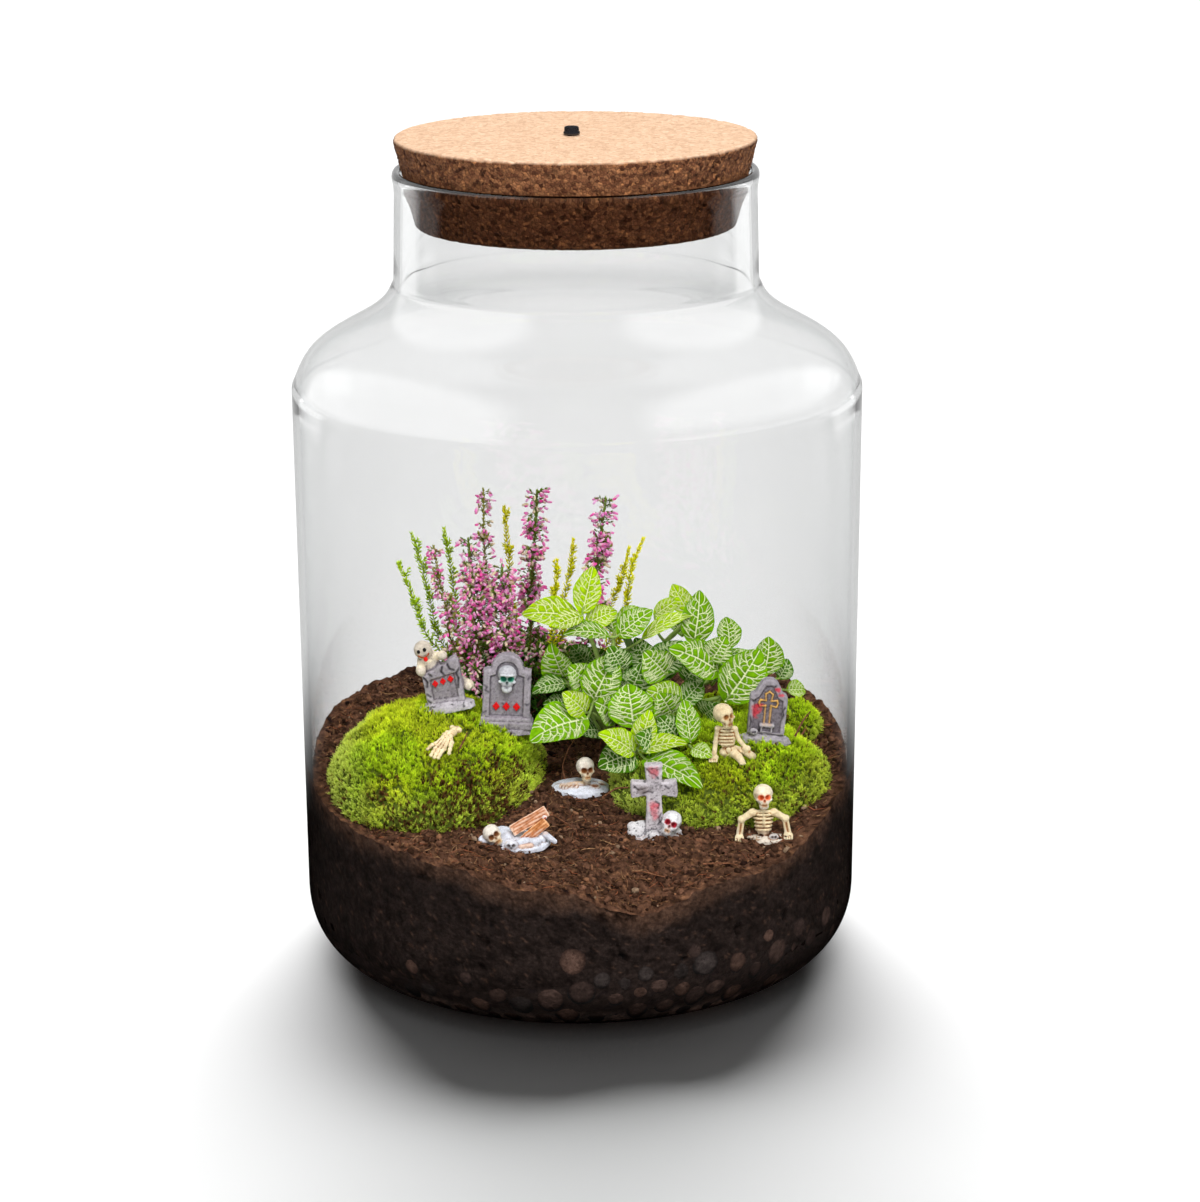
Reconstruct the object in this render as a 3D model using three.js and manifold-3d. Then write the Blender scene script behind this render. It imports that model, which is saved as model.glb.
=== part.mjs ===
// A bottle garden: glass jar with a cork lid, holding clay pebbles, potting soil, moss,
// a pink heather, a white-veined nerve plant and nine painted resin figures.
// Millimetres, +Z up, origin under the middle of the jar, front of the jar towards -Y.
import * as THREE from 'three';
import { mergeVertices } from 'three/addons/utils/BufferGeometryUtils.js';
import Module from 'manifold-3d';

const wasm = await Module();
wasm.setup();

// ---------------------------------------------------------------- driving dimensions
const SEG = 40;              // facets round the jar, the lid and the soil
const GAP = 0.35;            // clearance kept between touching pieces
const JAR_R = 125;           // outer radius of the jar's body
const JAR_SHOULDER_Z = 258.3;
const JAR_NECK_R = 79.5;
const JAR_NECK_Z = 305.5;
const JAR_RIM_R = 78.9;
const JAR_RIM_Z = 352.3;
const WALL = 3.2;            // glass thickness of the body
const FLOOR = 6;             // glass thickness of the base
const LID_TOP_R = 78.4;
const LID_TOP_Z = 366.4;
const LID_BOTTOM_R = 69.35;
const LID_BOTTOM_Z = 328.7;
const LAMP_X = -1.6, LAMP_Y = -1.0;
const LAMP_R = 22;           // housing set in the underside of the lid
const LAMP_DEPTH = 14;
const BUTTON_R = 3.6;
const BUTTON_H = 4.0;
const STEM_R = 2.0;

// ---------------------------------------------------------------- surfaces of the planting
// soil: falls towards the front, rises towards both side walls, with local dips at the glass
const SOIL_BUMPS = [
  [-54, -106, 30, 7.5], [-4, -116, 14, 4.5], [26, -121, 17, -7.5], [84, -90, 24, -6], [62, -108, 14, 2],
];
function soilZ(x, y) {
  let z = 78 + 0.14 * y + 12 * (x / 121) ** 2;
  for (const [bx, by, s, a] of SOIL_BUMPS) z += a * Math.exp(-((x - bx) ** 2 + (y - by) ** 2) / (2 * s * s));
  return z;
}
function clayZ(x, y) {
  return 17 + 13 * Math.exp(-((x - 45) ** 2 + (y + 95) ** 2) / 5000);
}
// a moss cushion: centre, height, and its outline as mean radius plus cos/sin pairs
const MOSS_LEFT = { cx: -64.8, cy: -11.5, h: 27.2, r: [51.1, 1.1, -4.8, -5.3, 5.3, 0.7, 1.7] };
const MOSS_RIGHT = { cx: 62.8, cy: -12.5, h: 23.7, r: [49.2, -3.9, -0.3, -3.1, -4.8, 1.2, -5.0] };
const MOSS_TUFT = { cx: 96, cy: 14, h: 15.5, r: [14, 0.8, 0, 1.2, 0.6, 0, 0] };
function outlineR(th, c) {
  let r = c[0];
  for (let k = 1; k <= (c.length - 1) / 2; k++) r += c[2 * k - 1] * Math.cos(k * th) + c[2 * k] * Math.sin(k * th);
  return r;
}
function mossZ(x, y, m) {
  const dx = x - m.cx, dy = y - m.cy;
  const q = Math.hypot(dx, dy) / outlineR(Math.atan2(dy, dx), m.r);
  return q >= 1 ? 0 : m.h * (1 - q ** 2.4) ** 0.6;
}

// ---------------------------------------------------------------- solids and booleans
function signedVolume(pos, idx) {
  let v = 0;
  for (let i = 0; i < idx.length; i += 3) {
    const [a, b, c] = [idx[i] * 3, idx[i + 1] * 3, idx[i + 2] * 3];
    v += pos[a] * (pos[b + 1] * pos[c + 2] - pos[b + 2] * pos[c + 1])
       - pos[a + 1] * (pos[b] * pos[c + 2] - pos[b + 2] * pos[c])
       + pos[a + 2] * (pos[b] * pos[c + 1] - pos[b + 1] * pos[c]);
  }
  return v / 6;
}

// merged, without collapsed triangles, faces pointing out
function solidOf(geometry) {
  const g = geometry.clone();
  for (const name of Object.keys(g.attributes)) if (name !== 'position') g.deleteAttribute(name);
  const m = mergeVertices(g, 1e-4);
  const src = m.index.array, tri = [];
  for (let i = 0; i < src.length; i += 3) {
    const [a, b, c] = [src[i], src[i + 1], src[i + 2]];
    if (a !== b && b !== c && c !== a) tri.push(a, b, c);
  }
  const pos = Float32Array.from(m.attributes.position.array);
  if (signedVolume(pos, tri) < 0) for (let i = 0; i < tri.length; i += 3) [tri[i + 1], tri[i + 2]] = [tri[i + 2], tri[i + 1]];
  return new wasm.Manifold(new wasm.Mesh({ numProp: 3, vertProperties: pos, triVerts: Uint32Array.from(tri) }));
}

// the largest connected body of a solid, as a geometry
function geometryOf(solid) {
  const mesh = solid.getMesh();
  const pos = mesh.vertProperties, tri = mesh.triVerts, n = pos.length / 3;
  const root = Int32Array.from({ length: n }, (_, i) => i);
  const find = (i) => { while (root[i] !== i) { root[i] = root[root[i]]; i = root[i]; } return i; };
  for (let i = 0; i < tri.length; i += 3) {
    const a = find(tri[i]);
    root[find(tri[i + 1])] = a;
    root[find(tri[i + 2])] = a;
  }
  const groups = new Map();
  for (let i = 0; i < tri.length; i += 3) {
    const k = find(tri[i]);
    if (!groups.has(k)) groups.set(k, []);
    groups.get(k).push(tri[i], tri[i + 1], tri[i + 2]);
  }
  let best = null, bestVolume = -Infinity;
  for (const idx of groups.values()) {
    const v = signedVolume(pos, idx);
    if (v > bestVolume) { best = idx; bestVolume = v; }
  }
  const map = new Map(), out = [];
  const index = best.map((v) => {
    if (!map.has(v)) { map.set(v, map.size); out.push(pos[3 * v], pos[3 * v + 1], pos[3 * v + 2]); }
    return map.get(v);
  });
  const g = new THREE.BufferGeometry();
  g.setAttribute('position', new THREE.Float32BufferAttribute(out, 3));
  g.setIndex(index);
  g.computeBoundingBox();
  return g;
}

const union = (list) => list.reduce((a, b) => a.add(b));

// ---------------------------------------------------------------- shape helpers
function lathe(profile, segments = SEG) {
  return new THREE.LatheGeometry(profile.map(([r, z]) => new THREE.Vector2(r, z)), segments).rotateX(Math.PI / 2);
}
function cylinder(r, z0, z1, x = 0, y = 0, segments = 24) {
  return new THREE.CylinderGeometry(r, r, z1 - z0, segments).rotateX(Math.PI / 2).translate(x, y, (z0 + z1) / 2);
}
// body between a top and a bottom surface over a closed outline
function polarBody(cx, cy, radius, top, bottom, nt, nr) {
  const pos = [], idx = [];
  for (const fn of [top, bottom]) {
    pos.push(cx, cy, fn(cx, cy, 0));
    for (let k = 1; k <= nr; k++) {
      const q = 1 - (1 - k / nr) ** 1.6;
      for (let i = 0; i < nt; i++) {
        const th = (2 * Math.PI * i) / nt, r = radius(th) * q;
        const x = cx + r * Math.cos(th), y = cy + r * Math.sin(th);
        pos.push(x, y, fn(x, y, q));
      }
    }
  }
  const base = 1 + nr * nt;
  const at = (side, k, i) => side * base + (k === 0 ? 0 : 1 + (k - 1) * nt + ((i + nt) % nt));
  for (let i = 0; i < nt; i++) {
    idx.push(at(0, 0, 0), at(0, 1, i), at(0, 1, i + 1), at(1, 0, 0), at(1, 1, i + 1), at(1, 1, i));
    for (let k = 1; k < nr; k++) {
      idx.push(at(0, k, i), at(0, k + 1, i), at(0, k + 1, i + 1), at(0, k, i), at(0, k + 1, i + 1), at(0, k, i + 1));
      idx.push(at(1, k, i), at(1, k + 1, i + 1), at(1, k + 1, i), at(1, k, i), at(1, k, i + 1), at(1, k + 1, i + 1));
    }
    idx.push(at(0, nr, i), at(1, nr, i), at(1, nr, i + 1), at(0, nr, i), at(1, nr, i + 1), at(0, nr, i + 1));
  }
  const g = new THREE.BufferGeometry();
  g.setAttribute('position', new THREE.Float32BufferAttribute(pos, 3));
  g.setIndex(idx);
  return g;
}
// tube through points, its radius constant
function tube(points, r, steps = 5, sides = 5) {
  const shape = new THREE.Shape(Array.from({ length: sides }, (_, i) => {
    const a = (2 * Math.PI * i) / sides;
    return new THREE.Vector2(r * Math.cos(a), r * Math.sin(a));
  }));
  const path = new THREE.CatmullRomCurve3(points.map((p) => new THREE.Vector3(...p)));
  return new THREE.ExtrudeGeometry(shape, { steps, bevelEnabled: false, extrudePath: path });
}
// spindle along a path with a radius for each ring, pointed at the far end
function spindle(points, radii, sides = 6) {
  const path = new THREE.CatmullRomCurve3(points.map((p) => new THREE.Vector3(...p)));
  const n = radii.length, pos = [], idx = [];
  for (let k = 0; k < n; k++) {
    const c = path.getPoint(k / n);
    for (let i = 0; i < sides; i++) {
      const a = (2 * Math.PI * i) / sides;
      pos.push(c.x + radii[k] * Math.cos(a), c.y + radii[k] * Math.sin(a), c.z);
    }
  }
  const start = path.getPoint(0), tip = path.getPoint(1);
  pos.push(start.x, start.y, start.z, tip.x, tip.y, tip.z);
  const s = n * sides, e = s + 1;
  for (let i = 0; i < sides; i++) {
    const j = (i + 1) % sides;
    idx.push(s, j, i, e, (n - 1) * sides + i, (n - 1) * sides + j);
    for (let k = 0; k < n - 1; k++) {
      const a = k * sides + i, b = k * sides + j, c = a + sides, d = b + sides;
      idx.push(a, b, d, a, d, c);
    }
  }
  const g = new THREE.BufferGeometry();
  g.setAttribute('position', new THREE.Float32BufferAttribute(pos, 3));
  g.setIndex(idx);
  return g;
}

// ---------------------------------------------------------------- glass jar
const JAR_OUTER = [
  [0, 0], [99, 0], [107.9, 0.9], [114.8, 4], [119.8, 9.1], [123.4, 17], [JAR_R, 28.2],
  [JAR_R, JAR_SHOULDER_Z], [121.5, 267.2], [114.2, 277.5], [105.7, 281.9], [96.3, 286.3], [86.3, 293],
  [81, 299.6], [JAR_NECK_R, JAR_NECK_Z], [78.4, 343.5], [JAR_RIM_R, 348.2], [77, JAR_RIM_Z],
];
const JAR_INNER = [
  [75.3, 351.2], [74.65, 348.9], [76.1, 304], [78, 298.2], [83.6, 290.8], [94.8, 283.4],
  [104, 279], [112, 274.6], [118.6, 265.4], [JAR_R - WALL, 256], [JAR_R - WALL, 31],
  [120.2, 22], [115.5, 13.2], [107, 7.4], [98, FLOOR], [0, FLOOR],
];
// the room inside the jar's lower part, kept clear of the glass
const ROOM = [
  [0, FLOOR + GAP], [98, FLOOR + GAP], [106.7, 7.9], [115, 13.5], [119.8, 22.1],
  [JAR_R - WALL - GAP, 31], [JAR_R - WALL - GAP, 130], [0, 130],
];

// ---------------------------------------------------------------- resin figures
// every primitive is a function of the clearance g that it is grown by
const P = (x, y, z) => new THREE.Vector3(x, y, z);
const block = (w, d, h, x, y, z, rx = 0, ry = 0, rz = 0) => (g) =>
  new THREE.BoxGeometry(w + 2 * g, d + 2 * g, h + 2 * g).rotateX(rx).rotateY(ry).rotateZ(rz).translate(x, y, z);
const ball = (rx, ry, rz, x, y, z, w = 8, h = 6) => (g) =>
  new THREE.SphereGeometry(1, w, h).rotateX(Math.PI / 2).scale(rx + g, ry + g, rz + g).translate(x, y, z);
const limb = (a, b, r) => (g) => {
  const p = P(...a), q = P(...b), d = q.clone().sub(p);
  return new THREE.CapsuleGeometry(r + g, d.length(), 2, 5)
    .applyQuaternion(new THREE.Quaternion().setFromUnitVectors(P(0, 1, 0), d.clone().normalize()))
    .translate(...p.add(q).multiplyScalar(0.5).toArray());
};
const slab = (outline, depth, y) => (g) => {
  const xs = outline.map((p) => p[0]), zs = outline.map((p) => p[1]);
  const cx = (Math.min(...xs) + Math.max(...xs)) / 2, cz = (Math.min(...zs) + Math.max(...zs)) / 2;
  const sx = 1 + (2 * g) / (Math.max(...xs) - Math.min(...xs)), sz = 1 + (2 * g) / (Math.max(...zs) - Math.min(...zs));
  const shape = new THREE.Shape(outline.map(([x, z]) => new THREE.Vector2(cx + (x - cx) * sx, cz + (z - cz) * sz)));
  return new THREE.ExtrudeGeometry(shape, { depth: depth + 2 * g, bevelEnabled: false })
    .rotateX(Math.PI / 2).translate(0, y + depth / 2 + g, 0);
};
const rock = (rx, ry, h, x = 0, y = 0) => (g) =>
  new THREE.CylinderGeometry(1, 1.12, 1, 11).rotateX(Math.PI / 2).scale(rx + g, ry + g, h + 2 * g).translate(x, y, h / 2);

const deg = Math.PI / 180;
function figure(x, y, z, { lean = 0, turn = 0, tip = 0 }, parts, cuts = []) {
  const m = new THREE.Matrix4().makeTranslation(x, y, z)
    .multiply(new THREE.Matrix4().makeRotationZ(turn * deg))
    .multiply(new THREE.Matrix4().makeRotationX(tip * deg))
    .multiply(new THREE.Matrix4().makeRotationY(lean * deg));
  return (g) => {
    let s = union(parts.map((p) => solidOf(p(g).applyMatrix4(m))));
    if (g === 0) for (const c of cuts) s = s.subtract(solidOf(c(0).applyMatrix4(m)));
    return s;
  };
}

const FIGURES = {
  ghost_tombstone: figure(-62.5, -1.5, 106.9, { lean: -9 }, [
    block(25, 11, 4.6, 0, 0, 2.3),
    slab([[-7.4, 3], [9.6, 3], [10, 19], [8, 21], [3, 19.6], [-2, 19.2], [-7.6, 17.4]], 6.4, 0.3),
    ball(4, 3.8, 4, -4.8, 0.4, 25.6), ball(4.4, 3.2, 5.4, -3.4, 3.2, 19.6), ball(2, 2.2, 2, -8.8, -1.4, 17.6),
    ball(1.9, 2.2, 1.9, 2.4, -0.6, 21.4), limb([-2, 4, 17], [11.4, 3, 7.4], 2.1), ball(2.3, 2.4, 2.3, 12.2, 1.8, 7.2),
  ]),
  skull_tombstone: figure(-34.6, -5.6, 99.1, { lean: 2.5 }, [
    block(26.4, 10.6, 5.2, 0, 0, 2.6),
    slab([[-10.8, 5], [10.8, 5], [10.8, 29], [7.4, 29.8], [6.7, 33], [4, 35.9], [0, 36.8], [-4, 35.9], [-6.7, 33],
      [-7.4, 29.8], [-10.8, 29]], 6, 0.6),
    ball(4.3, 1.9, 4.6, 0, -2.1, 26.4), block(4.6, 2.4, 4, 0, -2, 21.6),
  ], [slab([[-7.6, 7.6], [7.6, 7.6], [7.6, 26.6], [4.6, 28], [4.4, 31], [0, 33.6], [-4.4, 31], [-4.6, 28], [-7.6, 26.6]], 0.6, -2.4)]),
  bone_hand: figure(-61, -36.4, 102.4, {}, [
    limb([6.3, 12.6, 1.7], [4.2, 8.2, 1.3], 2.3), ball(4.6, 4.8, 1.9, 1.2, 2.4, 0.7),
    limb([-1.6, 2.4, 0.7], [-6.6, -4.4, -0.6], 1.2), limb([-0.8, 0.6, 0.5], [-4.6, -8.2, -1.9], 1.2),
    limb([0.8, -0.2, 0.3], [-2.8, -9.7, -2.5], 1.2), limb([2.6, 0.2, 0.2], [-0.8, -9.6, -2.7], 1.2),
    limb([3.6, 2.6, 0.5], [4.2, -5.2, -1.8], 1.2),
  ]),
  ground_skull: figure(0.2, -20.6, 74.4, {}, [
    rock(12.6, 8.6, 2.8), ball(3.9, 4.4, 4.3, 2.2, -1.6, 11.8), block(4.4, 4.4, 5, 2.4, -2.6, 6.4),
    limb([-7, -2.4, 3], [0.6, -1.2, 4.4], 1.3), limb([6, -2.6, 3], [9.4, -3.4, 2.9], 1.4),
  ]),
  open_grave: figure(-27.6, -74.6, 70.3, { tip: 9 }, [
    block(31, 20, 3.4, 0.4, 0, 1.7), ball(4.2, 4.3, 4.2, -10.2, -2.6, 6.2), block(5, 3.4, 3, -9.6, -6, 3.6),
    block(19.5, 9, 4.6, 3.8, 3.4, 8.6, 0, -24 * deg, 12 * deg), block(9, 6, 7, 8.6, 3.6, 4.6),
  ]),
  cross_tombstone: figure(31, -61.6, 67.6, { lean: -1.5 }, [
    rock(12.4, 7.6, 5), ball(6.6, 5.6, 4.4, -6.4, -0.4, 4.6), block(8.4, 5, 30, -0.6, 0.4, 21.6),
    block(7.4, 5, 5, -0.4, 0.4, 36), block(21.4, 4.8, 8, -0.4, 0.4, 26.2), ball(4.5, 4.4, 4.7, 7.4, -4, 9.8),
    block(4.6, 4, 4.4, 6.2, -5.2, 5.4),
  ]),
  sitting_skeleton: figure(66, -37, 94, {}, [
    ball(4.4, 4.4, 4.7, -2.8, 0, 21.4), block(4.6, 4.4, 4, -1, 0, 17.4), limb([-1.8, 0.4, 15.4], [-0.4, 0.6, 5], 3.1),
    ball(5.4, 5, 4, 0.4, 0, 3.6), limb([-3.6, 0.2, 14], [-6.4, -1.4, 3], 1.4), ball(2.2, 2.2, 1.7, -7, -2, 2),
    limb([1.6, 0.4, 12.6], [6.6, -0.4, 6.4], 1.3), limb([1, -2.6, 4.6], [5.6, -5.4, 1.8], 2.2),
    limb([3, 0.8, 4.6], [9, -0.6, 3.2], 2.2),
  ]),
  gilt_cross_tombstone: figure(82.2, -25.4, 99.2, { lean: 5 }, [
    block(21, 9.6, 4.2, 0, 0, 2.1),
    slab([[-8, 4], [8.4, 4], [8.6, 21.4], [5.2, 23.4], [3.6, 27.2], [0, 29.6], [-3.4, 27.6], [-4.8, 23.8], [-8.2, 21.4]], 5.2, 0.6),
    block(2, 1.2, 14, 0.2, -2.3, 16.4), block(7, 1.2, 2, 0.2, -2.3, 19.6), block(6.4, 2, 4.4, 0, -2.6, 6),
    ball(1.8, 1.6, 1.7, -5.8, -3, 5),
  ]),
  rising_skeleton: figure(81, -66, 68.6, {}, [
    rock(10.6, 5.6, 2.6, 2.4, -0.6), ball(4, 4.2, 4.6, -2, -1, 20.6), block(4.4, 3.8, 3.6, -2, -2, 15.4),
    limb([-2, -0.6, 13.6], [-1.4, -0.6, 3], 3.7), limb([-3.6, -0.6, 12.2], [-11, -1.4, 9.6], 1.6),
    limb([-11, -1.4, 9.6], [-12.2, -2, 1.6], 1.4), limb([-0.4, -0.6, 12.2], [7.2, -1.2, 9.8], 1.6),
    limb([7.2, -1.2, 9.8], [8, -2, 2.6], 1.4),
  ]),
};
const FIGURE_COLOURS = {
  ghost_tombstone: 0x9a979e, skull_tombstone: 0xa5a1a8, bone_hand: 0xe2cf9f, ground_skull: 0xdccda6,
  open_grave: 0xd6d6de, cross_tombstone: 0xaaa2a4, sitting_skeleton: 0xdcc691, gilt_cross_tombstone: 0x8d8991,
  rising_skeleton: 0xe0cc98,
};

// ---------------------------------------------------------------- plants
// nerve plant: stems from one root to the leaf clusters
const ROOT = [15, 12, 76];
const STEM_ENDS = {
  a: [1.6, 8.5, 146], b: [15.6, 5.5, 138.6], c: [50, 22, 141], d: [52.6, 15, 130.4], e: [76, 20, 118],
  f: [65.2, 2, 111], g: [-4.6, 12, 113], h: [4.6, -7, 107], i: [25.4, -25, 97.4], j: [47.4, -14, 102.6],
};
// leaves: base, tip, width, facing direction, stem
const LEAVES = [
  [1.4, 8.0, 149.0, 6.3, 14.0, 168.5, 10.9, 0.01, -0.96, 0.29, 'a'],
  [0.2, 8.0, 147.0, -24.1, 6.0, 150.1, 13.3, 0.15, -0.71, 0.69, 'a'],
  [2.9, 8.0, 144.1, 16.6, 12.0, 149.0, 9.3, 0.03, -0.82, 0.57, 'a'],
  [17.5, 4.0, 139.8, 32.4, 6.0, 150.7, 10.8, -0.19, -0.89, 0.42, 'b'],
  [13.8, 4.0, 139.8, -5.7, -2.0, 143.1, 9.7, 0.28, -0.43, 0.86, 'b'],
  [51.1, 24.0, 143.3, 43.5, 30.0, 155.4, 8.8, -0.15, -0.92, 0.37, 'c'],
  [52.4, 14.0, 131.6, 55.3, 20.0, 154.7, 13.3, 0.10, -0.97, 0.24, 'd'],
  [28.5, 8.0, 136.7, 50.8, 14.0, 146.4, 7.2, -0.20, -0.55, 0.81, 'b'],
  [69.4, 22.0, 127.3, 68.2, 30.0, 139.6, 10.1, 0.17, -0.82, 0.55, 'e'],
  [85.1, 18.0, 115.9, 87.8, 24.0, 131.5, 13.6, 0.32, -0.90, 0.29, 'e'],
  [66.1, -2.0, 109.9, 81.6, 4.0, 131.4, 18.8, 0.04, -0.97, 0.24, 'f'],
  [64.2, 4.0, 122.0, 42.3, -4.0, 135.9, 15.0, 0.54, -0.73, 0.42, 'f'],
  [-6.3, 12.0, 115.5, -12.6, 8.0, 133.7, 13.4, -0.15, -0.95, -0.26, 'g'],
  [5.7, -4.0, 109.8, 15.6, 2.0, 130.8, 15.7, -0.15, -0.93, 0.34, 'h'],
  [3.0, -10.0, 108.0, -6.7, -14.0, 118.5, 10.2, 0.45, -0.89, 0.08, 'h'],
  [3.8, -12.0, 106.0, -20.8, -24.0, 100.9, 19.3, 0.09, -0.53, 0.84, 'h'],
  [24.2, -16.0, 102.6, 21.9, -10.0, 120.5, 17.9, -0.03, -0.95, 0.31, 'i'],
  [25.9, -26.0, 96.1, 31.1, -24.0, 112.9, 9.9, 0.03, -0.99, 0.11, 'i'],
  [24.6, -28.0, 95.2, 9.5, -34.0, 106.2, 10.9, 0.58, -0.69, 0.43, 'i'],
  [26.2, -24.0, 93.4, 9.2, -32.0, 90.6, 15.1, 0.20, -0.68, 0.71, 'i'],
  [26.1, -28.0, 95.9, 46.4, -32.0, 101.1, 9.1, -0.31, -0.51, 0.81, 'i'],
  [28.5, -30.0, 93.2, 51.7, -53.0, 89.2, 13.6, -0.24, -0.40, 0.88, 'i'],
  [46.0, -6.0, 110.7, 31.4, -10.0, 118.4, 12.6, 0.40, -0.86, 0.31, 'j'],
  [49.3, -29.0, 100.0, 46.6, -24.0, 117.7, 9.6, 0.10, -0.95, 0.28, 'j'],
];
const LEAF_T = 0.9;
function leafBlade(row, g) {
  const [bx, by, bz, tx, ty, tz, width, nx, ny, nz] = row;
  const B = P(bx, by, bz), T = P(tx, ty, tz), D = T.clone().sub(B), L = D.length(), d = D.clone().normalize();
  const N = P(nx, ny, nz), n = N.sub(d.clone().multiplyScalar(N.dot(d))).normalize(), w = d.clone().cross(n);
  const NU = 5, NV = 4, pos = [], idx = [];
  const half = width / 2 + g, t = LEAF_T / 2 + g;
  const add = (u, v, side) => {
    const prof = Math.sin(Math.PI * Math.min(1, Math.max(0, u)) ** 0.86) ** 0.72;
    const bow = 0.10 * L * Math.sin(Math.PI * u), cup = 0.10 * width * v * v * prof;
    const c = B.clone().addScaledVector(d, -g + u * (L + 2 * g)).addScaledVector(n, bow + cup + side * t * (1 - v * v))
      .addScaledVector(w, v * half * prof);
    pos.push(c.x, c.y, c.z);
  };
  add(0, 0, 0); add(1, 0, 0);
  for (const side of [1, -1]) for (let k = 1; k < NU; k++) for (let j = 0; j <= NV; j++) add(k / NU, -1 + (2 * j) / NV, side);
  const at = (side, k, j) => 2 + side * (NU - 1) * (NV + 1) + (k - 1) * (NV + 1) + j;
  for (const side of [0, 1]) {
    const put = (a, b, c) => (side ? idx.push(a, c, b) : idx.push(a, b, c));
    for (let j = 0; j < NV; j++) {
      put(0, at(side, 1, j), at(side, 1, j + 1));
      put(1, at(side, NU - 1, j + 1), at(side, NU - 1, j));
      for (let k = 1; k < NU - 1; k++) {
        put(at(side, k, j), at(side, k + 1, j), at(side, k + 1, j + 1));
        put(at(side, k, j), at(side, k + 1, j + 1), at(side, k, j + 1));
      }
    }
  }
  const geo = new THREE.BufferGeometry();
  geo.setAttribute('position', new THREE.Float32BufferAttribute(pos, 3));
  geo.setIndex(idx);
  return { blade: solidOf(geo), inner: B.clone().addScaledVector(D, 0.16).addScaledVector(n, 0.05 * L) };
}
function leaf(row, g) {
  const { blade, inner } = leafBlade(row, g);
  const E = P(...STEM_ENDS[row[10]]), dist = E.distanceTo(inner);
  return dist > 0.5 ? blade.add(solidOf(tube([E.toArray(), inner.toArray()], 0.6 + g, 1, 4))) : blade;
}
function nerveStems(g) {
  const list = [solidOf(spindle([ROOT, [15.4, 10, 88]], [3 + g, 2.8 + g, 2.2 + g], 7))];
  for (const e of Object.values(STEM_ENDS)) {
    const mid = [ROOT[0] + (e[0] - ROOT[0]) * 0.42, ROOT[1] + (e[1] - ROOT[1]) * 0.45, 80 + (e[2] - 80) * 0.66];
    list.push(solidOf(tube([[15.2, 11.4, 80], mid, e], 1.1 + g, 4, 4)));
  }
  return union(list);
}

// heather: woody base with its leafy lower growth, and the upright shoots
const BUSH = { c: [-30, 48, 104], r: [42, 24, 24] };
function bush(g) {
  const [x, y, z] = BUSH.c, [rx, ry, rz] = BUSH.r;
  const crown = new THREE.SphereGeometry(1, 16, 9).rotateX(Math.PI / 2).scale(rx + g, ry + g, rz + g).translate(x, y, z);
  return solidOf(crown);
}
// shoots: foot, tip, radius
const SPIKES = [
  [-68.6, 42.0, 124.9, -84.2, 46.0, 163.2, 3.2], [-64.7, 48.0, 123.0, -78.2, 52.0, 176.4, 3.4],
  [-58.9, 34.0, 127.4, -66.9, 38.0, 173.1, 4.6], [-55.7, 46.0, 124.5, -62.7, 50.0, 179.3, 4.0],
  [-46.8, 32.0, 125.0, -50.7, 36.0, 176.9, 8.5], [-40.7, 44.0, 125.0, -43.8, 48.0, 198.3, 5.0],
  [-30.5, 52.0, 127.3, -34.5, 56.0, 186.6, 3.2], [-22.8, 40.0, 126.2, -18.8, 44.0, 197.8, 7.2],
  [-33.8, 26.0, 123.5, -35.1, 30.0, 165.1, 8.5], [-8.9, 46.0, 124.2, -2.5, 50.0, 172.1, 3.2],
  [-12.6, 32.0, 124.8, -9.9, 36.0, 166.1, 3.2], [4.2, 36.0, 127.3, 12.8, 40.0, 194.8, 7.6],
  [12.6, 46.0, 121.5, 23.5, 50.0, 168.0, 3.4], [16.2, 38.0, 122.6, 29.9, 42.0, 175.1, 3.6],
];
function spike([fx, fy, fz, tx, ty, tz, r], g) {
  const core = [BUSH.c[0] + (fx - BUSH.c[0]) * 0.45, BUSH.c[1] + (fy - BUSH.c[1]) * 0.45, 104];
  const k = [0.45, 0.45, 0.9, 1, 0.86, 0.5].map((f) => Math.max(1, r * f) + g);
  return solidOf(spindle([core, [fx, fy, fz], [(fx + tx) / 2, (fy + ty) / 2, (fz + tz) / 2], [tx, ty, tz + g]], k));
}

// ---------------------------------------------------------------- assembly
const group = new THREE.Group();
function put(name, geometry, color, roughness = 0.8, metalness = 0, opacity = 1) {
  geometry.computeBoundingBox();
  const mesh = new THREE.Mesh(geometry, new THREE.MeshStandardMaterial({
    color, roughness, metalness, opacity, transparent: opacity < 1, flatShading: true,
  }));
  mesh.name = name;
  group.add(mesh);
  return mesh;
}
// pieces already placed, each with the grown solid that later pieces keep clear of
const placed = [];
function meets(a, b) {
  return a.min.x < b.max.x && a.max.x > b.min.x && a.min.y < b.max.y && a.max.y > b.min.y && a.min.z < b.max.z && a.max.z > b.min.z;
}
function place(name, make, color, roughness, from = []) {
  let solid = make(0);
  const box = geometryOf(solid).boundingBox;
  for (const other of from) if (meets(box, other.box)) solid = solid.subtract(other.grown);
  const grown = make(GAP);
  const entry = { name, grown, box: geometryOf(grown).boundingBox };
  placed.push(entry);
  put(name, geometryOf(solid), color, roughness);
  return entry;
}

// jar
put('glass_jar', geometryOf(solidOf(lathe([...JAR_OUTER, ...JAR_INNER]))), 0xe8f0ec, 0.05, 0, 0.35);

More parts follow.
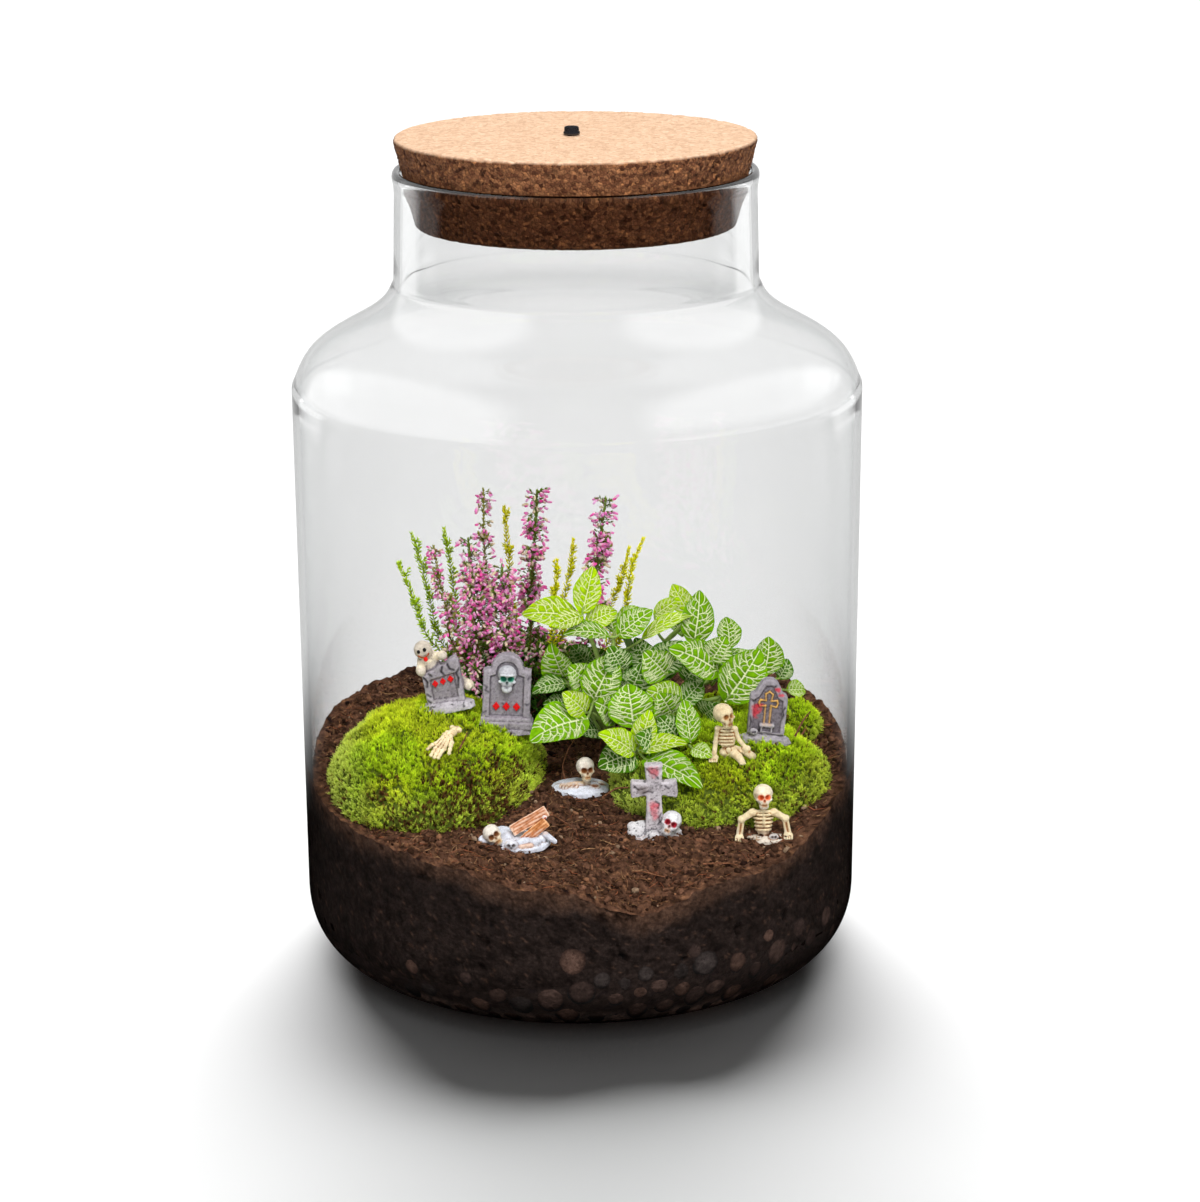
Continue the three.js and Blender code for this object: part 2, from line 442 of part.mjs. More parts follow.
// lid with the bore for the lamp and the bore for the switch stem
const lid = solidOf(lathe([[0, LID_BOTTOM_Z], [68.4, LID_BOTTOM_Z], [LID_BOTTOM_R, 329.6], [LID_TOP_R, 365.6], [77.6, LID_TOP_Z], [0, LID_TOP_Z]]))
  .subtract(solidOf(cylinder(LAMP_R + GAP, 300, LID_BOTTOM_Z + LAMP_DEPTH + GAP, LAMP_X, LAMP_Y, 32)))
  .subtract(solidOf(cylinder(STEM_R + GAP, 330, 380, LAMP_X, LAMP_Y, 16)));
put('cork_lid', geometryOf(lid), 0xb98a5e, 0.9);

// push button: cap and stem
const button = union([
  solidOf(lathe([[0, LID_TOP_Z + GAP], [BUTTON_R, LID_TOP_Z + GAP], [BUTTON_R, LID_TOP_Z + BUTTON_H - 0.4],
    [BUTTON_R - 0.4, LID_TOP_Z + BUTTON_H], [0, LID_TOP_Z + BUTTON_H]], 20).translate(LAMP_X, LAMP_Y, 0)),
  solidOf(cylinder(STEM_R, LID_BOTTOM_Z + LAMP_DEPTH + GAP, LID_TOP_Z + 1.4, LAMP_X, LAMP_Y, 12)),
]);
put('lid_button', geometryOf(button), 0x0c0c0e, 0.25);

// lamp housing, open below, and its lens
const housing = solidOf(lathe([
  [0, LID_BOTTOM_Z + LAMP_DEPTH], [LAMP_R, LID_BOTTOM_Z + LAMP_DEPTH], [LAMP_R, LID_BOTTOM_Z - GAP], [LAMP_R + 2.4, LID_BOTTOM_Z - GAP],
  [LAMP_R + 2.4, LID_BOTTOM_Z - 1.8], [LAMP_R - 3, LID_BOTTOM_Z - 1.8], [LAMP_R - 3, LID_BOTTOM_Z + 1], [LAMP_R - 5, LID_BOTTOM_Z + 1],
  [LAMP_R - 8, LID_BOTTOM_Z + LAMP_DEPTH - 2], [0, LID_BOTTOM_Z + LAMP_DEPTH - 2],
], 24).translate(LAMP_X, LAMP_Y, 0));
put('lamp_housing', geometryOf(housing), 0x17171a, 0.45);
put('lamp_lens', geometryOf(solidOf(lathe([
  [0, LID_BOTTOM_Z - 1.2], [LAMP_R - 3 - GAP, LID_BOTTOM_Z - 1.2], [LAMP_R - 3 - GAP, LID_BOTTOM_Z + 1 - GAP], [0, LID_BOTTOM_Z + 1 - GAP],
], 24).translate(LAMP_X, LAMP_Y, 0))), 0xf2f2ee, 0.4);

// figures
const figures = Object.entries(FIGURES).map(([name, make]) => place(name, make, FIGURE_COLOURS[name], 0.65));

// clay pebbles and soil fill the room inside the glass
const room = solidOf(lathe(ROOM));
const between = (top, bottom, nr) => solidOf(polarBody(0, 0, () => 150, top, bottom, SEG, nr));
place('clay_pebble_layer', (g) => room.intersect(between((x, y) => clayZ(x, y) + g, () => -5, 6)), 0x5a3a2c, 0.95);
const soil = place('soil_bed', (g) => room.intersect(between((x, y) => soilZ(x, y) + g, (x, y) => clayZ(x, y) + GAP, 6)),
  0x2c1a12, 1, figures);

// moss
const dome = (m, g, nt = 24) => solidOf(polarBody(m.cx, m.cy, (th) => outlineR(th, m.r) + g,
  (x, y, q) => soilZ(x, y) + (m.h + g) * Math.max(0, 1 - q ** 2.4) ** 0.6, () => 55, nt, 5));
const mossLeft = place('moss_mound_left', (g) => dome(MOSS_LEFT, g), 0x6f8f1c, 1, [soil, ...figures]);
const mossRight = place('moss_mound_right', (g) => dome(MOSS_RIGHT, g), 0x6f8f1c, 1, [soil, ...figures]);
const tuft = place('moss_tuft_back', (g) => dome(MOSS_TUFT, g, 14), 0x7d9428, 1, [soil, mossRight, ...figures]);
const ground = [soil, mossLeft, mossRight, tuft, ...figures];

// nerve plant
const stems = place('nerve_plant_stems', nerveStems, 0x8fae3c, 0.6, ground);
const leaves = [];
LEAVES.forEach((row, i) => {
  leaves.push(place(`nerve_leaf_${String(i + 1).padStart(2, '0')}`, (g) => leaf(row, g), i % 4 === 3 ? 0x3f7d1e : 0x86bd2c, 0.5,
    [stems, ...ground, ...leaves]));
});

// heather
const bushEntry = place('heather_stems', bush, 0x3c5a1e, 0.9, [...ground, stems, ...leaves]);
const spikes = [];
SPIKES.forEach((row, i) => {
  spikes.push(place(`heather_spike_${String(i + 1).padStart(2, '0')}`, (g) => spike(row, g), row[6] > 4.5 ? 0xc46aa4 : 0x9db535, 0.8,
    [bushEntry, stems, ...leaves, ...spikes]));
});

export default group;
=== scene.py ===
"""A bottle garden: glass jar with a cork lid, clay pebbles, soil, moss, a pink heather, a white-veined
nerve plant and nine small painted resin figures. Lengths below are millimetres unless they say otherwise."""
import bpy
import math
import numpy as np
from mathutils import Matrix, Vector


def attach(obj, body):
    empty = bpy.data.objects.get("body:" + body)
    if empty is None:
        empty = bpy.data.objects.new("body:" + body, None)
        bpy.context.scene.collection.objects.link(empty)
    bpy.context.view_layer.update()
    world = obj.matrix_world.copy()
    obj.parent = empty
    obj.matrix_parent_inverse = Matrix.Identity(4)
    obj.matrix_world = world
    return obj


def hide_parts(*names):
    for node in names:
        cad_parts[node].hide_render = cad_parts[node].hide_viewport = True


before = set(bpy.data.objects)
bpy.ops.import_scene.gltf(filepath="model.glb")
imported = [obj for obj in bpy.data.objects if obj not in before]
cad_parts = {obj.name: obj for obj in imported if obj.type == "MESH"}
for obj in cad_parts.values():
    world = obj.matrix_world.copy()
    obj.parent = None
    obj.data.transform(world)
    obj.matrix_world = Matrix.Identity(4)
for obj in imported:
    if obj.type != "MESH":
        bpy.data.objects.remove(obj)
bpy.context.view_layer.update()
MM = 0.001
scene = bpy.context.scene

# ------------------------------------------------------------------------------------------ numbers shared with the CAD
GAP = 0.35
LID_TOP_R, LID_TOP_Z, LID_BOTTOM_R, LID_BOTTOM_Z = 78.4, 366.4, 69.35, 328.7
LAMP_X, LAMP_Y, LAMP_R, LAMP_DEPTH = -1.6, -1.0, 22.0, 14.0
WALL, FLOOR = 3.2, 6.0
SOIL_BUMPS = [(-54, -106, 30, 7.5), (-4, -116, 14, 4.5), (26, -121, 17, -7.5), (84, -90, 24, -6), (62, -108, 14, 2)]
MOSS = {
    "moss_mound_left": dict(c=(-64.8, -11.5), h=27.2, r=[51.1, 1.1, -4.8, -5.3, 5.3, 0.7, 1.7]),
    "moss_mound_right": dict(c=(62.8, -12.5), h=23.7, r=[49.2, -3.9, -0.3, -3.1, -4.8, 1.2, -5.0]),
    "moss_tuft_back": dict(c=(96, 14), h=15.5, r=[14, 0.8, 0, 1.2, 0.6, 0, 0]),
}


def soil_z(x, y):
    x, y = np.asarray(x, float), np.asarray(y, float)
    z = 78 + 0.14 * y + 12 * (x / 121) ** 2
    for bx, by, s, a in SOIL_BUMPS:
        z = z + a * np.exp(-((x - bx) ** 2 + (y - by) ** 2) / (2 * s * s))
    return z


def clay_z(x, y):
    return 17 + 13 * np.exp(-((np.asarray(x, float) - 45) ** 2 + (np.asarray(y, float) + 95) ** 2) / 5000)


def outline_r(th, c):
    r = c[0] + 0 * th
    for k in range(1, (len(c) - 1) // 2 + 1):
        r = r + c[2 * k - 1] * np.cos(k * th) + c[2 * k] * np.sin(k * th)
    return r


def moss_q(x, y, m):
    dx, dy = np.asarray(x, float) - m["c"][0], np.asarray(y, float) - m["c"][1]
    return np.hypot(dx, dy) / outline_r(np.arctan2(dy, dx), m["r"])


def moss_z(x, y, m):
    q = moss_q(x, y, m)
    return soil_z(x, y) + m["h"] * np.clip(1 - np.clip(q, 0, 1) ** 2.4, 0, 1) ** 0.6


def ground_z(x, y):
    """Top of soil or moss."""
    z = soil_z(x, y)
    for m in MOSS.values():
        z = np.where(moss_q(x, y, m) < 1, np.maximum(z, moss_z(x, y, m)), z)
    return z


# ------------------------------------------------------------------------------------------ noise
def hash01(*ints, seed=0):
    """Hashes integer arrays to 0..1."""
    with np.errstate(over="ignore"):
        h = np.full(np.shape(ints[0]), (seed * 2654435761 + 12345) & 0xFFFFFFFF, np.uint32)
        for a in ints:
            h = (h ^ (a.astype(np.int64) & 0xFFFFFFFF).astype(np.uint32)) * np.uint32(0x9E3779B1)
            h ^= h >> np.uint32(15)
            h *= np.uint32(0x85EBCA77)
            h ^= h >> np.uint32(13)
    return h.astype(np.float64) / 4294967295.0


def noise3(P, size, seed=0):
    """Smooth value noise, -1..1, with features of about that size."""
    Q = np.asarray(P, float) / size
    I = np.floor(Q).astype(np.int64)
    f = Q - I
    f = f * f * f * (f * (f * 6 - 15) + 10)
    out = 0
    for dx in (0, 1):
        wx = f[:, 0] if dx else 1 - f[:, 0]
        for dy in (0, 1):
            wy = f[:, 1] if dy else 1 - f[:, 1]
            for dz in (0, 1):
                wz = f[:, 2] if dz else 1 - f[:, 2]
                out = out + wx * wy * wz * hash01(I[:, 0] + dx, I[:, 1] + dy, I[:, 2] + dz, seed=seed)
    return out * 2 - 1


def fbm(P, size, seed=0, octaves=4, gain=0.5):
    out, amp, total = 0, 1.0, 0.0
    for k in range(octaves):
        out = out + amp * noise3(P, size / 2 ** k, seed + 17 * k)
        total += amp
        amp *= gain
    return out / total


def cells3(P, size, seed=0):
    """Distance to the nearest and the second nearest of jittered points, and the nearest one's random number."""
    Q = np.asarray(P, float) / size
    I = np.floor(Q).astype(np.int64)
    n = len(Q)
    d1, d2, pick = np.full(n, 9.0), np.full(n, 9.0), np.zeros(n)
    for dx in (-1, 0, 1):
        for dy in (-1, 0, 1):
            for dz in (-1, 0, 1):
                a, b, c = I[:, 0] + dx, I[:, 1] + dy, I[:, 2] + dz
                px = a + hash01(a, b, c, seed=seed + 1)
                py = b + hash01(a, b, c, seed=seed + 2)
                pz = c + hash01(a, b, c, seed=seed + 3)
                d = np.sqrt((px - Q[:, 0]) ** 2 + (py - Q[:, 1]) ** 2 + (pz - Q[:, 2]) ** 2)
                near = d < d1
                d2 = np.where(near, d1, np.minimum(d2, d))
                pick = np.where(near, hash01(a, b, c, seed=seed + 4), pick)
                d1 = np.where(near, d, d1)
    return d1, d2, pick


def smooth(a, b, x):
    t = np.clip((x - a) / (b - a), 0, 1)
    return t * t * (3 - 2 * t)


def unit(v):
    v = np.asarray(v, float)
    return v / np.maximum(np.linalg.norm(v, axis=-1, keepdims=True), 1e-12)


# ------------------------------------------------------------------------------------------ meshes
def mesh_piece(name, V, faces, material, stands_for=(), colour=None, uv=None, flat=False, attrs=None,
               face_mats=None, stage=False):
    """A mesh object from points in millimetres. faces is a list of index arrays, each of one face size."""
    V = np.asarray(V, float) * MM
    faces = [np.asarray(f, np.int64) for f in (faces if isinstance(faces, (list, tuple)) else [faces]) if len(f)]
    me = bpy.data.meshes.new(name)
    loops = np.concatenate([f.ravel() for f in faces])
    sizes = np.concatenate([np.full(len(f), f.shape[1]) for f in faces])
    me.vertices.add(len(V))
    me.vertices.foreach_set("co", V.astype(np.float32).ravel())
    me.loops.add(len(loops))
    me.loops.foreach_set("vertex_index", loops.astype(np.int32))
    me.polygons.add(len(sizes))
    me.polygons.foreach_set("loop_start", np.concatenate([[0], np.cumsum(sizes)[:-1]]).astype(np.int32))
    me.update(calc_edges=True)
    if not flat:
        me.polygons.foreach_set("use_smooth", np.ones(len(sizes), bool))
    for m in material if isinstance(material, (list, tuple)) else [material]:
        me.materials.append(m)
    if face_mats is not None:
        me.polygons.foreach_set("material_index", np.asarray(face_mats, np.int32))
    if colour is not None:
        a = me.attributes.new("Col", "FLOAT_COLOR", "POINT")
        c = np.ones((len(V), 4), np.float32)
        c[:, :3] = colour
        a.data.foreach_set("color", c.ravel())
    for key, val in (attrs or {}).items():
        a = me.attributes.new(key, "FLOAT", "POINT")
        a.data.foreach_set("value", np.asarray(val, np.float32))
    if uv is not None:
        layer = me.uv_layers.new(name="UVMap")
        layer.data.foreach_set("uv", np.asarray(uv, np.float32)[loops].ravel())
    me.update()
    o = bpy.data.objects.new(name, me)
    scene.collection.objects.link(o)
    if stage:
        return o
    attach(o, "root")
    if stands_for:
        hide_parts(*stands_for)
    return o


def grid_faces(nu, nv, close_u=False, close_v=False):
    """Quads of a grid whose point (i, j) is i * nv + j."""
    i = np.arange(nu if close_u else nu - 1)
    j = np.arange(nv if close_v else nv - 1)
    I, J = np.meshgrid(i, j, indexing="ij")
    I2, J2 = (I + 1) % nu, (J + 1) % nv
    return np.stack([I * nv + J, I2 * nv + J, I2 * nv + J2, I * nv + J2], -1).reshape(-1, 4)


def lathe(profile, n):
    """Points and faces of a closed turned body. A profile runs outside upwards then inside downwards, or the reverse."""
    prof = np.asarray(profile, float)
    poles = (prof[0, 0] < 1e-9, prof[-1, 0] < 1e-9)
    body = prof[(1 if poles[0] else 0):(len(prof) - 1 if poles[1] else len(prof))]
    th = np.arange(n) * 2 * math.pi / n
    m = len(body)
    V = np.stack([np.outer(np.cos(th), body[:, 0]), np.outer(np.sin(th), body[:, 0]), np.broadcast_to(body[:, 1], (n, m))], -1)
    V = V.reshape(-1, 3)
    F = [grid_faces(n, m, close_u=True, close_v=not (poles[0] or poles[1]))]
    i = np.arange(n)
    extra, tris = [], []
    if poles[0]:
        extra.append([0, 0, prof[0, 1]])
        c = n * m
        tris.append(np.stack([np.full(n, c), ((i + 1) % n) * m, i * m], -1))
    if poles[1]:
        extra.append([0, 0, prof[-1, 1]])
        c = n * m + len(extra) - 1
        tris.append(np.stack([np.full(n, c), i * m + m - 1, ((i + 1) % n) * m + m - 1], -1))
    if extra:
        V = np.vstack([V, extra])
    return V, F + tris


def densify(profile, step):
    """The same polyline with points no further apart than step."""
    out = [profile[0]]
    for a, b in zip(profile[:-1], profile[1:]):
        n = max(1, int(math.ceil(math.dist(a, b) / step)))
        for k in range(1, n + 1):
            out.append((a[0] + (b[0] - a[0]) * k / n, a[1] + (b[1] - a[1]) * k / n))
    return out


def spline(points, per=6, closed=False):
    """Catmull-Rom through points."""
    P = np.asarray(points, float)
    n = len(P)
    out = []
    for i in range(n if closed else n - 1):
        if closed:
            p0, p1, p2, p3 = P[(i - 1) % n], P[i], P[(i + 1) % n], P[(i + 2) % n]
        else:
            p1, p2 = P[i], P[i + 1]
            p0 = P[i - 1] if i else 2 * p1 - p2
            p3 = P[i + 2] if i + 2 < n else 2 * p2 - p1
        for k in range(per):
            t = k / per
            out.append(0.5 * (2 * p1 + (p2 - p0) * t + (2 * p0 - 5 * p1 + 4 * p2 - p3) * t ** 2
                              + (3 * p1 - p0 - 3 * p2 + p3) * t ** 3))
    if not closed:
        out.append(P[-1])
    return np.array(out)


def tube(points, radii, sides=6, caps=True):
    """A round tube through points, with a radius at each."""
    P = np.asarray(points, float)
    R = np.broadcast_to(np.asarray(radii, float), (len(P),))
    T = unit(np.gradient(P, axis=0))
    ref = np.array([0.0, 0.0, 1.0]) if abs(T[0, 2]) < 0.9 else np.array([1.0, 0.0, 0.0])
    u = unit(np.cross(T[0], ref))
    U = []
    for t in T:
        u = unit(u - t * (u @ t))
        U.append(u)
    U = np.array(U)
    W = np.cross(T, U)
    a = np.arange(sides) * 2 * math.pi / sides
    V = P[:, None] + R[:, None, None] * (np.cos(a)[None, :, None] * U[:, None] + np.sin(a)[None, :, None] * W[:, None])
    V = V.reshape(-1, 3)
    F = [grid_faces(len(P), sides, close_v=True)]
    if caps:
        n = len(V)
        V = np.vstack([V, P[0], P[-1]])
        i = np.arange(sides)
        j = (i + 1) % sides
        last = (len(P) - 1) * sides
        F.append(np.stack([np.full(sides, n), j, i], -1))
        F.append(np.stack([np.full(sides, n + 1), last + i, last + j], -1))
    return V, F


class Parts:
    """Collects many small meshes, with colours, into one."""

    def __init__(self):
        self.V, self.F3, self.F4, self.C, self.n = [], [], [], [], 0

    def add(self, V, F, colour):
        V = np.asarray(V, float)
        for f in F if isinstance(F, (list, tuple)) else [F]:
            f = np.asarray(f)
            if len(f):
                (self.F3 if f.shape[1] == 3 else self.F4).append(f + self.n)
        self.V.append(V)
        self.C.append(np.broadcast_to(np.asarray(colour, float), (len(V), 3)))
        self.n += len(V)

    def out(self):
        faces = [np.concatenate(f) for f in (self.F3, self.F4) if f]
        return np.concatenate(self.V), faces, np.concatenate(self.C)


def icosphere(level):
    t = (1 + 5 ** 0.5) / 2
    V = [(-1, t, 0), (1, t, 0), (-1, -t, 0), (1, -t, 0), (0, -1, t), (0, 1, t), (0, -1, -t), (0, 1, -t), (t, 0, -1),
         (t, 0, 1), (-t, 0, -1), (-t, 0, 1)]
    F = [(0, 11, 5), (0, 5, 1), (0, 1, 7), (0, 7, 10), (0, 10, 11), (1, 5, 9), (5, 11, 4), (11, 10, 2), (10, 7, 6),
         (7, 1, 8), (3, 9, 4), (3, 4, 2), (3, 2, 6), (3, 6, 8), (3, 8, 9), (4, 9, 5), (2, 4, 11), (6, 2, 10), (8, 6, 7),
         (9, 8, 1)]
    V = [np.array(v, float) / math.sqrt(1 + t * t) for v in V]
    for _ in range(level):
        mid, out = {}, []

        def half(a, b):
            k = (min(a, b), max(a, b))
            if k not in mid:
                m = V[a] + V[b]
                V.append(m / np.linalg.norm(m))
                mid[k] = len(V) - 1
            return mid[k]

        for a, b, c in F:
            x, y, z = half(a, b), half(b, c), half(c, a)
            out += [(a, x, z), (b, y, x), (c, z, y), (x, y, z)]
        F = out
    return np.array(V), np.array(F)


def frames_from(N, rng):
    """For each direction in N, two directions across it, turned at random."""
    N = unit(N)
    ref = np.where(np.abs(N[:, 2:3]) < 0.9, np.array([[0, 0, 1.0]]), np.array([[1.0, 0, 0]]))
    U = unit(np.cross(N, ref))
    W = np.cross(N, U)
    a = rng.uniform(0, 2 * math.pi, len(N))[:, None]
    return U * np.cos(a) + W * np.sin(a), -U * np.sin(a) + W * np.cos(a)


# ------------------------------------------------------------------------------------------ materials
class Mat:
    """A material's node tree, with short calls to add nodes."""

    def __init__(self, name):
        self.m = bpy.data.materials.new(name)
        self.m.use_nodes = True
        self.t = self.m.node_tree
        self.t.nodes.clear()
        self.out = self.t.nodes.new("ShaderNodeOutputMaterial")

    def node(self, kind, inputs=None, **props):
        n = self.t.nodes.new("ShaderNode" + kind)
        for k, v in props.items():
            setattr(n, k, v)
        for k, v in (inputs or {}).items():
            self.put(n.inputs[k], v)
        return n

    def put(self, socket, v):
        if isinstance(v, bpy.types.NodeSocket):
            self.t.links.new(v, socket)
        elif isinstance(v, bpy.types.Node):
            self.t.links.new(v.outputs[0], socket)
        elif socket.type == "RGBA":
            socket.default_value = tuple(v) + (1,) * (4 - len(v))
        else:
            socket.default_value = v

    def math(self, op, a, b=None, c=None, clamp=False):
        n = self.t.nodes.new("ShaderNodeMath")
        n.operation, n.use_clamp = op, clamp
        for i, v in enumerate((a, b, c)):
            if v is not None:
                self.put(n.inputs[i], v)
        return n.outputs[0]

    def mix(self, fac, a, b, blend="MIX"):
        n = self.t.nodes.new("ShaderNodeMix")
        n.data_type, n.blend_type = "RGBA", blend
        self.put(n.inputs[0], fac)
        self.put(n.inputs[6], a)
        self.put(n.inputs[7], b)
        return n.outputs[2]

    def ramp(self, fac, stops, interpolation="LINEAR"):
        n = self.t.nodes.new("ShaderNodeValToRGB")
        n.color_ramp.interpolation = interpolation
        e = n.color_ramp.elements
        while len(e) > 1:
            e.remove(e[-1])
        for i, (p, c) in enumerate(stops):
            el = e[0] if i == 0 else e.new(p)
            el.position = p
            c = (c, c, c) if isinstance(c, (int, float)) else c
            el.color = tuple(c) + (1,) * (4 - len(c))
        self.put(n.inputs[0], fac)
        return n.outputs[0]

    def band(self, x, lo, hi):
        """0 below lo, 1 above hi, smooth between."""
        return self.node("MapRange", {"Value": x, "From Min": lo, "From Max": hi}, interpolation_type="SMOOTHSTEP").outputs[0]

    def coords(self):
        """Object coordinates: metres in the row frame."""
        return self.node("TexCoord").outputs["Object"]

    def noise(self, vec, size, detail=4, rough=0.55, distortion=0.0):
        """Noise with features of about size metres. Its value is 0..1."""
        return self.node("TexNoise", {"Vector": vec, "Scale": 1 / size, "Detail": detail, "Roughness": rough,
                                      "Distortion": distortion}).outputs[0]

    def voronoi(self, vec, size, feature="F1", randomness=1.0):
        n = self.node("TexVoronoi", feature=feature)
        self.put(n.inputs["Vector"], vec)
        n.inputs["Scale"].default_value = 1 / size
        n.inputs["Randomness"].default_value = randomness
        return n

    def bump(self, height, distance, strength=1.0, normal=None):
        n = self.node("Bump", {"Height": height, "Strength": strength, "Distance": distance})
        if normal is not None:
            self.put(n.inputs["Normal"], normal)
        return n.outputs[0]

    def principled(self, **inputs):
        n = self.t.nodes.new("ShaderNodeBsdfPrincipled")
        for k, v in inputs.items():
            self.put(n.inputs[k.replace("_", " ")], v)
        return n

    def done(self, shader):
        self.t.links.new(shader if isinstance(shader, bpy.types.NodeSocket) else shader.outputs[0], self.out.inputs[0])
        return self.m


# ------------------------------------------------------------------------------------------ camera, floor, light
def make_camera():
    """The photograph's view: found from the jar's outline. The image is 1200 x 1202."""
    pitch, roll, yaw = 0.29692, 0.00499, 0.00715
    cam = bpy.data.cameras.new("camera")
    cam.sensor_fit, cam.sensor_width = "AUTO", 36.0
    cam.lens = 2946.53 * 36.0 / 1202
    cam.clip_start, cam.clip_end = 0.05, 60
    o = bpy.data.objects.new("camera", cam)
    scene.collection.objects.link(o)
    turn = Matrix.Rotation(-yaw, 4, "Z") @ Matrix.Rotation(math.pi / 2 - pitch, 4, "X") @ Matrix.Rotation(-roll, 4, "Z")
    o.matrix_world = Matrix.Translation((0.00050161, -1.26719, 0.54491)) @ turn
    scene.camera = o


def make_floor():
    m = Mat("floor")
    p = m.coords()
    n = m.noise(p, 0.25, 3)
    col = m.ramp(n, [(0.3, (0.90, 0.90, 0.90)), (0.7, (0.915, 0.915, 0.915))])
    lit = m.principled(Base_Color=col, Roughness=0.85, Specular_IOR_Level=0.0)
    # what the glass mirrors of it: dark in front, pale behind, bright far out at the sides
    x, y, _ = m.node("SeparateXYZ", {0: p}).outputs
    far = m.math("SQRT", m.math("ADD", m.math("MULTIPLY", x, x), m.math("MULTIPLY", y, y)))
    across = m.math("ABSOLUTE", x)
    straight = m.band(m.math("SUBTRACT", y, m.math("MULTIPLY", across, 0.55)), -0.10, 0.30)
    behind = m.math("MULTIPLY", m.math("MULTIPLY", m.band(y, 0.12, 0.40), 0.75), m.math("MULTIPLY_ADD", straight, 0.55, 0.45))
    turned = m.math("MULTIPLY", m.band(m.math("SUBTRACT", y, m.math("MULTIPLY", across, 0.50)), -0.12, 0.16),
                    m.band(m.math("SUBTRACT", m.math("MULTIPLY", across, 1.35), y), -0.05, 0.05))
    beside = m.math("MULTIPLY", m.math("MULTIPLY", m.band(far, 0.95, 1.15), turned), 1.35)
    glow = m.node("Emission", {"Strength": m.math("MAXIMUM", behind, beside)})
    mirrored = m.math("MINIMUM", m.node("LightPath").outputs["Glossy Depth"], 1.0)
    mat = m.done(m.node("MixShader", {0: mirrored, 1: lit.outputs[0], 2: glow.outputs[0]}))
    mat.cycles.emission_sampling = "NONE"
    s = 14000.0
    mesh_piece("floor", [(-s, -s, 0), (s, -s, 0), (s, s, 0), (-s, s, 0)], [np.array([[0, 1, 2, 3]])], mat, stage=True)


def area_light(name, at, look, size, power, shape="RECTANGLE", glossy=True):
    l = bpy.data.lights.new(name, "AREA")
    l.shape = shape
    l.size, l.size_y = size
    l.energy = power
    o = bpy.data.objects.new(name, l)
    scene.collection.objects.link(o)
    o.location = at
    o.rotation_euler = (Vector(look) - Vector(at)).to_track_quat("-Z", "Y").to_euler()
    o.visible_camera = False
    o.visible_glossy = glossy
    o.visible_transmission = glossy
    return o


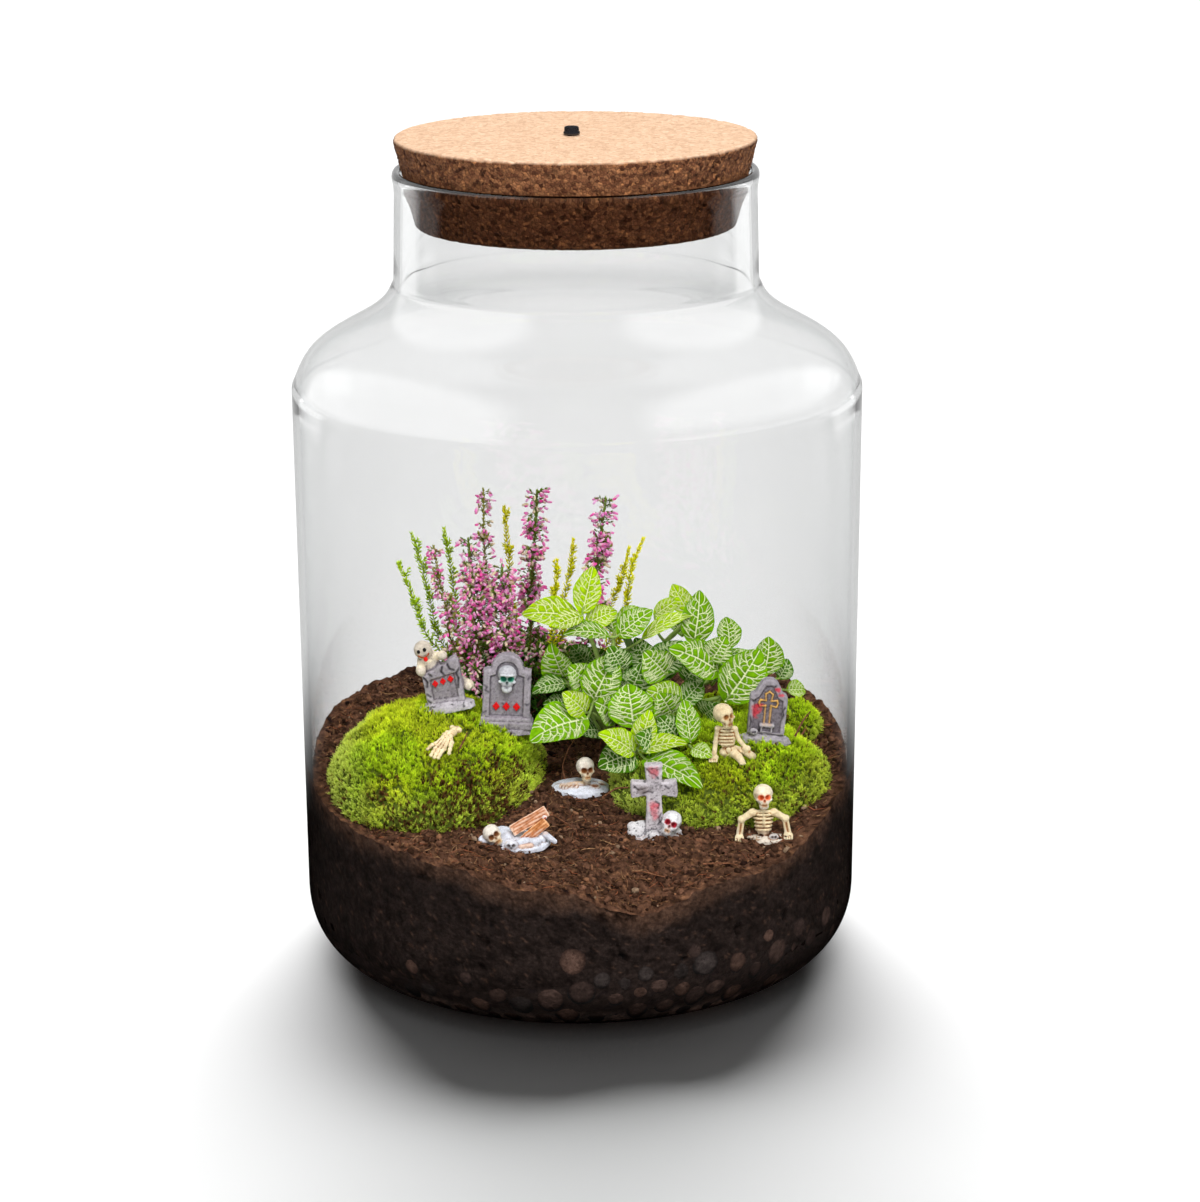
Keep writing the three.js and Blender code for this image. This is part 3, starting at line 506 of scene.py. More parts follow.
def make_light():
    """Soft light from above and behind, a low fill from the front, and pale softboxes for the glass to reflect."""
    w = bpy.data.worlds.new("world")
    scene.world = w
    w.use_nodes = True
    t = w.node_tree
    t.nodes.clear()

    def node(kind, **props):
        n = t.nodes.new("ShaderNode" + kind)
        for k, v in props.items():
            setattr(n, k, v)
        return n

    def calc(op, a, b=None, c=None):
        n = node("Math", operation=op)
        for i, v in enumerate((a, b, c)):
            if isinstance(v, bpy.types.NodeSocket):
                t.links.new(v, n.inputs[i])
            elif v is not None:
                n.inputs[i].default_value = v
        return n.outputs[0]

    def band(x, lo, hi):
        n = node("MapRange", interpolation_type="SMOOTHSTEP")
        t.links.new(x, n.inputs["Value"])
        n.inputs["From Min"].default_value, n.inputs["From Max"].default_value = lo, hi
        return n.outputs[0]

    way = node("SeparateXYZ")
    t.links.new(node("TexCoord").outputs["Generated"], way.inputs[0])
    x, y, z = way.outputs
    # the soft light of the room: low in front, full behind and above
    behind = band(y, -0.55, 0.6)
    above = band(z, 0.1, 0.95)
    room = calc("ADD", calc("MULTIPLY", calc("MAXIMUM", behind, above), WORLD_BACK), WORLD_FRONT)
    # what the glass mirrors: dark in front, a pale wall behind, and a tall softbox on either side
    wall = calc("MULTIPLY", band(y, 0.25, 0.45), 0.76)
    past = calc("SUBTRACT", calc("ABSOLUTE", x), calc("MULTIPLY_ADD", z, -0.29, 0.60))
    foot = calc("SUBTRACT", calc("MULTIPLY_ADD", y, 0.30, z), calc("MULTIPLY", band(x, -0.1, 0.1), 0.14))
    boxes = calc("MULTIPLY", calc("MULTIPLY", band(past, -0.10, 0.13), band(foot, 0.06, 0.27)), SOFTBOX)
    mirrored = calc("ADD", calc("MAXIMUM", wall, boxes), 0.05)
    path = node("LightPath")
    seen = calc("MULTIPLY", path.outputs["Is Singular Ray"], calc("SUBTRACT", 1.0, calc("MINIMUM", path.outputs["Diffuse Depth"], 1.0)))
    level = calc("ADD", calc("MULTIPLY", mirrored, seen), calc("MULTIPLY", room, calc("SUBTRACT", 1.0, seen)))
    level = calc("ADD", calc("MULTIPLY", level, calc("SUBTRACT", 1.0, path.outputs["Is Camera Ray"])), path.outputs["Is Camera Ray"])
    bg = node("Background")
    bg.inputs[0].default_value = (1, 1, 1, 1)
    t.links.new(level, bg.inputs[1])
    t.links.new(bg.outputs[0], node("OutputWorld").inputs[0])

    # a low light from behind throws the shadow forwards over the floor
    floor_only = bpy.data.collections.new("lit from behind")
    floor_only.objects.link(bpy.data.objects["floor"])
    for name, power, wide, to in (("low_sun", SUN * 0.875, 47, (0.03, -1.85, -1.0)), ("high_sun", SUN * 0.050, 86, (0.03, -0.80, -1.0))):
        sun = bpy.data.lights.new(name, "SUN")
        sun.energy, sun.angle = power, math.radians(wide)
        back = bpy.data.objects.new(name, sun)
        scene.collection.objects.link(back)
        back.rotation_euler = Vector(to).to_track_quat("-Z", "Y").to_euler()
        back.visible_glossy = False
        back.light_linking.receiver_collection = floor_only
    # soft lights above and in front for the jar and all in it, kept off the floor
    lamps = [area_light("key", (0.35, -1.30, 2.10), (0, 0, 0.12), (1.3, 1.3), KEY, glossy=False),
             area_light("fill_left", (-1.5, -1.9, 0.75), (0, 0, 0.14), (1.0, 1.0), FILL, glossy=False),
             area_light("fill_right", (1.7, -1.6, 0.65), (0, 0, 0.14), (1.0, 1.0), FILL * 0.8, glossy=False),
             area_light("back_light", (-0.25, 1.25, 1.9), (0, 0, 0.12), (1.5, 1.5), KEY * 0.5, glossy=False),
             area_light("low_light", (0.0, -1.5, 0.05), (0, 0, 0.02), (2.4, 0.09), 5.0, glossy=False)]
    unlit = bpy.data.collections.new("kept off the lamps")
    unlit.objects.link(bpy.data.objects["floor"])
    unlit.collection_objects[0].light_linking.link_state = "EXCLUDE"
    for o in lamps:
        o.light_linking.receiver_collection = unlit


WORLD_FRONT, WORLD_BACK, SUN, KEY, FILL, SOFTBOX = 0.012, 0.05, 8.4, 80, 22, 1.4


# ------------------------------------------------------------------------------------------ glass jar
SHOULDER = [(125, 258.3), (124.41, 261.2), (123.03, 264.2), (121.45, 267.2), (120.16, 270.1), (118.7, 273.1),
            (116.18, 276.0), (111.77, 278.9), (105.75, 281.9), (99.28, 284.9), (93.5, 287.8), (88.97, 290.8),
            (85.53, 293.7), (82.94, 296.6), (81.06, 299.6), (79.9, 302.6), (79.5, 305.5)]


def jar_profiles():
    a = np.linspace(0, math.pi / 2, 26)
    heel = np.stack([102.2 + 22.8 * np.sin(a) ** 0.918, 28.24 - 28.24 * np.cos(a) ** 0.918], -1)
    sh = np.array(SHOULDER)
    for _ in range(5):
        sh[1:-1] = 0.5 * sh[1:-1] + 0.25 * (sh[:-2] + sh[2:])
    shoulder = spline([(125, 250), *map(tuple, sh), (79.1, 318)], 3)[3:-3]
    lip = [(79.1, 318), (78.7, 332), (78.42, 341), (78.5, 344.5), (78.8, 347.2), (79.15, 349.2), (79.0, 350.9), (78.4, 352.0),
           (77.5, 352.4), (76.6, 352.25), (75.8, 351.6), (75.2, 350.3), (74.85, 348.4)]
    outer = np.vstack([[(0, 0), (60, 0), (96, 0)], heel, densify([(125, 32), (125, 250)], 20), shoulder,
                       spline(lip, 3)])
    inner_sh = sh + 0
    d = np.gradient(sh, axis=0)
    nrm = unit(np.stack([-d[:, 1], d[:, 0]], -1))
    nrm[nrm[:, 0] > 0] *= -1
    inner_sh = sh + nrm * (3.2 + 0.25 * np.linspace(0, 1, len(sh)))[:, None]
    inner_sh[0] = (121.8, 257.2)
    inner_heel = np.stack([99.0 + 22.8 * np.sin(a) ** 0.918, 31.0 - 25.0 * np.cos(a) ** 0.918], -1)
    inner_shoulder = spline([(75.4, 322), (75.7, 312), *map(tuple, inner_sh[::-1]), (121.8, 250), (121.8, 240)], 3)[3:-3]
    inner = np.vstack([[(74.75, 346), (75.0, 338), (75.4, 322)], inner_shoulder,
                       densify([(121.8, 242), (121.8, 34)], 20), inner_heel[::-1], [(92, 6.0), (50, 6.0), (0, 6.0)]])
    return outer, inner


def inner_radius(z):
    _, inner = jar_profiles()
    pts = inner[::-1]
    pts = pts[(pts[:, 1] >= 6.0) & (pts[:, 0] > 98)]
    pts = pts[pts[:, 1] < 240]
    return np.interp(z, pts[:, 1], pts[:, 0])


def make_jar():
    m = Mat("clear_glass")
    edge = m.node("LayerWeight", {"Blend": 0.32}).outputs["Facing"]
    tint = m.ramp(edge, [(0.0, (0.899, 0.901, 0.901)), (0.55, (0.898, 0.905, 0.905)), (1.0, (0.52, 0.60, 0.59))])
    glass = m.principled(Base_Color=tint, Roughness=0.0, IOR=1.5, Transmission_Weight=1.0)
    clear = m.node("BsdfTransparent", {"Color": (0.985, 0.988, 0.987)})
    path = m.node("LightPath")
    mixed = m.node("MixShader", {0: path.outputs["Is Shadow Ray"], 1: glass.outputs[0], 2: clear.outputs[0]})
    mat = m.done(mixed)
    outer, inner = jar_profiles()
    V, F = lathe(np.vstack([outer, inner]), 192)
    return mesh_piece("jar_glass", V, F, mat, ["glass_jar"])


# ------------------------------------------------------------------------------------------ scattering and small shapes
def scatter(V, F, n, rng, keep=None):
    """n points spread evenly over a triangle or quad mesh, with the faces' directions."""
    V = np.asarray(V, float)
    tri = []
    for f in F if isinstance(F, (list, tuple)) else [F]:
        tri.append(f[:, :3])
        if f.shape[1] == 4:
            tri.append(f[:, [0, 2, 3]])
    T = np.concatenate(tri)
    N = np.cross(V[T[:, 1]] - V[T[:, 0]], V[T[:, 2]] - V[T[:, 0]])
    area = np.linalg.norm(N, axis=1)
    if keep is not None:
        area = area * keep(V[T].mean(1))
    pick = rng.choice(len(T), n, p=area / area.sum())
    a, b = rng.random(n), rng.random(n)
    flip = a + b > 1
    a[flip], b[flip] = 1 - a[flip], 1 - b[flip]
    P = V[T[pick, 0]] + a[:, None] * (V[T[pick, 1]] - V[T[pick, 0]]) + b[:, None] * (V[T[pick, 2]] - V[T[pick, 0]])
    return P, unit(N[pick])


def polar_cap(cx, cy, radius, top, nt, nr, power=1.0, skirt=None):
    """A disc over an outline, its points lifted by top(x, y). With a skirt it goes down that far at its edge."""
    th = np.arange(nt) * 2 * math.pi / nt
    q = 1 - (1 - np.arange(1, nr + 1) / nr) ** power
    R = radius(th)
    x = cx + (q[:, None] * R * np.cos(th)).ravel()
    y = cy + (q[:, None] * R * np.sin(th)).ravel()
    V = np.stack([x, y, top(x, y)], -1)
    V = np.vstack([V, [cx, cy, float(np.ravel(top(np.array([cx]), np.array([cy])))[0])]])
    F4 = grid_faces(nr, nt, close_v=True)
    i = np.arange(nt)
    F3 = np.stack([np.full(nt, nr * nt), i, (i + 1) % nt], -1)
    if skirt:
        edge = V[(nr - 1) * nt:nr * nt] - np.array([0, 0, skirt])
        base = len(V)
        V = np.vstack([V, edge])
        a = (nr - 1) * nt
        F4 = np.vstack([F4, np.stack([a + i, base + i, base + (i + 1) % nt, a + (i + 1) % nt], -1)])
    return V, [F4, F3]


def many(shape, P, A, B, C):
    """Copies of a small mesh at P with axes A, B, C (each scaled)."""
    SV, SF = shape
    V = P[:, None] + SV[None, :, 0:1] * A[:, None] + SV[None, :, 1:2] * B[:, None] + SV[None, :, 2:3] * C[:, None]
    off = (np.arange(len(P)) * len(SV))[:, None, None]
    return V.reshape(-1, 3), [(f[None] + off).reshape(-1, f.shape[1]) for f in (SF if isinstance(SF, list) else [SF])]


def spread(colours, n):
    return np.repeat(colours, n, axis=0)


def col_attr(m):
    return m.node("Attribute", attribute_name="Col").outputs["Color"]


# ------------------------------------------------------------------------------------------ soil and clay pebbles
def soil_material():
    m = Mat("potting_soil")
    p = m.coords()
    n = m.noise(p, 0.0016, 6, 0.7)
    shade = m.ramp(n, [(0.30, 0.45), (0.5, 1.0), (0.72, 1.75)])
    col = m.mix(1.0, col_attr(m), shade, "MULTIPLY")
    rough = m.ramp(m.noise(p, 0.003, 3), [(0.3, 0.72), (0.7, 0.95)])
    h = m.math("ADD", m.noise(p, 0.0011, 6, 0.7), m.math("MULTIPLY", m.voronoi(p, 0.0014).outputs["Distance"], 0.8))
    return m.done(m.principled(Base_Color=col, Roughness=rough, Specular_IOR_Level=0.35, Normal=m.bump(h, 0.0006, 0.9)))


def soil_relief(x, y):
    P = np.stack([x, y, 0 * x], -1)
    d1, _, pick = cells3(P, 3.4, 5)
    e1, _, _ = cells3(P, 7.5, 9)
    return fbm(P, 10, 3, 5, 0.6) * 1.9 + (0.75 - d1) * 2.1 * (0.4 + pick) + (0.6 - e1) * 1.9


def soil_colours(P, seed=0):
    n = fbm(P, 3.2, 21 + seed, 4, 0.65)[:, None]
    w = fbm(P, 14, 31 + seed, 2)[:, None]
    d1, _, _ = cells3(P, 3.0, 5 + seed)
    c = np.array([0.082, 0.039, 0.0235]) * (1 + 0.95 * n + 0.35 * w) * (1.25 - 0.75 * smooth(0.35, 0.95, d1))[:, None]
    red = smooth(0.35, 0.75, noise3(P, 1.7, 41 + seed))[:, None]
    c = c * (1 - red) + np.array([0.20, 0.095, 0.05]) * red
    dark = smooth(0.3, 0.7, noise3(P, 2.6, 51 + seed))[:, None]
    return np.clip(c * (1 - 0.75 * dark), 0.006, 1)


WET = 0.12    # damp soil clings to the glass: it lies this far into the wall's inner face, so no air shows between them


def make_soil():
    mat = soil_material()
    rim = 121.8 + WET
    rng = np.random.default_rng(4)
    NT = 560
    V, F = polar_cap(0, 0, lambda th: rim + 0 * th, lambda x, y: soil_z(x, y) + soil_relief(x, y), NT, 104)
    C = soil_colours(V)
    parts = Parts()
    parts.add(V, F, C)
    # the side against the glass, from the top down to the pebbles
    th = np.arange(NT) * 2 * math.pi / NT
    top = V[103 * NT:104 * NT, 2]
    bottom = clay_z(rim * np.cos(th), rim * np.sin(th)) + 1.5 * noise3(np.stack([120 * np.cos(th), 120 * np.sin(th), 0 * th], -1), 9, 71)
    NV = 44
    t = np.linspace(0, 1, NV)[:, None]
    z = top[None] * (1 - t) + bottom[None] * t
    r = inner_radius(z) + WET
    S = np.stack([r * np.cos(th), r * np.sin(th), z], -1).reshape(-1, 3)
    n = fbm(S, 6, 81, 4, 0.6)
    void = smooth(0.42, 0.60, n)
    near_clay = np.clip(1 - (z - bottom[None]).ravel() / 4, 0, 1)
    sink = 1.9 * void * (1 - near_clay)
    sink[:NT] = 0
    S[:, :2] *= ((r.ravel() - sink) / r.ravel())[:, None]
    down = smooth(0, 11, (top[None] - z).ravel() + 2.5 * noise3(S, 9, 88))[:, None]
    CS = np.array([0.060, 0.032, 0.021]) * (1 - down) + np.array([0.0150, 0.0102, 0.0088]) * down
    # painted shade: where the soil stands back from the glass (void) it is also coloured darker, down to half
    CS = CS * (1 + 0.6 * noise3(S, 1.5, 85)[:, None] + 0.35 * noise3(S, 4.5, 86)[:, None]) * (1 - 0.5 * void[:, None])
    fleck = smooth(0.66, 0.82, noise3(S, 1.3, 87))[:, None]
    CS = CS * (1 - fleck) + np.array([0.050, 0.029, 0.021]) * fleck
    parts.add(S, [grid_faces(NV, NT, close_v=True)], np.clip(CS, 0.004, 1))
    # the under side
    zb = S[-NT:, 2]
    B = np.vstack([S[-NT:], [[0, 0, 18]]])
    i = np.arange(NT)
    parts.add(B, [np.stack([np.full(NT, NT), (i + 1) % NT, i], -1)], [0.03, 0.02, 0.015])
    # crumbs lying on top
    open_ground = lambda p: np.minimum.reduce([(moss_q(p[:, 0], p[:, 1], m) > 0.94) for m in MOSS.values()]).astype(float) * (np.hypot(p[:, 0], p[:, 1]) < 119)
    ico = icosphere(0)
    for count, lo, hi, seed in ((5200, 0.35, 0.95, 1), (1100, 0.9, 1.9, 2)):
        P, N = scatter(V, F, count, rng, open_ground)
        A, B2 = frames_from(N + rng.normal(0, 0.5, N.shape), rng)
        r = rng.uniform(lo, hi, count)[:, None]
        Cx = np.cross(A, B2)
        ax = [A * r * rng.uniform(0.8, 1.7, (count, 1)), B2 * r * rng.uniform(0.6, 1.1, (count, 1)), Cx * r * rng.uniform(0.5, 0.9, (count, 1))]
        W, G = many(ico, P + N * r * 0.3, *ax)
        W += rng.normal(0, 0.12, W.shape) * np.repeat(r, 12, axis=0)
        c = soil_colours(P * 3.1, 7) * rng.uniform(0.5, 1.5, (count, 1))
        pale = (rng.random(count) < 0.03)[:, None]
        c = np.where(pale, np.array([0.30, 0.20, 0.13]), c)
        parts.add(W, G, spread(c, 12))
    V2, F2, C2 = parts.out()
    mesh_piece("soil", V2, F2, mat, ["soil_bed"], colour=C2)
    # plant fibres and rotted bark lying on it
    fibre = Parts()
    count = 3600
    P, N = scatter(V, F, count, rng, open_ground)
    A, B2 = frames_from(N, rng)
    L = rng.gamma(2.2, 1.6, count).clip(1.5, 11)
    bend = rng.normal(0, 0.22, count)
    steps = np.linspace(-0.5, 0.5, 5)
    tri = np.array([[1, 0], [-0.5, 0.87], [-0.5, -0.87]])
    rad = rng.uniform(0.09, 0.24, count)
    pts = P[:, None] + A[:, None] * (steps[None, :, None] * L[:, None, None]) + B2[:, None] * ((steps ** 2 - 0.1)[None, :, None] * (bend * L)[:, None, None] * 2)
    pts[:, :, 2] = (soil_z(pts[:, :, 0], pts[:, :, 1]) + soil_relief(pts[:, :, 0].ravel(), pts[:, :, 1].ravel()).reshape(count, 5) * 0.8) + rng.uniform(0.2, 1.3, (count, 1)) + 0.6 * (0.25 - steps ** 2)[None]
    inside = np.hypot(pts[:, :, 0], pts[:, :, 1]).max(1) < 120.5
    pts, rad, A, B2 = pts[inside], rad[inside], A[inside], B2[inside]
    count = len(pts)
    prof = np.array([0.35, 0.9, 1, 0.9, 0.3])
    side = tri[None, None, :, 0:1] * B2[:, None, None] + tri[None, None, :, 1:2] * np.array([0, 0, 1.0])
    W = pts[:, :, None] + side * (rad[:, None] * prof)[:, :, None, None]
    g = grid_faces(5, 3, close_v=True)
    G = (g[None] + (np.arange(count) * 15)[:, None, None]).reshape(-1, 4)
    palette = np.array([[0.22, 0.105, 0.05], [0.13, 0.06, 0.03], [0.36, 0.20, 0.10], [0.06, 0.03, 0.02], [0.27, 0.09, 0.045]])
    fibre.add(W.reshape(-1, 3), [G], spread(palette[rng.integers(0, 5, count)] * rng.uniform(0.6, 1.25, (count, 1)), 15))
    # thin reddish twigs
    twigs = [([(-6.5, -15, 76), (-7.8, -14, 84), (-5.5, -12, 91), (-2.0, -10, 96)], 0.36), ([(10, -33, 76), (17, -34, 80.5), (26, -36, 80.5), (34, -38, 77)], 0.4),
             ([(96, -24, 101), (99.5, -24.5, 108.5), (103, -22, 112)], 0.45), ([(-53, -37, 101), (-50.5, -38, 106.5), (-49.6, -37, 109)], 0.4),
             ([(-20, -56, 72), (-13, -52, 75), (-6, -56, 72.5)], 0.42), ([(52, -92, 67.5), (60, -95, 69), (67, -92, 67)], 0.4),
             ([(20, -92, 64), (27, -97, 66), (36, -98, 64)], 0.38), ([(100, -2, 92), (104, 6, 95), (102, 16, 93)], 0.5),
             ([(-86, 44, 92), (-80, 52, 95), (-78, 60, 92)], 0.45), ([(40, 62, 91), (50, 66, 94), (58, 62, 92)], 0.45)]
    for k, (path, r) in enumerate(twigs):
        path = spline(path, 8)
        path = path + np.stack([noise3(path, 3, 91 + k), noise3(path, 3, 92 + k), noise3(path, 3, 93 + k)], -1) * 0.25
        w, g = tube(path, r * np.linspace(1.1, 0.6, len(path)), 6)
        fibre.add(w, g, np.array([0.20, 0.085, 0.045]) * (1 + 0.3 * noise3(w, 1.2, 95)[:, None]))
    V3, F3, C3 = fibre.out()
    mesh_piece("soil_fibres", V3, F3, mat, colour=C3)


PEBBLES = [(-3.7, -121.7, 35.8, 5.6), (-12.8, -115.8, 18.4, 6.6), (0.2, -119.2, 21.9, 5.3), (-24.6, -113, 15.5, 5.0), (-48.9, -110.5, 24.3, 3.2),
           (8.6, -121.2, 27.2, 4.3), (14.2, -116.4, 18.1, 4.0), (22.8, -111, 12.4, 4.5), (32.7, -115.6, 22.2, 3.9), (41.7, -110.5, 19.4, 3.9),
           (56.0, -104, 17.2, 4.4), (52.6, -109.8, 29.4, 5.6), (66.8, -102.0, 26.4, 4.5), (83.8, -87.8, 25.3, 6.0), (94.4, -78.1, 31.4, 4.6),
           (106.4, -58.5, 28.9, 5.0), (-34.4, -110.9, 18.0, 4.2), (-41.6, -105, 12.6, 4.2), (-64.6, -98, 15.0, 3.8), (74.7, -95, 20.4, 3.8),
           (-72, -97, 23.5, 3.6), (35.5, -112, 12.6, 4.0), (48.5, -108, 15.4, 4.8), (64, -97, 12.8, 4.2), (100, -70, 23.4, 4.4),
           (-6, -115, 10.8, 4.6), (27, -118, 28.6, 3.4), (47, -110, 36.0, 3.6), (79, -91, 34.2, 3.5)]


def make_pebbles():
    m = Mat("baked_clay")
    p = m.coords()
    n = m.noise(p, 0.0022, 6, 0.65)
    pits = m.voronoi(p, 0.0015).outputs["Distance"]
    col = m.mix(1.0, col_attr(m), m.ramp(n, [(0.28, 0.5), (0.5, 1.0), (0.72, 1.6)]), "MULTIPLY")
    # painted shade: the colour darkens in the pits, the same dimples that the bump below sinks
    col = m.mix(1.0, col, m.ramp(pits, [(0.05, 0.45), (0.28, 1.0)]), "MULTIPLY")
    h = m.math("ADD", m.noise(p, 0.0012, 5, 0.7), m.math("MULTIPLY", pits, 0.9))
    mat = m.done(m.principled(Base_Color=col, Roughness=0.8, Specular_IOR_Level=0.4, Normal=m.bump(h, 0.0005, 0.8)))
    rng = np.random.default_rng(12)
    balls = []
    for x, y, z, r in PEBBLES:
        r *= 1.16
        th = math.atan2(y, x)
        d = float(inner_radius(np.array(z))) - r * 0.45
        balls.append((d * math.cos(th), d * math.sin(th), z, r))
    for k in range(9000):
        r = rng.uniform(4.6, 6.6) if k < 5200 else rng.uniform(3.2, 4.8)
        th = rng.uniform(0, 2 * math.pi)
        top = float(clay_z(118 * math.cos(th), 118 * math.sin(th))) + 1.5
        z = 6.2 + r * 0.88 + rng.random() * max(top - 6.2 - r * 1.3, 0.4)
        d = float(inner_radius(np.array(z - 0.35 * r))) - r * 0.66 - abs(rng.normal(0, 0.55))
        c = (d * math.cos(th), d * math.sin(th), z)
        if all((c[0] - b[0]) ** 2 + (c[1] - b[1]) ** 2 + (c[2] - b[2]) ** 2 > (0.86 * (r + b[3])) ** 2 for b in balls):
            balls.append((*c, r))
    SV, SF = icosphere(3)
    parts = Parts()
    for k, (x, y, z, r) in enumerate(balls):
        q = Matrix.Rotation(rng.uniform(0, 6.28), 3, Vector(rng.normal(0, 1, 3)))
        s = SV @ np.array(q).T
        s = s * (1 + 0.10 * noise3(s * 1.0 + k * 7.3, 0.9, 3)[:, None] + 0.05 * noise3(s + k * 3.1, 0.35, 4)[:, None]) * rng.uniform(0.86, 1.08, 3)
        W = s * r * 0.98 + (x, y, z)
        # painted shade: each pebble is coloured darker where it turns away from the glass, so its flat contact disc
        # reads as a round ball
        facing = unit(s) @ (np.array([x, y, 0]) / math.hypot(x, y))
        rr = np.hypot(W[:, 0], W[:, 1])
        lim = inner_radius(np.maximum(W[:, 2], 6.05)) + WET + 0.04
        k2 = np.minimum(1, lim / np.maximum(rr, 1e-6))
        W[:, :2] *= k2[:, None]
        W[:, 2] = np.maximum(W[:, 2], 6.0 - WET)
        base = np.array([[0.070, 0.043, 0.035], [0.050, 0.032, 0.027], [0.094, 0.054, 0.041], [0.036, 0.028, 0.026]][rng.integers(0, 4)]) * rng.uniform(0.60, 1.05)
        parts.add(W, SF, base * (1 + 0.25 * noise3(W, 2.5, 8)[:, None]) * (0.12 + 0.93 * smooth(0.32, 0.93, facing))[:, None] * (1.0 if k < len(PEBBLES) else 0.72))
    # the fine stuff between and behind them: dark soil, painted lighter at the bottom, with shaded pebbles drawn on it
    NT, NV = 420, 26
    th = np.arange(NT) * 2 * math.pi / NT
    topz = clay_z(118 * np.cos(th), 118 * np.sin(th)) + 0.6
    t = np.linspace(0, 1, NV)[:, None] ** 1.4
    z = (6.0 - WET) * (1 - t) + topz * t
    P = np.stack([100 * np.cos(th) + 0 * z, 100 * np.sin(th) + 0 * z, z], -1).reshape(-1, 3)
    back = 0.03 + (0.16 + 0.10 * noise3(P, 3, 5)).reshape(z.shape) * smooth(19.0, 24.0, z)
    r = inner_radius(np.maximum(z, 6.02)) + WET - back
    S = np.stack([r * np.cos(th), r * np.sin(th), z], -1).reshape(-1, 3)

    def packed(Q):
        d1, d2, pick = cells3(Q, 10.5, 15)
        # painted shade: round pebbles drawn on the film, lightest in the middle and darkening to their edges
        ball = smooth(0.05, 0.30, d2 - d1)[:, None] * smooth(0.75, 0.35, d1)[:, None]
        tone = np.array([0.20, 0.125, 0.10]) * (0.45 + 0.9 * pick[:, None])
        # painted light: below about 12 mm the film is coloured about three times lighter, where little light reaches
        # the bottom of the jar
        low = (0.8 * smooth(12.0, 8.0, Q[:, 2]))[:, None]
        painted_light_low_tone = np.array([0.060, 0.044, 0.038]) * (1 - ball) + tone * ball
        return (np.array([0.020, 0.0135, 0.0115]) * (1 - low) + painted_light_low_tone * low) * (1 + 0.4 * noise3(Q, 1.5, 6)[:, None])
    parts.add(S, [grid_faces(NV, NT, close_v=True)], packed(S))
    # the under side, flat on the glass, with the same painted light and drawn pebbles
    NR = 40
    ring = np.linspace(1, 0, NR, endpoint=False)[:, None] * r[0][None]
    B = np.vstack([np.stack([ring * np.cos(th), ring * np.sin(th), 0 * ring + 6.0 - WET], -1).reshape(-1, 3), [[0, 0, 6.0 - WET]]])
    i = np.arange(NT)
    last = (NR - 1) * NT
    parts.add(B, [grid_faces(NR, NT, close_v=True)[:, ::-1], np.stack([np.full(NT, NR * NT), last + (i + 1) % NT, last + i], -1)], packed(B))
    V, F, C = parts.out()
    mesh_piece("clay_pebbles", V, F, mat, ["clay_pebble_layer"], colour=np.clip(C, 0.01, 1))


# ------------------------------------------------------------------------------------------ moss
def leafy(name, translucency, rough=0.55, bump=0.0, spec=0.3, through=(1.25, 1.15, 0.6)):
    """Plant tissue coloured by its vertices: some light goes through it."""
    m = Mat(name)
    p = m.coords()
    n = m.noise(p, 0.0017, 4, 0.6)
    col = m.mix(1.0, col_attr(m), m.ramp(n, [(0.3, 0.82), (0.7, 1.2)]), "MULTIPLY")
    inputs = dict(Base_Color=col, Roughness=rough, Specular_IOR_Level=spec)
    if bump:
        inputs["Normal"] = m.bump(m.noise(p, 0.0008, 4), bump, 0.7)
    a = m.principled(**inputs)
    b = m.node("BsdfTranslucent", {"Color": m.mix(1.0, col, through, "MULTIPLY")})
    return m.done(m.node("MixShader", {0: translucency, 1: a.outputs[0], 2: b.outputs[0]}))


def needles(P, axis, radial, L, w, spread_angle, curl, c0, c1):
    """Small pointed leaves: five points and two faces each."""
    ca, sa = np.cos(spread_angle)[:, None], np.sin(spread_angle)[:, None]
    d1 = axis * ca + radial * sa
    a2 = spread_angle + curl
    d2 = axis * np.cos(a2)[:, None] + radial * np.sin(a2)[:, None]
    side = unit(np.cross(axis, radial)) * w[:, None]
    mid = P + d1 * (L * 0.5)[:, None]
    tip = mid + d2 * (L * 0.5)[:, None]
    n = len(P)
    V = np.stack([P - side * 0.35, P + side * 0.35, mid - side * 0.5, mid + side * 0.5, tip], 1).reshape(-1, 3)
    o = np.arange(n) * 5
    F = [np.stack([o, o + 1, o + 3, o + 2], -1), np.stack([o + 2, o + 3, o + 4], -1)]
    C = np.stack([c0, c0, (c0 + c1) / 2, (c0 + c1) / 2, c1], 1).reshape(-1, 3)
    return V, F, C


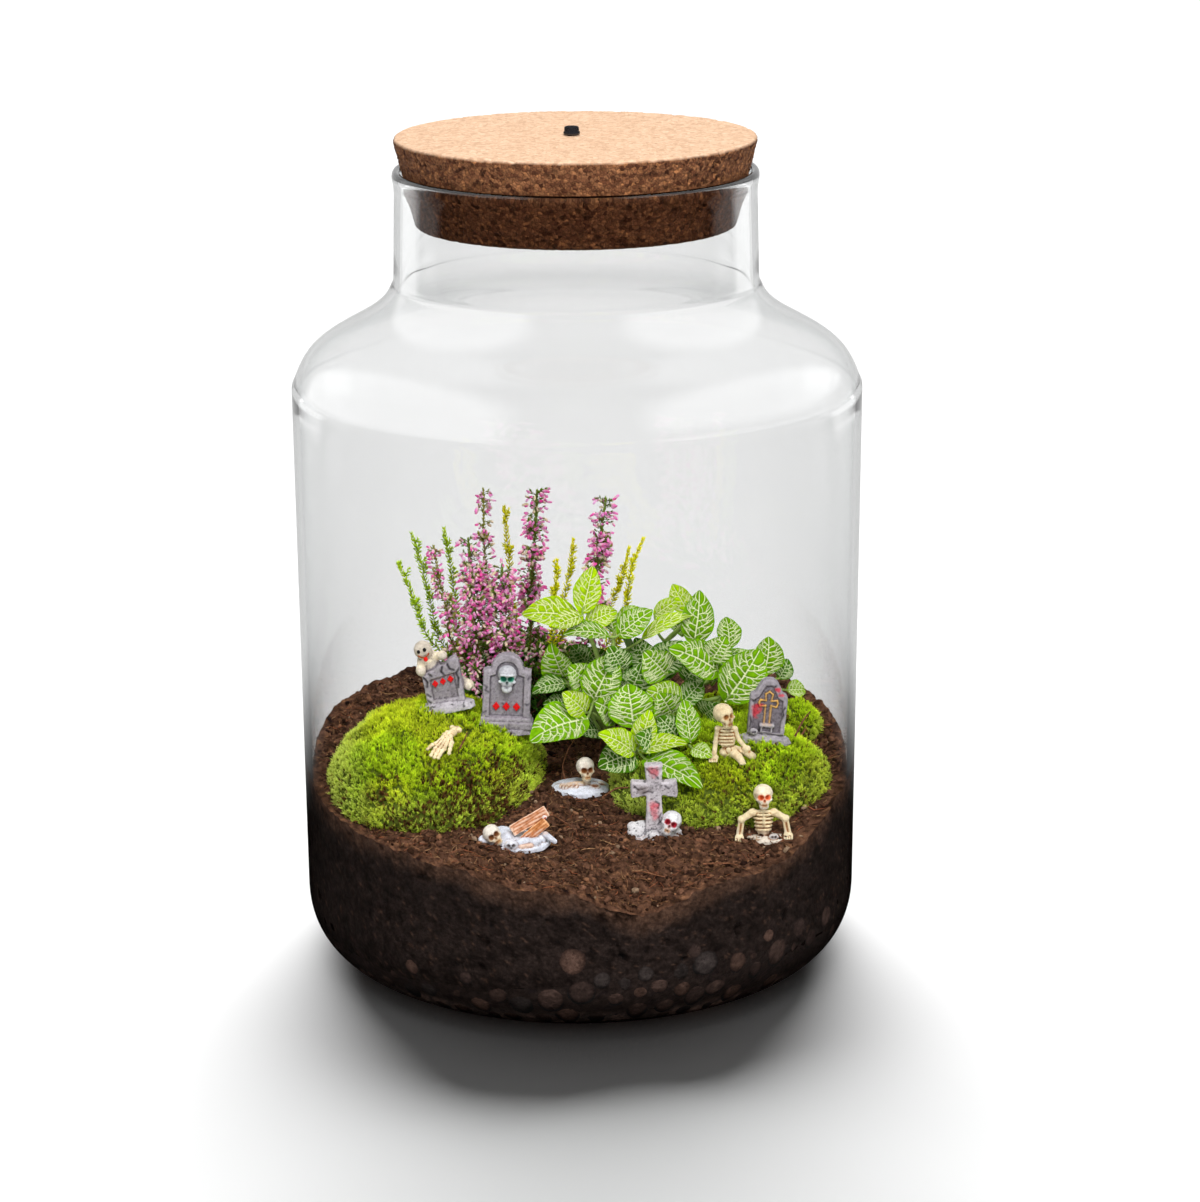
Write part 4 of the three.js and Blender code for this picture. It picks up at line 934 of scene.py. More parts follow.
def make_moss(name, mat, seed, shoots, nt, nr):
    m = MOSS[name]
    rng = np.random.default_rng(seed)

    def lumps(x, y):
        P = np.stack([x, y, 0 * x], -1)
        d, _, _ = cells3(P, 11, seed)
        return fbm(P, 13, seed + 1, 4, 0.55) * 2.3 + (0.55 - d) * 2.9

    V, F = polar_cap(m["c"][0], m["c"][1], lambda th: outline_r(th, m["r"]) * 0.985, lambda x, y: moss_z(x, y, m), nt, nr, 1.6, 6)
    V[:, 2] += lumps(V[:, 0], V[:, 1]) * np.clip((1.02 - moss_q(V[:, 0], V[:, 1], m)) * 4, 0, 1) - 1.1
    Pn, Nn = scatter(V, [f for f in F], shoots, rng)
    # a smooth direction at each shoot
    e = 0.8
    zx = (moss_z(Pn[:, 0] + e, Pn[:, 1], m) - moss_z(Pn[:, 0] - e, Pn[:, 1], m)) / (2 * e)
    zy = (moss_z(Pn[:, 0], Pn[:, 1] + e, m) - moss_z(Pn[:, 0], Pn[:, 1] - e, m)) / (2 * e)
    N = unit(np.stack([-np.clip(zx, -3, 3), -np.clip(zy, -3, 3), np.ones(len(Pn))], -1))
    axis = unit(N * 0.62 + np.array([0, 0, 0.75]) + rng.normal(0, 0.2, N.shape))
    q = moss_q(Pn[:, 0], Pn[:, 1], m)
    zone = fbm(Pn, 16, seed + 3, 3)
    steep = 1 - N[:, 2]
    front = smooth(-10, -45, Pn[:, 1] - m["c"][1]) * smooth(0.55, 0.95, q)
    bare = smooth(0.25, 0.6, noise3(Pn, 9, seed + 4)) * smooth(0.8, 0.97, q)
    tall = np.clip(1 + 0.45 * zone - 0.55 * bare + rng.normal(0, 0.22, len(Pn)), 0.3, 2.2)
    K = 8
    n = shoots
    U, W = frames_from(axis, rng)
    ang = (np.arange(K) * 2.4)[None] + rng.uniform(0, 6.28, (n, 1))
    rad = U[:, None] * np.cos(ang)[..., None] + W[:, None] * np.sin(ang)[..., None]
    h0 = (np.arange(K) / K)[None] * 1.25 * tall[:, None]
    base = Pn[:, None] + axis[:, None] * (h0[..., None] - 0.3)
    L = rng.uniform(1.5, 2.6, (n, K)) * tall[:, None] * np.linspace(1.1, 0.85, K)
    wid = rng.uniform(0.36, 0.56, (n, K))
    alpha = rng.uniform(0.15, 0.80, (n, K)) * np.linspace(1.25, 0.35, K)
    curl = rng.uniform(-0.1, 0.5, (n, K))
    # colours: deep green to yellow green, with dry brown shoots
    light = np.array([0.74, 0.93, 0.050])
    deep = np.array([0.46, 0.64, 0.020])
    olive = np.array([0.76, 0.80, 0.05])
    k = np.clip(0.55 + 0.75 * zone - 0.45 * front - 0.20 * steep + rng.normal(0, 0.16, n), 0, 1)[:, None]
    tipc = deep * (1 - k) + light * k
    o = (smooth(0.0, 0.6, noise3(Pn, 21, seed + 8)) * 0.6)[:, None]
    tipc = tipc * (1 - o) + olive * o
    rim = (smooth(0.78, 0.97, q) * 0.55)[:, None]
    tipc = tipc * (1 - rim) + np.array([0.80, 0.90, 0.18]) * rim
    clump, _, own = cells3(Pn * (1, 1, 0), 5.5, seed + 12)
    tipc = tipc * ((0.86 + 0.30 * own) * (1.12 - 0.30 * smooth(0.4, 0.9, clump)))[:, None] * (0.80 + 0.50 * rng.random((n, 1)))
    side_x, side_y = (Pn[:, 0] - m["c"][0]) / 48, (Pn[:, 1] - m["c"][1]) / 42
    pale = (smooth(0.45, 0.85, -side_x + 0.2 * zone) * smooth(0.55, 0.9, q) * 0.75)[:, None]
    tipc = tipc * (1 - pale) + np.array([0.82, 0.93, 0.24]) * pale
    worn = smooth(0.62, 0.95, 0.55 * side_x - 0.80 * side_y + 0.45 * noise3(Pn, 8, seed + 14)) * smooth(0.5, 0.75, q) * (0.75 if name == "moss_mound_left" else 0.12)
    brown = (rng.random(n) < 0.03 + 0.16 * bare + 0.66 * worn)[:, None]
    tipc = np.where(brown, np.array([0.17, 0.075, 0.032]) * rng.uniform(0.35, 1.7, (n, 1)), tipc)
    basec = tipc * np.array([0.40, 0.46, 0.28])
    flat = lambda a: a.reshape(-1, *a.shape[2:])
    Vn, Fn, Cn = needles(flat(base), spread(axis, K), flat(rad), L.ravel(), wid.ravel(), alpha.ravel(), curl.ravel(), spread(basec, K), spread(tipc, K))
    parts = Parts()
    parts.add(V, F, np.array([0.10, 0.135, 0.018]) * (1 + 0.5 * noise3(V, 2.2, seed + 6)[:, None]))
    parts.add(Vn, Fn, Cn)
    V2, F2, C2 = parts.out()
    mesh_piece({"moss_tuft_back": "moss_tuft"}.get(name, name.replace("_mound", "_cushion")), V2, F2, mat, [name], colour=np.clip(C2, 0.004, 1))


# ------------------------------------------------------------------------------------------ cork lid, button and lamp
def cork_material():
    m = Mat("agglomerated_cork")
    p = m.coords()
    jig = m.node("TexNoise", {"Vector": p, "Scale": 1 / 0.0022, "Detail": 3.0}).outputs["Color"]
    warp = m.node("VectorMath", {0: jig, 1: (0.0011, 0.0011, 0.0011)}, operation="MULTIPLY").outputs[0]
    p2 = m.node("VectorMath", {0: p, 1: warp}, operation="ADD").outputs[0]
    top = m.node("Attribute", attribute_name="sanded").outputs["Fac"]
    cavity = m.node("Attribute", attribute_name="cavity").outputs["Fac"]

    def grains(size, stops, dark, lo, hi):
        a = m.voronoi(p2, size)
        sep = m.node("SeparateColor", {0: a.outputs["Color"]}).outputs[0]
        body = m.ramp(sep, stops)
        e = m.voronoi(p2, size, "DISTANCE_TO_EDGE").outputs["Distance"]
        seam = m.ramp(e, [(lo, dark), (hi, 1.0)])
        return m.mix(1.0, body, seam, "MULTIPLY"), e
    side, e1 = grains(0.0015, [(0.0, (0.060, 0.020, 0.009)), (0.14, (0.135, 0.050, 0.023)), (0.45, (0.190, 0.076, 0.034)), (0.78, (0.240, 0.104, 0.047)),
                               (0.93, (0.36, 0.150, 0.060)), (1.0, (0.040, 0.014, 0.007))], 0.50, 0.0, 0.12)
    face, e2 = grains(0.0017, [(0.0, (0.460, 0.290, 0.182)), (0.3, (0.545, 0.358, 0.235)), (0.7, (0.595, 0.400, 0.270)), (1.0, (0.645, 0.448, 0.312))], 0.84, 0.0, 0.10)
    fine = m.ramp(m.noise(p, 0.0007, 5, 0.7), [(0.3, 0.62), (0.55, 1.0), (0.75, 1.35)])
    side = m.mix(1.0, side, fine, "MULTIPLY")
    # the part inside the neck is coloured darker: the mask is 1 above the lip and 0 below it
    above_lip = m.band(m.node("SeparateXYZ", {0: p}).outputs[2], 0.3475, 0.3520)
    side = m.mix(1.0, side, m.ramp(above_lip, [(0.0, (0.52, 0.47, 0.45)), (1.0, 1.0)]), "MULTIPLY")
    specks = m.ramp(m.noise(p, 0.0010, 4, 0.75), [(0.27, 0.74), (0.36, 1.0)])
    face = m.mix(1.0, face, specks, "MULTIPLY")
    col = m.mix(top, side, face)
    # dark joints between the granules, and painted shade in the pits where granules broke out
    col = m.mix(1.0, col, m.ramp(cavity, [(0.0, 1.0), (1.0, 0.35)]), "MULTIPLY")
    h = m.math("ADD", m.math("MULTIPLY", e1, m.math("MULTIPLY", m.math("SUBTRACT", 1.0, top), 2.0)), m.noise(p, 0.0006, 4, 0.7))
    return m.done(m.principled(Base_Color=col, Roughness=0.86, Specular_IOR_Level=0.25, Normal=m.bump(h, 0.00045, 0.8)))


def make_cork():
    top, bottom = LID_TOP_Z, LID_BOTTOM_Z
    hole, lamp = 2.35, LAMP_R + GAP
    ceiling = bottom + LAMP_DEPTH + GAP
    prof = [(hole, top)] + densify([(hole + 0.3, top), (76.9, top)], 1.0) + [(77.5, top - 0.25), (77.95, top - 0.8)] \
        + densify([(78.1, top - 1.5), (LID_BOTTOM_R + 0.25, bottom + 1.4)], 0.62) + [(LID_BOTTOM_R - 0.2, bottom + 0.7), (LID_BOTTOM_R - 0.9, bottom + 0.15)] \
        + densify([(LID_BOTTOM_R - 1.6, bottom), (lamp + 0.3, bottom)], 2.4) + densify([(lamp, bottom + 0.3), (lamp, ceiling)], 2.0) \
        + densify([(lamp - 0.5, ceiling), (hole, ceiling)], 3.0) + densify([(hole, ceiling), (hole, top)], 4.0)[1:-1]
    prof = np.array(prof)
    n = 620
    V, F = lathe(prof, n)
    idx = np.tile(np.arange(len(prof)), n)
    r, z = prof[idx, 0], prof[idx, 1]
    # the bores sit a little off the middle
    shift = 1 - smooth(24, 62, r)
    P = V.copy()
    d1, d2, pick = cells3(P, 2.0, 61)
    e = d2 - d1
    is_top = (z > top - 0.05) & (r > 4)
    side = smooth(top - 0.3, top - 2.5, z) * (r > 60)
    seam = 1 - smooth(0.02, 0.22, e)
    f1, f2, fp = cells3(P, 1.7, 66)
    chips = smooth(0.86, 0.93, pick) * smooth(0.02, 0.2, e)
    depth_side = -0.35 * seam - 1.05 * chips + 0.45 * (pick - 0.5) + 0.22 * noise3(P, 1.1, 62) + 0.2 * (0.5 - f1)
    depth_top = -0.10 * (1 - smooth(0.0, 0.2, f2 - f1)) - 0.28 * smooth(0.93, 0.97, fp) + 0.05 * noise3(P, 1.0, 63) + 0.10 * noise3(P, 14, 64)
    radial = np.stack([P[:, 0], P[:, 1], 0 * r], -1) / np.maximum(np.hypot(P[:, 0], P[:, 1]), 1e-6)[:, None]
    V = V + radial * (depth_side * side)[:, None]
    V[:, 2] += np.where(is_top, depth_top * (1 - side), 0)
    edge = np.exp(-((r - 77.6) ** 2 + (z - top + 0.4) ** 2) / 1.2) * smooth(0.2, 0.6, noise3(P, 3.2, 65))
    V[:, :2] *= (1 - 0.9 * edge / np.maximum(r, 1))[:, None]
    V[:, 2] -= 0.7 * edge
    V[:, 0] += LAMP_X * shift
    V[:, 1] += LAMP_Y * shift
    # dark joints between the granules, and painted shade in the pits where granules broke out
    cavity = np.clip((seam * 0.5 + chips * 0.75) * side, 0, 1)
    sanded = np.clip(smooth(top - 1.3, top - 0.25, z) + (z < bottom + 0.3) * 0.5, 0, 1)
    mesh_piece("cork_stopper", V, F, cork_material(), ["cork_lid"], attrs={"sanded": sanded, "cavity": cavity})


def plastic(name, colour, rough, grain=0.0006, depth=0.00002, coat=0.0):
    m = Mat(name)
    p = m.coords()
    n = m.noise(p, 0.004, 4)
    col = m.mix(n, [c * 0.85 for c in colour], [c * 1.15 for c in colour])
    r = m.ramp(m.noise(p, 0.0025, 3), [(0.3, rough * 0.85), (0.7, min(1, rough * 1.15))])
    return m.done(m.principled(Base_Color=col, Roughness=r, Coat_Weight=coat, Normal=m.bump(m.noise(p, grain, 3), depth, 0.6)))


def make_lamp():
    black = plastic("black_plastic", (0.012, 0.012, 0.014), 0.28, coat=0.3)
    top = LID_TOP_Z
    prof = [(0, 333), (1.9, 333), (1.9, top + 0.5), (3.0, top + 0.42), (3.45, top + 0.42), (3.58, top + 0.6), (3.58, top + 1.5), (3.3, top + 1.62),
            (3.22, top + 1.8), (3.22, top + 3.1), (3.05, top + 3.55), (2.7, top + 3.8), (2.1, top + 3.9), (1.0, top + 3.98), (0, top + 4.0)]
    prof[0], prof[1] = (0, LID_BOTTOM_Z + LAMP_DEPTH + GAP), (1.9, LID_BOTTOM_Z + LAMP_DEPTH + GAP)
    V, F = lathe(prof, 64)
    V = V + (LAMP_X, LAMP_Y, 0)
    mesh_piece("push_button", V, F, black, ["lid_button"])
    b = LID_BOTTOM_Z
    prof = [(0, b + 14), (21.2, b + 14), (21.9, b + 13.4), (21.9, b - 0.3), (24.0, b - 0.45), (24.3, b - 0.8), (24.3, b - 1.4), (23.8, b - 1.8),
            (20.2, b - 1.8), (19.3, b - 1.55), (19.05, b - 1.2), (19.05, b + 1), (17.2, b + 1.2), (14.6, b + 11.6), (0, b + 12)]
    V, F = lathe(prof, 96)
    mesh_piece("lamp_can", V + (LAMP_X, LAMP_Y, 0), F, plastic("lamp_plastic", (0.02, 0.02, 0.022), 0.45), ["lamp_housing"])
    m = Mat("frosted_lens")
    p = m.coords()
    h = m.math("ADD", m.voronoi(p, 0.0022).outputs["Distance"], m.noise(p, 0.0005, 3))
    lens = m.done(m.principled(Base_Color=m.ramp(m.noise(p, 0.003, 2), [(0.3, (0.82, 0.82, 0.79)), (0.7, (0.88, 0.88, 0.86))]), Roughness=0.4,
                               Subsurface_Weight=0.2, Subsurface_Scale=0.002, Normal=m.bump(h, 0.0003, 0.7)))
    R = LAMP_R - 3 - GAP
    prof = [(0, b - 0.7)] + [(r, b - 0.7 - 0.45 * math.exp(-((r % 4.6 - 2.3) / 1.2) ** 2)) for r in np.arange(0.6, 17.6, 0.5)] + [(18.2, b - 1.1), (R, b - 0.8),
            (R, b + 0.6), (0, b + 0.6)]
    V, F = lathe(prof, 96)
    mesh_piece("lamp_glass", V + (LAMP_X, LAMP_Y, 0), F, lens, ["lamp_lens"])


# ------------------------------------------------------------------------------------------ nerve plant
ROOT = (15, 12, 76)
STEM_ENDS = {
    "a": (1.6, 8.5, 146), "b": (15.6, 5.5, 138.6), "c": (50, 22, 141), "d": (52.6, 15, 130.4), "e": (76, 20, 118),
    "f": (65.2, 2, 111), "g": (-4.6, 12, 113), "h": (4.6, -7, 107), "i": (25.4, -25, 97.4), "j": (47.4, -14, 102.6)}
# base, tip, width, facing direction, stem, tint (0 yellow green, 1 middle, 2 dark, which is painted shade for leaves
# that lie in shadow, 3 pale)
LEAVES = [
    (1.4, 8.0, 149.0, 6.3, 14.0, 168.5, 10.9, 0.01, -0.96, 0.29, "a", 0),
    (0.2, 8.0, 147.0, -24.1, 6.0, 150.1, 13.3, 0.15, -0.71, 0.69, "a", 0),
    (2.9, 8.0, 144.1, 16.6, 12.0, 149.0, 9.3, 0.03, -0.82, 0.57, "a", 0),
    (17.5, 4.0, 139.8, 32.4, 6.0, 150.7, 10.8, -0.19, -0.89, 0.42, "b", 1),
    (13.8, 4.0, 139.8, -5.7, -2.0, 143.1, 9.7, 0.28, -0.43, 0.86, "b", 1),
    (51.1, 24.0, 143.3, 43.5, 30.0, 155.4, 8.8, -0.15, -0.92, 0.37, "c", 0),
    (52.4, 14.0, 131.6, 55.3, 20.0, 154.7, 13.3, 0.10, -0.97, 0.24, "d", 1),
    (28.5, 8.0, 136.7, 50.8, 14.0, 146.4, 7.2, -0.20, -0.55, 0.81, "b", 0),
    (69.4, 22.0, 127.3, 68.2, 30.0, 139.6, 10.1, 0.17, -0.82, 0.55, "e", 1),
    (85.1, 18.0, 115.9, 87.8, 24.0, 131.5, 13.6, 0.32, -0.90, 0.29, "e", 1),
    (66.1, -2.0, 109.9, 81.6, 4.0, 131.4, 18.8, 0.04, -0.97, 0.24, "f", 1),
    (64.2, 4.0, 122.0, 42.3, -4.0, 135.9, 15.0, 0.54, -0.73, 0.42, "f", 1),
    (-6.3, 12.0, 115.5, -12.6, 8.0, 133.7, 13.4, -0.15, -0.95, -0.26, "g", 1),
    (5.7, -4.0, 109.8, 15.6, 2.0, 130.8, 15.7, -0.15, -0.93, 0.34, "h", 1),
    (3.0, -10.0, 108.0, -6.7, -14.0, 118.5, 10.2, 0.45, -0.89, 0.08, "h", 0),
    (3.8, -12.0, 106.0, -20.8, -24.0, 100.9, 19.3, 0.09, -0.53, 0.84, "h", 1),
    (24.2, -16.0, 102.6, 21.9, -10.0, 120.5, 17.9, -0.03, -0.95, 0.31, "i", 1),
    (25.9, -26.0, 96.1, 31.1, -24.0, 112.9, 9.9, 0.03, -0.99, 0.11, "i", 0),
    (24.6, -28.0, 95.2, 9.5, -34.0, 106.2, 10.9, 0.58, -0.69, 0.43, "i", 0),
    (26.2, -24.0, 93.4, 9.2, -32.0, 90.6, 15.1, 0.20, -0.68, 0.71, "i", 2),
    (26.1, -28.0, 95.9, 46.4, -32.0, 101.1, 9.1, -0.31, -0.51, 0.81, "i", 0),
    (28.5, -30.0, 93.2, 51.7, -53.0, 89.2, 13.6, -0.24, -0.40, 0.88, "i", 1),
    (46.0, -6.0, 110.7, 31.4, -10.0, 118.4, 12.6, 0.40, -0.86, 0.31, "j", 3),
    (49.3, -29.0, 100.0, 46.6, -24.0, 117.7, 9.6, 0.10, -0.95, 0.28, "j", 1),
]
MORE_LEAVES = [
    (1.8, 6, 148.9, -11, 0, 145.1, 9.4, 0.01, -0.55, 0.84, "a", 0), (17.7, 18, 140.8, 27.2, 22, 147.4, 7.6, 0.06, -0.89, 0.46, "b", 3),
    (34.3, 22, 143.4, 44.9, 26, 150.0, 6.9, 0.12, -0.92, 0.37, "c", 0), (49.7, -34, 99.2, 57.7, -41, 98.0, 7.2, -0.35, -0.53, 0.77, "j", 3),
    (44.9, -25, 100.1, 36.0, -22, 109.5, 11.0, 0.0, -0.95, 0.30, "j", 2), (45.9, -4, 109.7, 55.4, 2, 118.1, 9.9, 0.15, -0.88, 0.45, "j", 2),
    (13.7, 6, 105.0, 22.8, 10, 123.4, 12.6, -0.16, -0.94, 0.29, "h", 2), (-5.7, 6, 116.6, -20.6, 0, 114.8, 9.5, 0.10, -0.50, 0.86, "g", 2),
    (37.5, 8, 116.3, 38.8, 12, 132.1, 12.5, -0.01, -0.97, 0.25, "j", 2), (3.8, 16, 123.1, -3.1, 18, 130.4, 8.8, 0.02, -0.96, 0.28, "g", 2),
    (-3.9, 4, 105.4, -15.7, 0, 108.8, 9.6, 0.39, -0.50, 0.77, "g", 2), (96.8, 30, 104.4, 106.1, 34, 103.0, 7.8, 0.38, -0.64, 0.67, "e", 3),
    (92.5, 24, 111.8, 97.1, 28, 119.8, 8.2, 0.33, -0.91, 0.26, "e", 2),
    # seen through the gaps and from the sides and the back
    (24, 14, 118, 18, 26, 136, 13, 0.0, 0.55, 0.84, "h", 2), (34, 18, 112, 46, 34, 124, 14, 0.25, 0.55, 0.80, "j", 1),
    (58, 20, 118, 66, 40, 124, 13, 0.2, 0.5, 0.84, "e", 1), (10, 20, 116, 2, 36, 124, 12, -0.3, 0.6, 0.75, "g", 2),
    (48, 26, 132, 40, 42, 138, 11, -0.2, 0.55, 0.8, "c", 1), (16, 14, 138, 12, 28, 144, 10, -0.1, 0.6, 0.8, "b", 1),
    (30, -2, 104, 30, -8, 116, 12, 0.1, -0.9, 0.4, "i", 2), (56, -4, 104, 62, -12, 112, 11, 0.2, -0.8, 0.5, "f", 2),
    (22, 0, 112, 28, -4, 128, 13, 0.1, -0.93, 0.32, "h", 2), (48, 4, 118, 56, 2, 130, 12, 0.1, -0.93, 0.34, "j", 2),
    (32, 8, 122, 26, 10, 136, 11, -0.1, -0.92, 0.36, "b", 2), (10, 0, 96, 0, -8, 98, 11, 0.2, -0.6, 0.77, "h", 2),
    (40, -8, 98, 52, -16, 96, 11, 0.2, -0.6, 0.77, "j", 2), (78, 24, 116, 70, 40, 122, 12, -0.1, 0.5, 0.85, "e", 1),
    (62, 10, 116, 74, 16, 126, 12, 0.1, -0.9, 0.4, "e", 2), (0, 14, 108, -8, 24, 118, 11, -0.3, 0.4, 0.85, "g", 1),
    # filling the middle
    (40, 0, 122, 30, -4, 134, 15, -0.05, -0.95, 0.3, "b", 1), (36, 2, 126, 46, -2, 138, 14, 0.12, -0.93, 0.33, "c", 2), (18, -8, 106, 8, -14, 114, 13, 0.1, -0.9, 0.42, "i", 1),
    (42, -14, 108, 36, -18, 119, 13, 0.0, -0.94, 0.32, "j", 1), (60, 2, 128, 66, 2, 139, 12, 0.1, -0.93, 0.35, "e", 1),
    (4, 2, 118, -4, -2, 127, 12, 0.05, -0.93, 0.36, "g", 1), (20, 0, 124, 14, -2, 136, 12, 0.0, -0.94, 0.33, "b", 2),
    (36, -24, 96, 26, -30, 104, 12, 0.1, -0.85, 0.5, "i", 2), (-2, -4, 100, -10, -12, 108, 12, 0.1, -0.85, 0.5, "g", 2),
]


def leaf_profile(u):
    return np.sin(math.pi * np.clip(u, 0, 1) ** 0.86) ** 0.72


def vein_lines(L, W, rng):
    """The veins of a leaf in its own plane, in millimetres: lines of points, each with a width at either end."""
    half = lambda u: W / 2 * leaf_profile(np.asarray(u, float))
    k = 0.60 * max(0.62, min(1.15, W / 16))
    lines = [(np.array([(0, 0), (0.5 * L, 0.012 * W), (0.97 * L, 0)]), 1.0 * k, 0.36 * k)]
    pairs = 5 if W < 10.5 else 6 if W < 16 else 7
    t = np.linspace(0, 1, 9)
    for side in (-1, 1):
        starts = 0.05 + 0.80 * (np.arange(pairs) + (0.0 if side > 0 else 0.42) + rng.uniform(-0.1, 0.1, pairs)) / pairs
        curves = []
        for i, u0 in enumerate(starts):
            rise = (0.20 + 0.10 * rng.random()) * (1 - 0.35 * u0)
            u = u0 + rise * (0.45 * t + 0.55 * t ** 1.8)
            v = side * 0.93 * t ** 0.92 * half(np.minimum(u, 0.985))
            c = np.stack([u * L, v], -1)
            c += np.stack([noise3(np.stack([t * 3 + 9 * i, t * 0 + side, t * 0 + L], -1), 1.0, 5), noise3(np.stack([t * 3 + 9 * i, t * 0 + side, t * 0 + W], -1), 1.0, 6)], -1) * 0.022 * W * (t * (1 - t) * 4)[:, None]
            curves.append(c)
            w0 = (0.64 - 0.14 * u0) * k
            lines.append((c, w0, 0.27 * k))
            for at, out, rise2, end in ((0.34, 0.86, 0.02, 0.9), (0.60, 0.9, 0.11, 0.9)):
                j = int(at * 8)
                s = c[j]
                su = s[0] / L
                e_u = min(0.975, su + rise2 + 0.06 * rng.random())
                e_v = side * out * float(half(e_u))
                if abs(e_v) > abs(s[1]) + 0.05 * W:
                    midp = (s + (e_u * L, e_v)) / 2 + ((-0.02 if at < 0.5 else 0.025) * L, 0)
                    lines.append((spline([s, midp, (e_u * L, e_v)], 4), 0.36 * k, 0.2 * k))
        for a, b in zip(curves[:-1], curves[1:]):
            for at in (0.30, 0.52, 0.74):
                if rng.random() < 0.62:
                    i, j = int(at * 8), max(1, int(at * 8) - 1)
                    s, e = a[i], b[j]
                    midp = (s + e) / 2 + (0, side * 0.035 * W * rng.uniform(0.2, 1.4))
                    lines.append((spline([s, midp, e], 3), 0.23 * k, 0.18 * k))
    return lines


def vein_field(Q, lines):
    """How much of a vein each point is (0..1), and its distance from the nearest vein."""
    mask, near = np.zeros(len(Q)), np.full(len(Q), 9.0)
    for pts, w0, w1 in lines:
        n = len(pts) - 1
        for i in range(n):
            a, b = pts[i], pts[i + 1]
            ab = b - a
            t = np.clip(((Q - a) @ ab) / max(ab @ ab, 1e-9), 0, 1)
            d = np.hypot(*(Q - a - t[:, None] * ab).T)
            w = (w0 + (w1 - w0) * (i + t) / n) / 2
            mask = np.maximum(mask, 1 - smooth(w - 0.05, w + 0.12, d))
            near = np.minimum(near, np.maximum(d - w, 0))
    return mask, near


# the third blade and vein colours are darker copies, painted shade for the leaves that lie in shadow
LAMINA = [np.array([0.37, 0.58, 0.005]), np.array([0.170, 0.385, 0.004]), np.array([0.066, 0.200, 0.005]), np.array([0.26, 0.46, 0.010])]
VEIN = [np.array([0.95, 0.98, 0.52]), np.array([0.95, 0.98, 0.62]), np.array([0.80, 0.90, 0.52]), np.array([0.88, 0.94, 0.56])]


def leaf_mesh(row, rng, parts, NU=108, NV=68):
    B, T = np.array(row[0:3], float), np.array(row[3:6], float)
    W, n = row[6] * 1.17, np.array(row[7:10], float)
    D = (T - B) * 1.06
    L = float(np.linalg.norm(D))
    d = D / L
    n = unit(n - d * (n @ d))
    w = np.cross(d, n)
    u = np.linspace(0.0, 1.0, NU) ** 0.97
    v = np.linspace(-1, 1, NV)
    Ug, Vg = np.meshgrid(u, v, indexing="ij")
    Uf, Vf = Ug.ravel(), Vg.ravel()
    prof = leaf_profile(Uf)
    ph = rng.uniform(0, 6.28, 4)
    edge = 1 + 0.018 * np.sin(Uf * 17 + ph[0]) * np.abs(Vf) + 0.006 * np.sin(Uf * 31 + ph[1])
    across = Vf * W / 2 * prof * edge
    along = Uf * L + 0.012 * L * np.sin(Uf * 9 + ph[2])*0
    mask, near = vein_field(np.stack([along, across], -1), vein_lines(L, W, rng))
    quilt = smooth(0.0, 0.85, near)
    wave = 0.020 * W * np.sin(Uf * 11 + ph[2] + np.sign(Vf) * 0.7) * np.abs(Vf) ** 2.2 * smooth(0.05, 0.3, Uf) * (1 - smooth(0.93, 1, Uf))
    fold = 0.10 * W * np.abs(Vf) ** 1.7 * prof - 0.03 * W * np.exp(-(across / (0.06 * W)) ** 2) * prof
    tip = -0.05 * L * smooth(0.72, 1.0, Uf) ** 2
    lift = 0.10 * L * np.sin(math.pi * Uf) + fold + wave + tip + (0.30 * quilt - 0.10 * mask) * min(1, W / 14) * smooth(0, 0.06, Uf)
    twist = 0.10 * (rng.random() - 0.5) * Uf * across
    top = B + d * along[:, None] + w * across[:, None] + n * (lift + twist)[:, None]
    k = row[11]
    jitter = rng.uniform(0.9, 1.12)
    base = LAMINA[k] * jitter
    P3 = np.stack([along, across, np.full(len(along), rng.uniform(0, 99))], -1)
    shade = 1 + 0.16 * noise3(P3, 3.2, 15) + 0.10 * noise3(P3, 1.1, 16)
    # painted shade: the blade is coloured darker in the creases along the veins and lighter on the bulges between them
    lam = base * shade[:, None] * (0.74 + 0.34 * quilt)[:, None]
    lam = lam * (1 + 0.18 * smooth(0.75, 1, np.abs(Vf)))[:, None]
    C = lam * (1 - mask[:, None]) + VEIN[k] * (0.94 + 0.06 * noise3(P3, 2, 18))[:, None] * mask[:, None]
    halo = (np.exp(-(near / 0.22) ** 2) * (1 - mask) * 0.08)[:, None]
    C = C * (1 - halo) + (VEIN[k] * 0.55 + base * 0.6) * halo
    g = grid_faces(NU, NV)
    parts.add(top, [g], np.clip(C, 0.004, 1))
    # under side, coarser, meeting the top at its edge
    iu, iv = np.arange(0, NU, 2), np.arange(0, NV, 2)
    iu = np.append(iu, NU - 1) if iu[-1] != NU - 1 else iu
    iv = np.append(iv, NV - 1) if iv[-1] != NV - 1 else iv
    pick = (iu[:, None] * NV + iv[None]).ravel()
    thick = 0.42 * (1 - Vf ** 6) * smooth(0, 0.03, Uf) * (1 - smooth(0.985, 1, Uf))
    under = top[pick] - n * (thick[pick] + 0.18 * mask[pick])[:, None]
    CU = (base * 0.55 + np.array([0.16, 0.24, 0.10])) * (1 - 0.35 * mask[pick][:, None]) + VEIN[3] * 0.30 * mask[pick][:, None]
    parts.add(under, [grid_faces(len(iu), len(iv))[:, ::-1]], np.clip(CU, 0.004, 1))
    return B, L, d, n, w


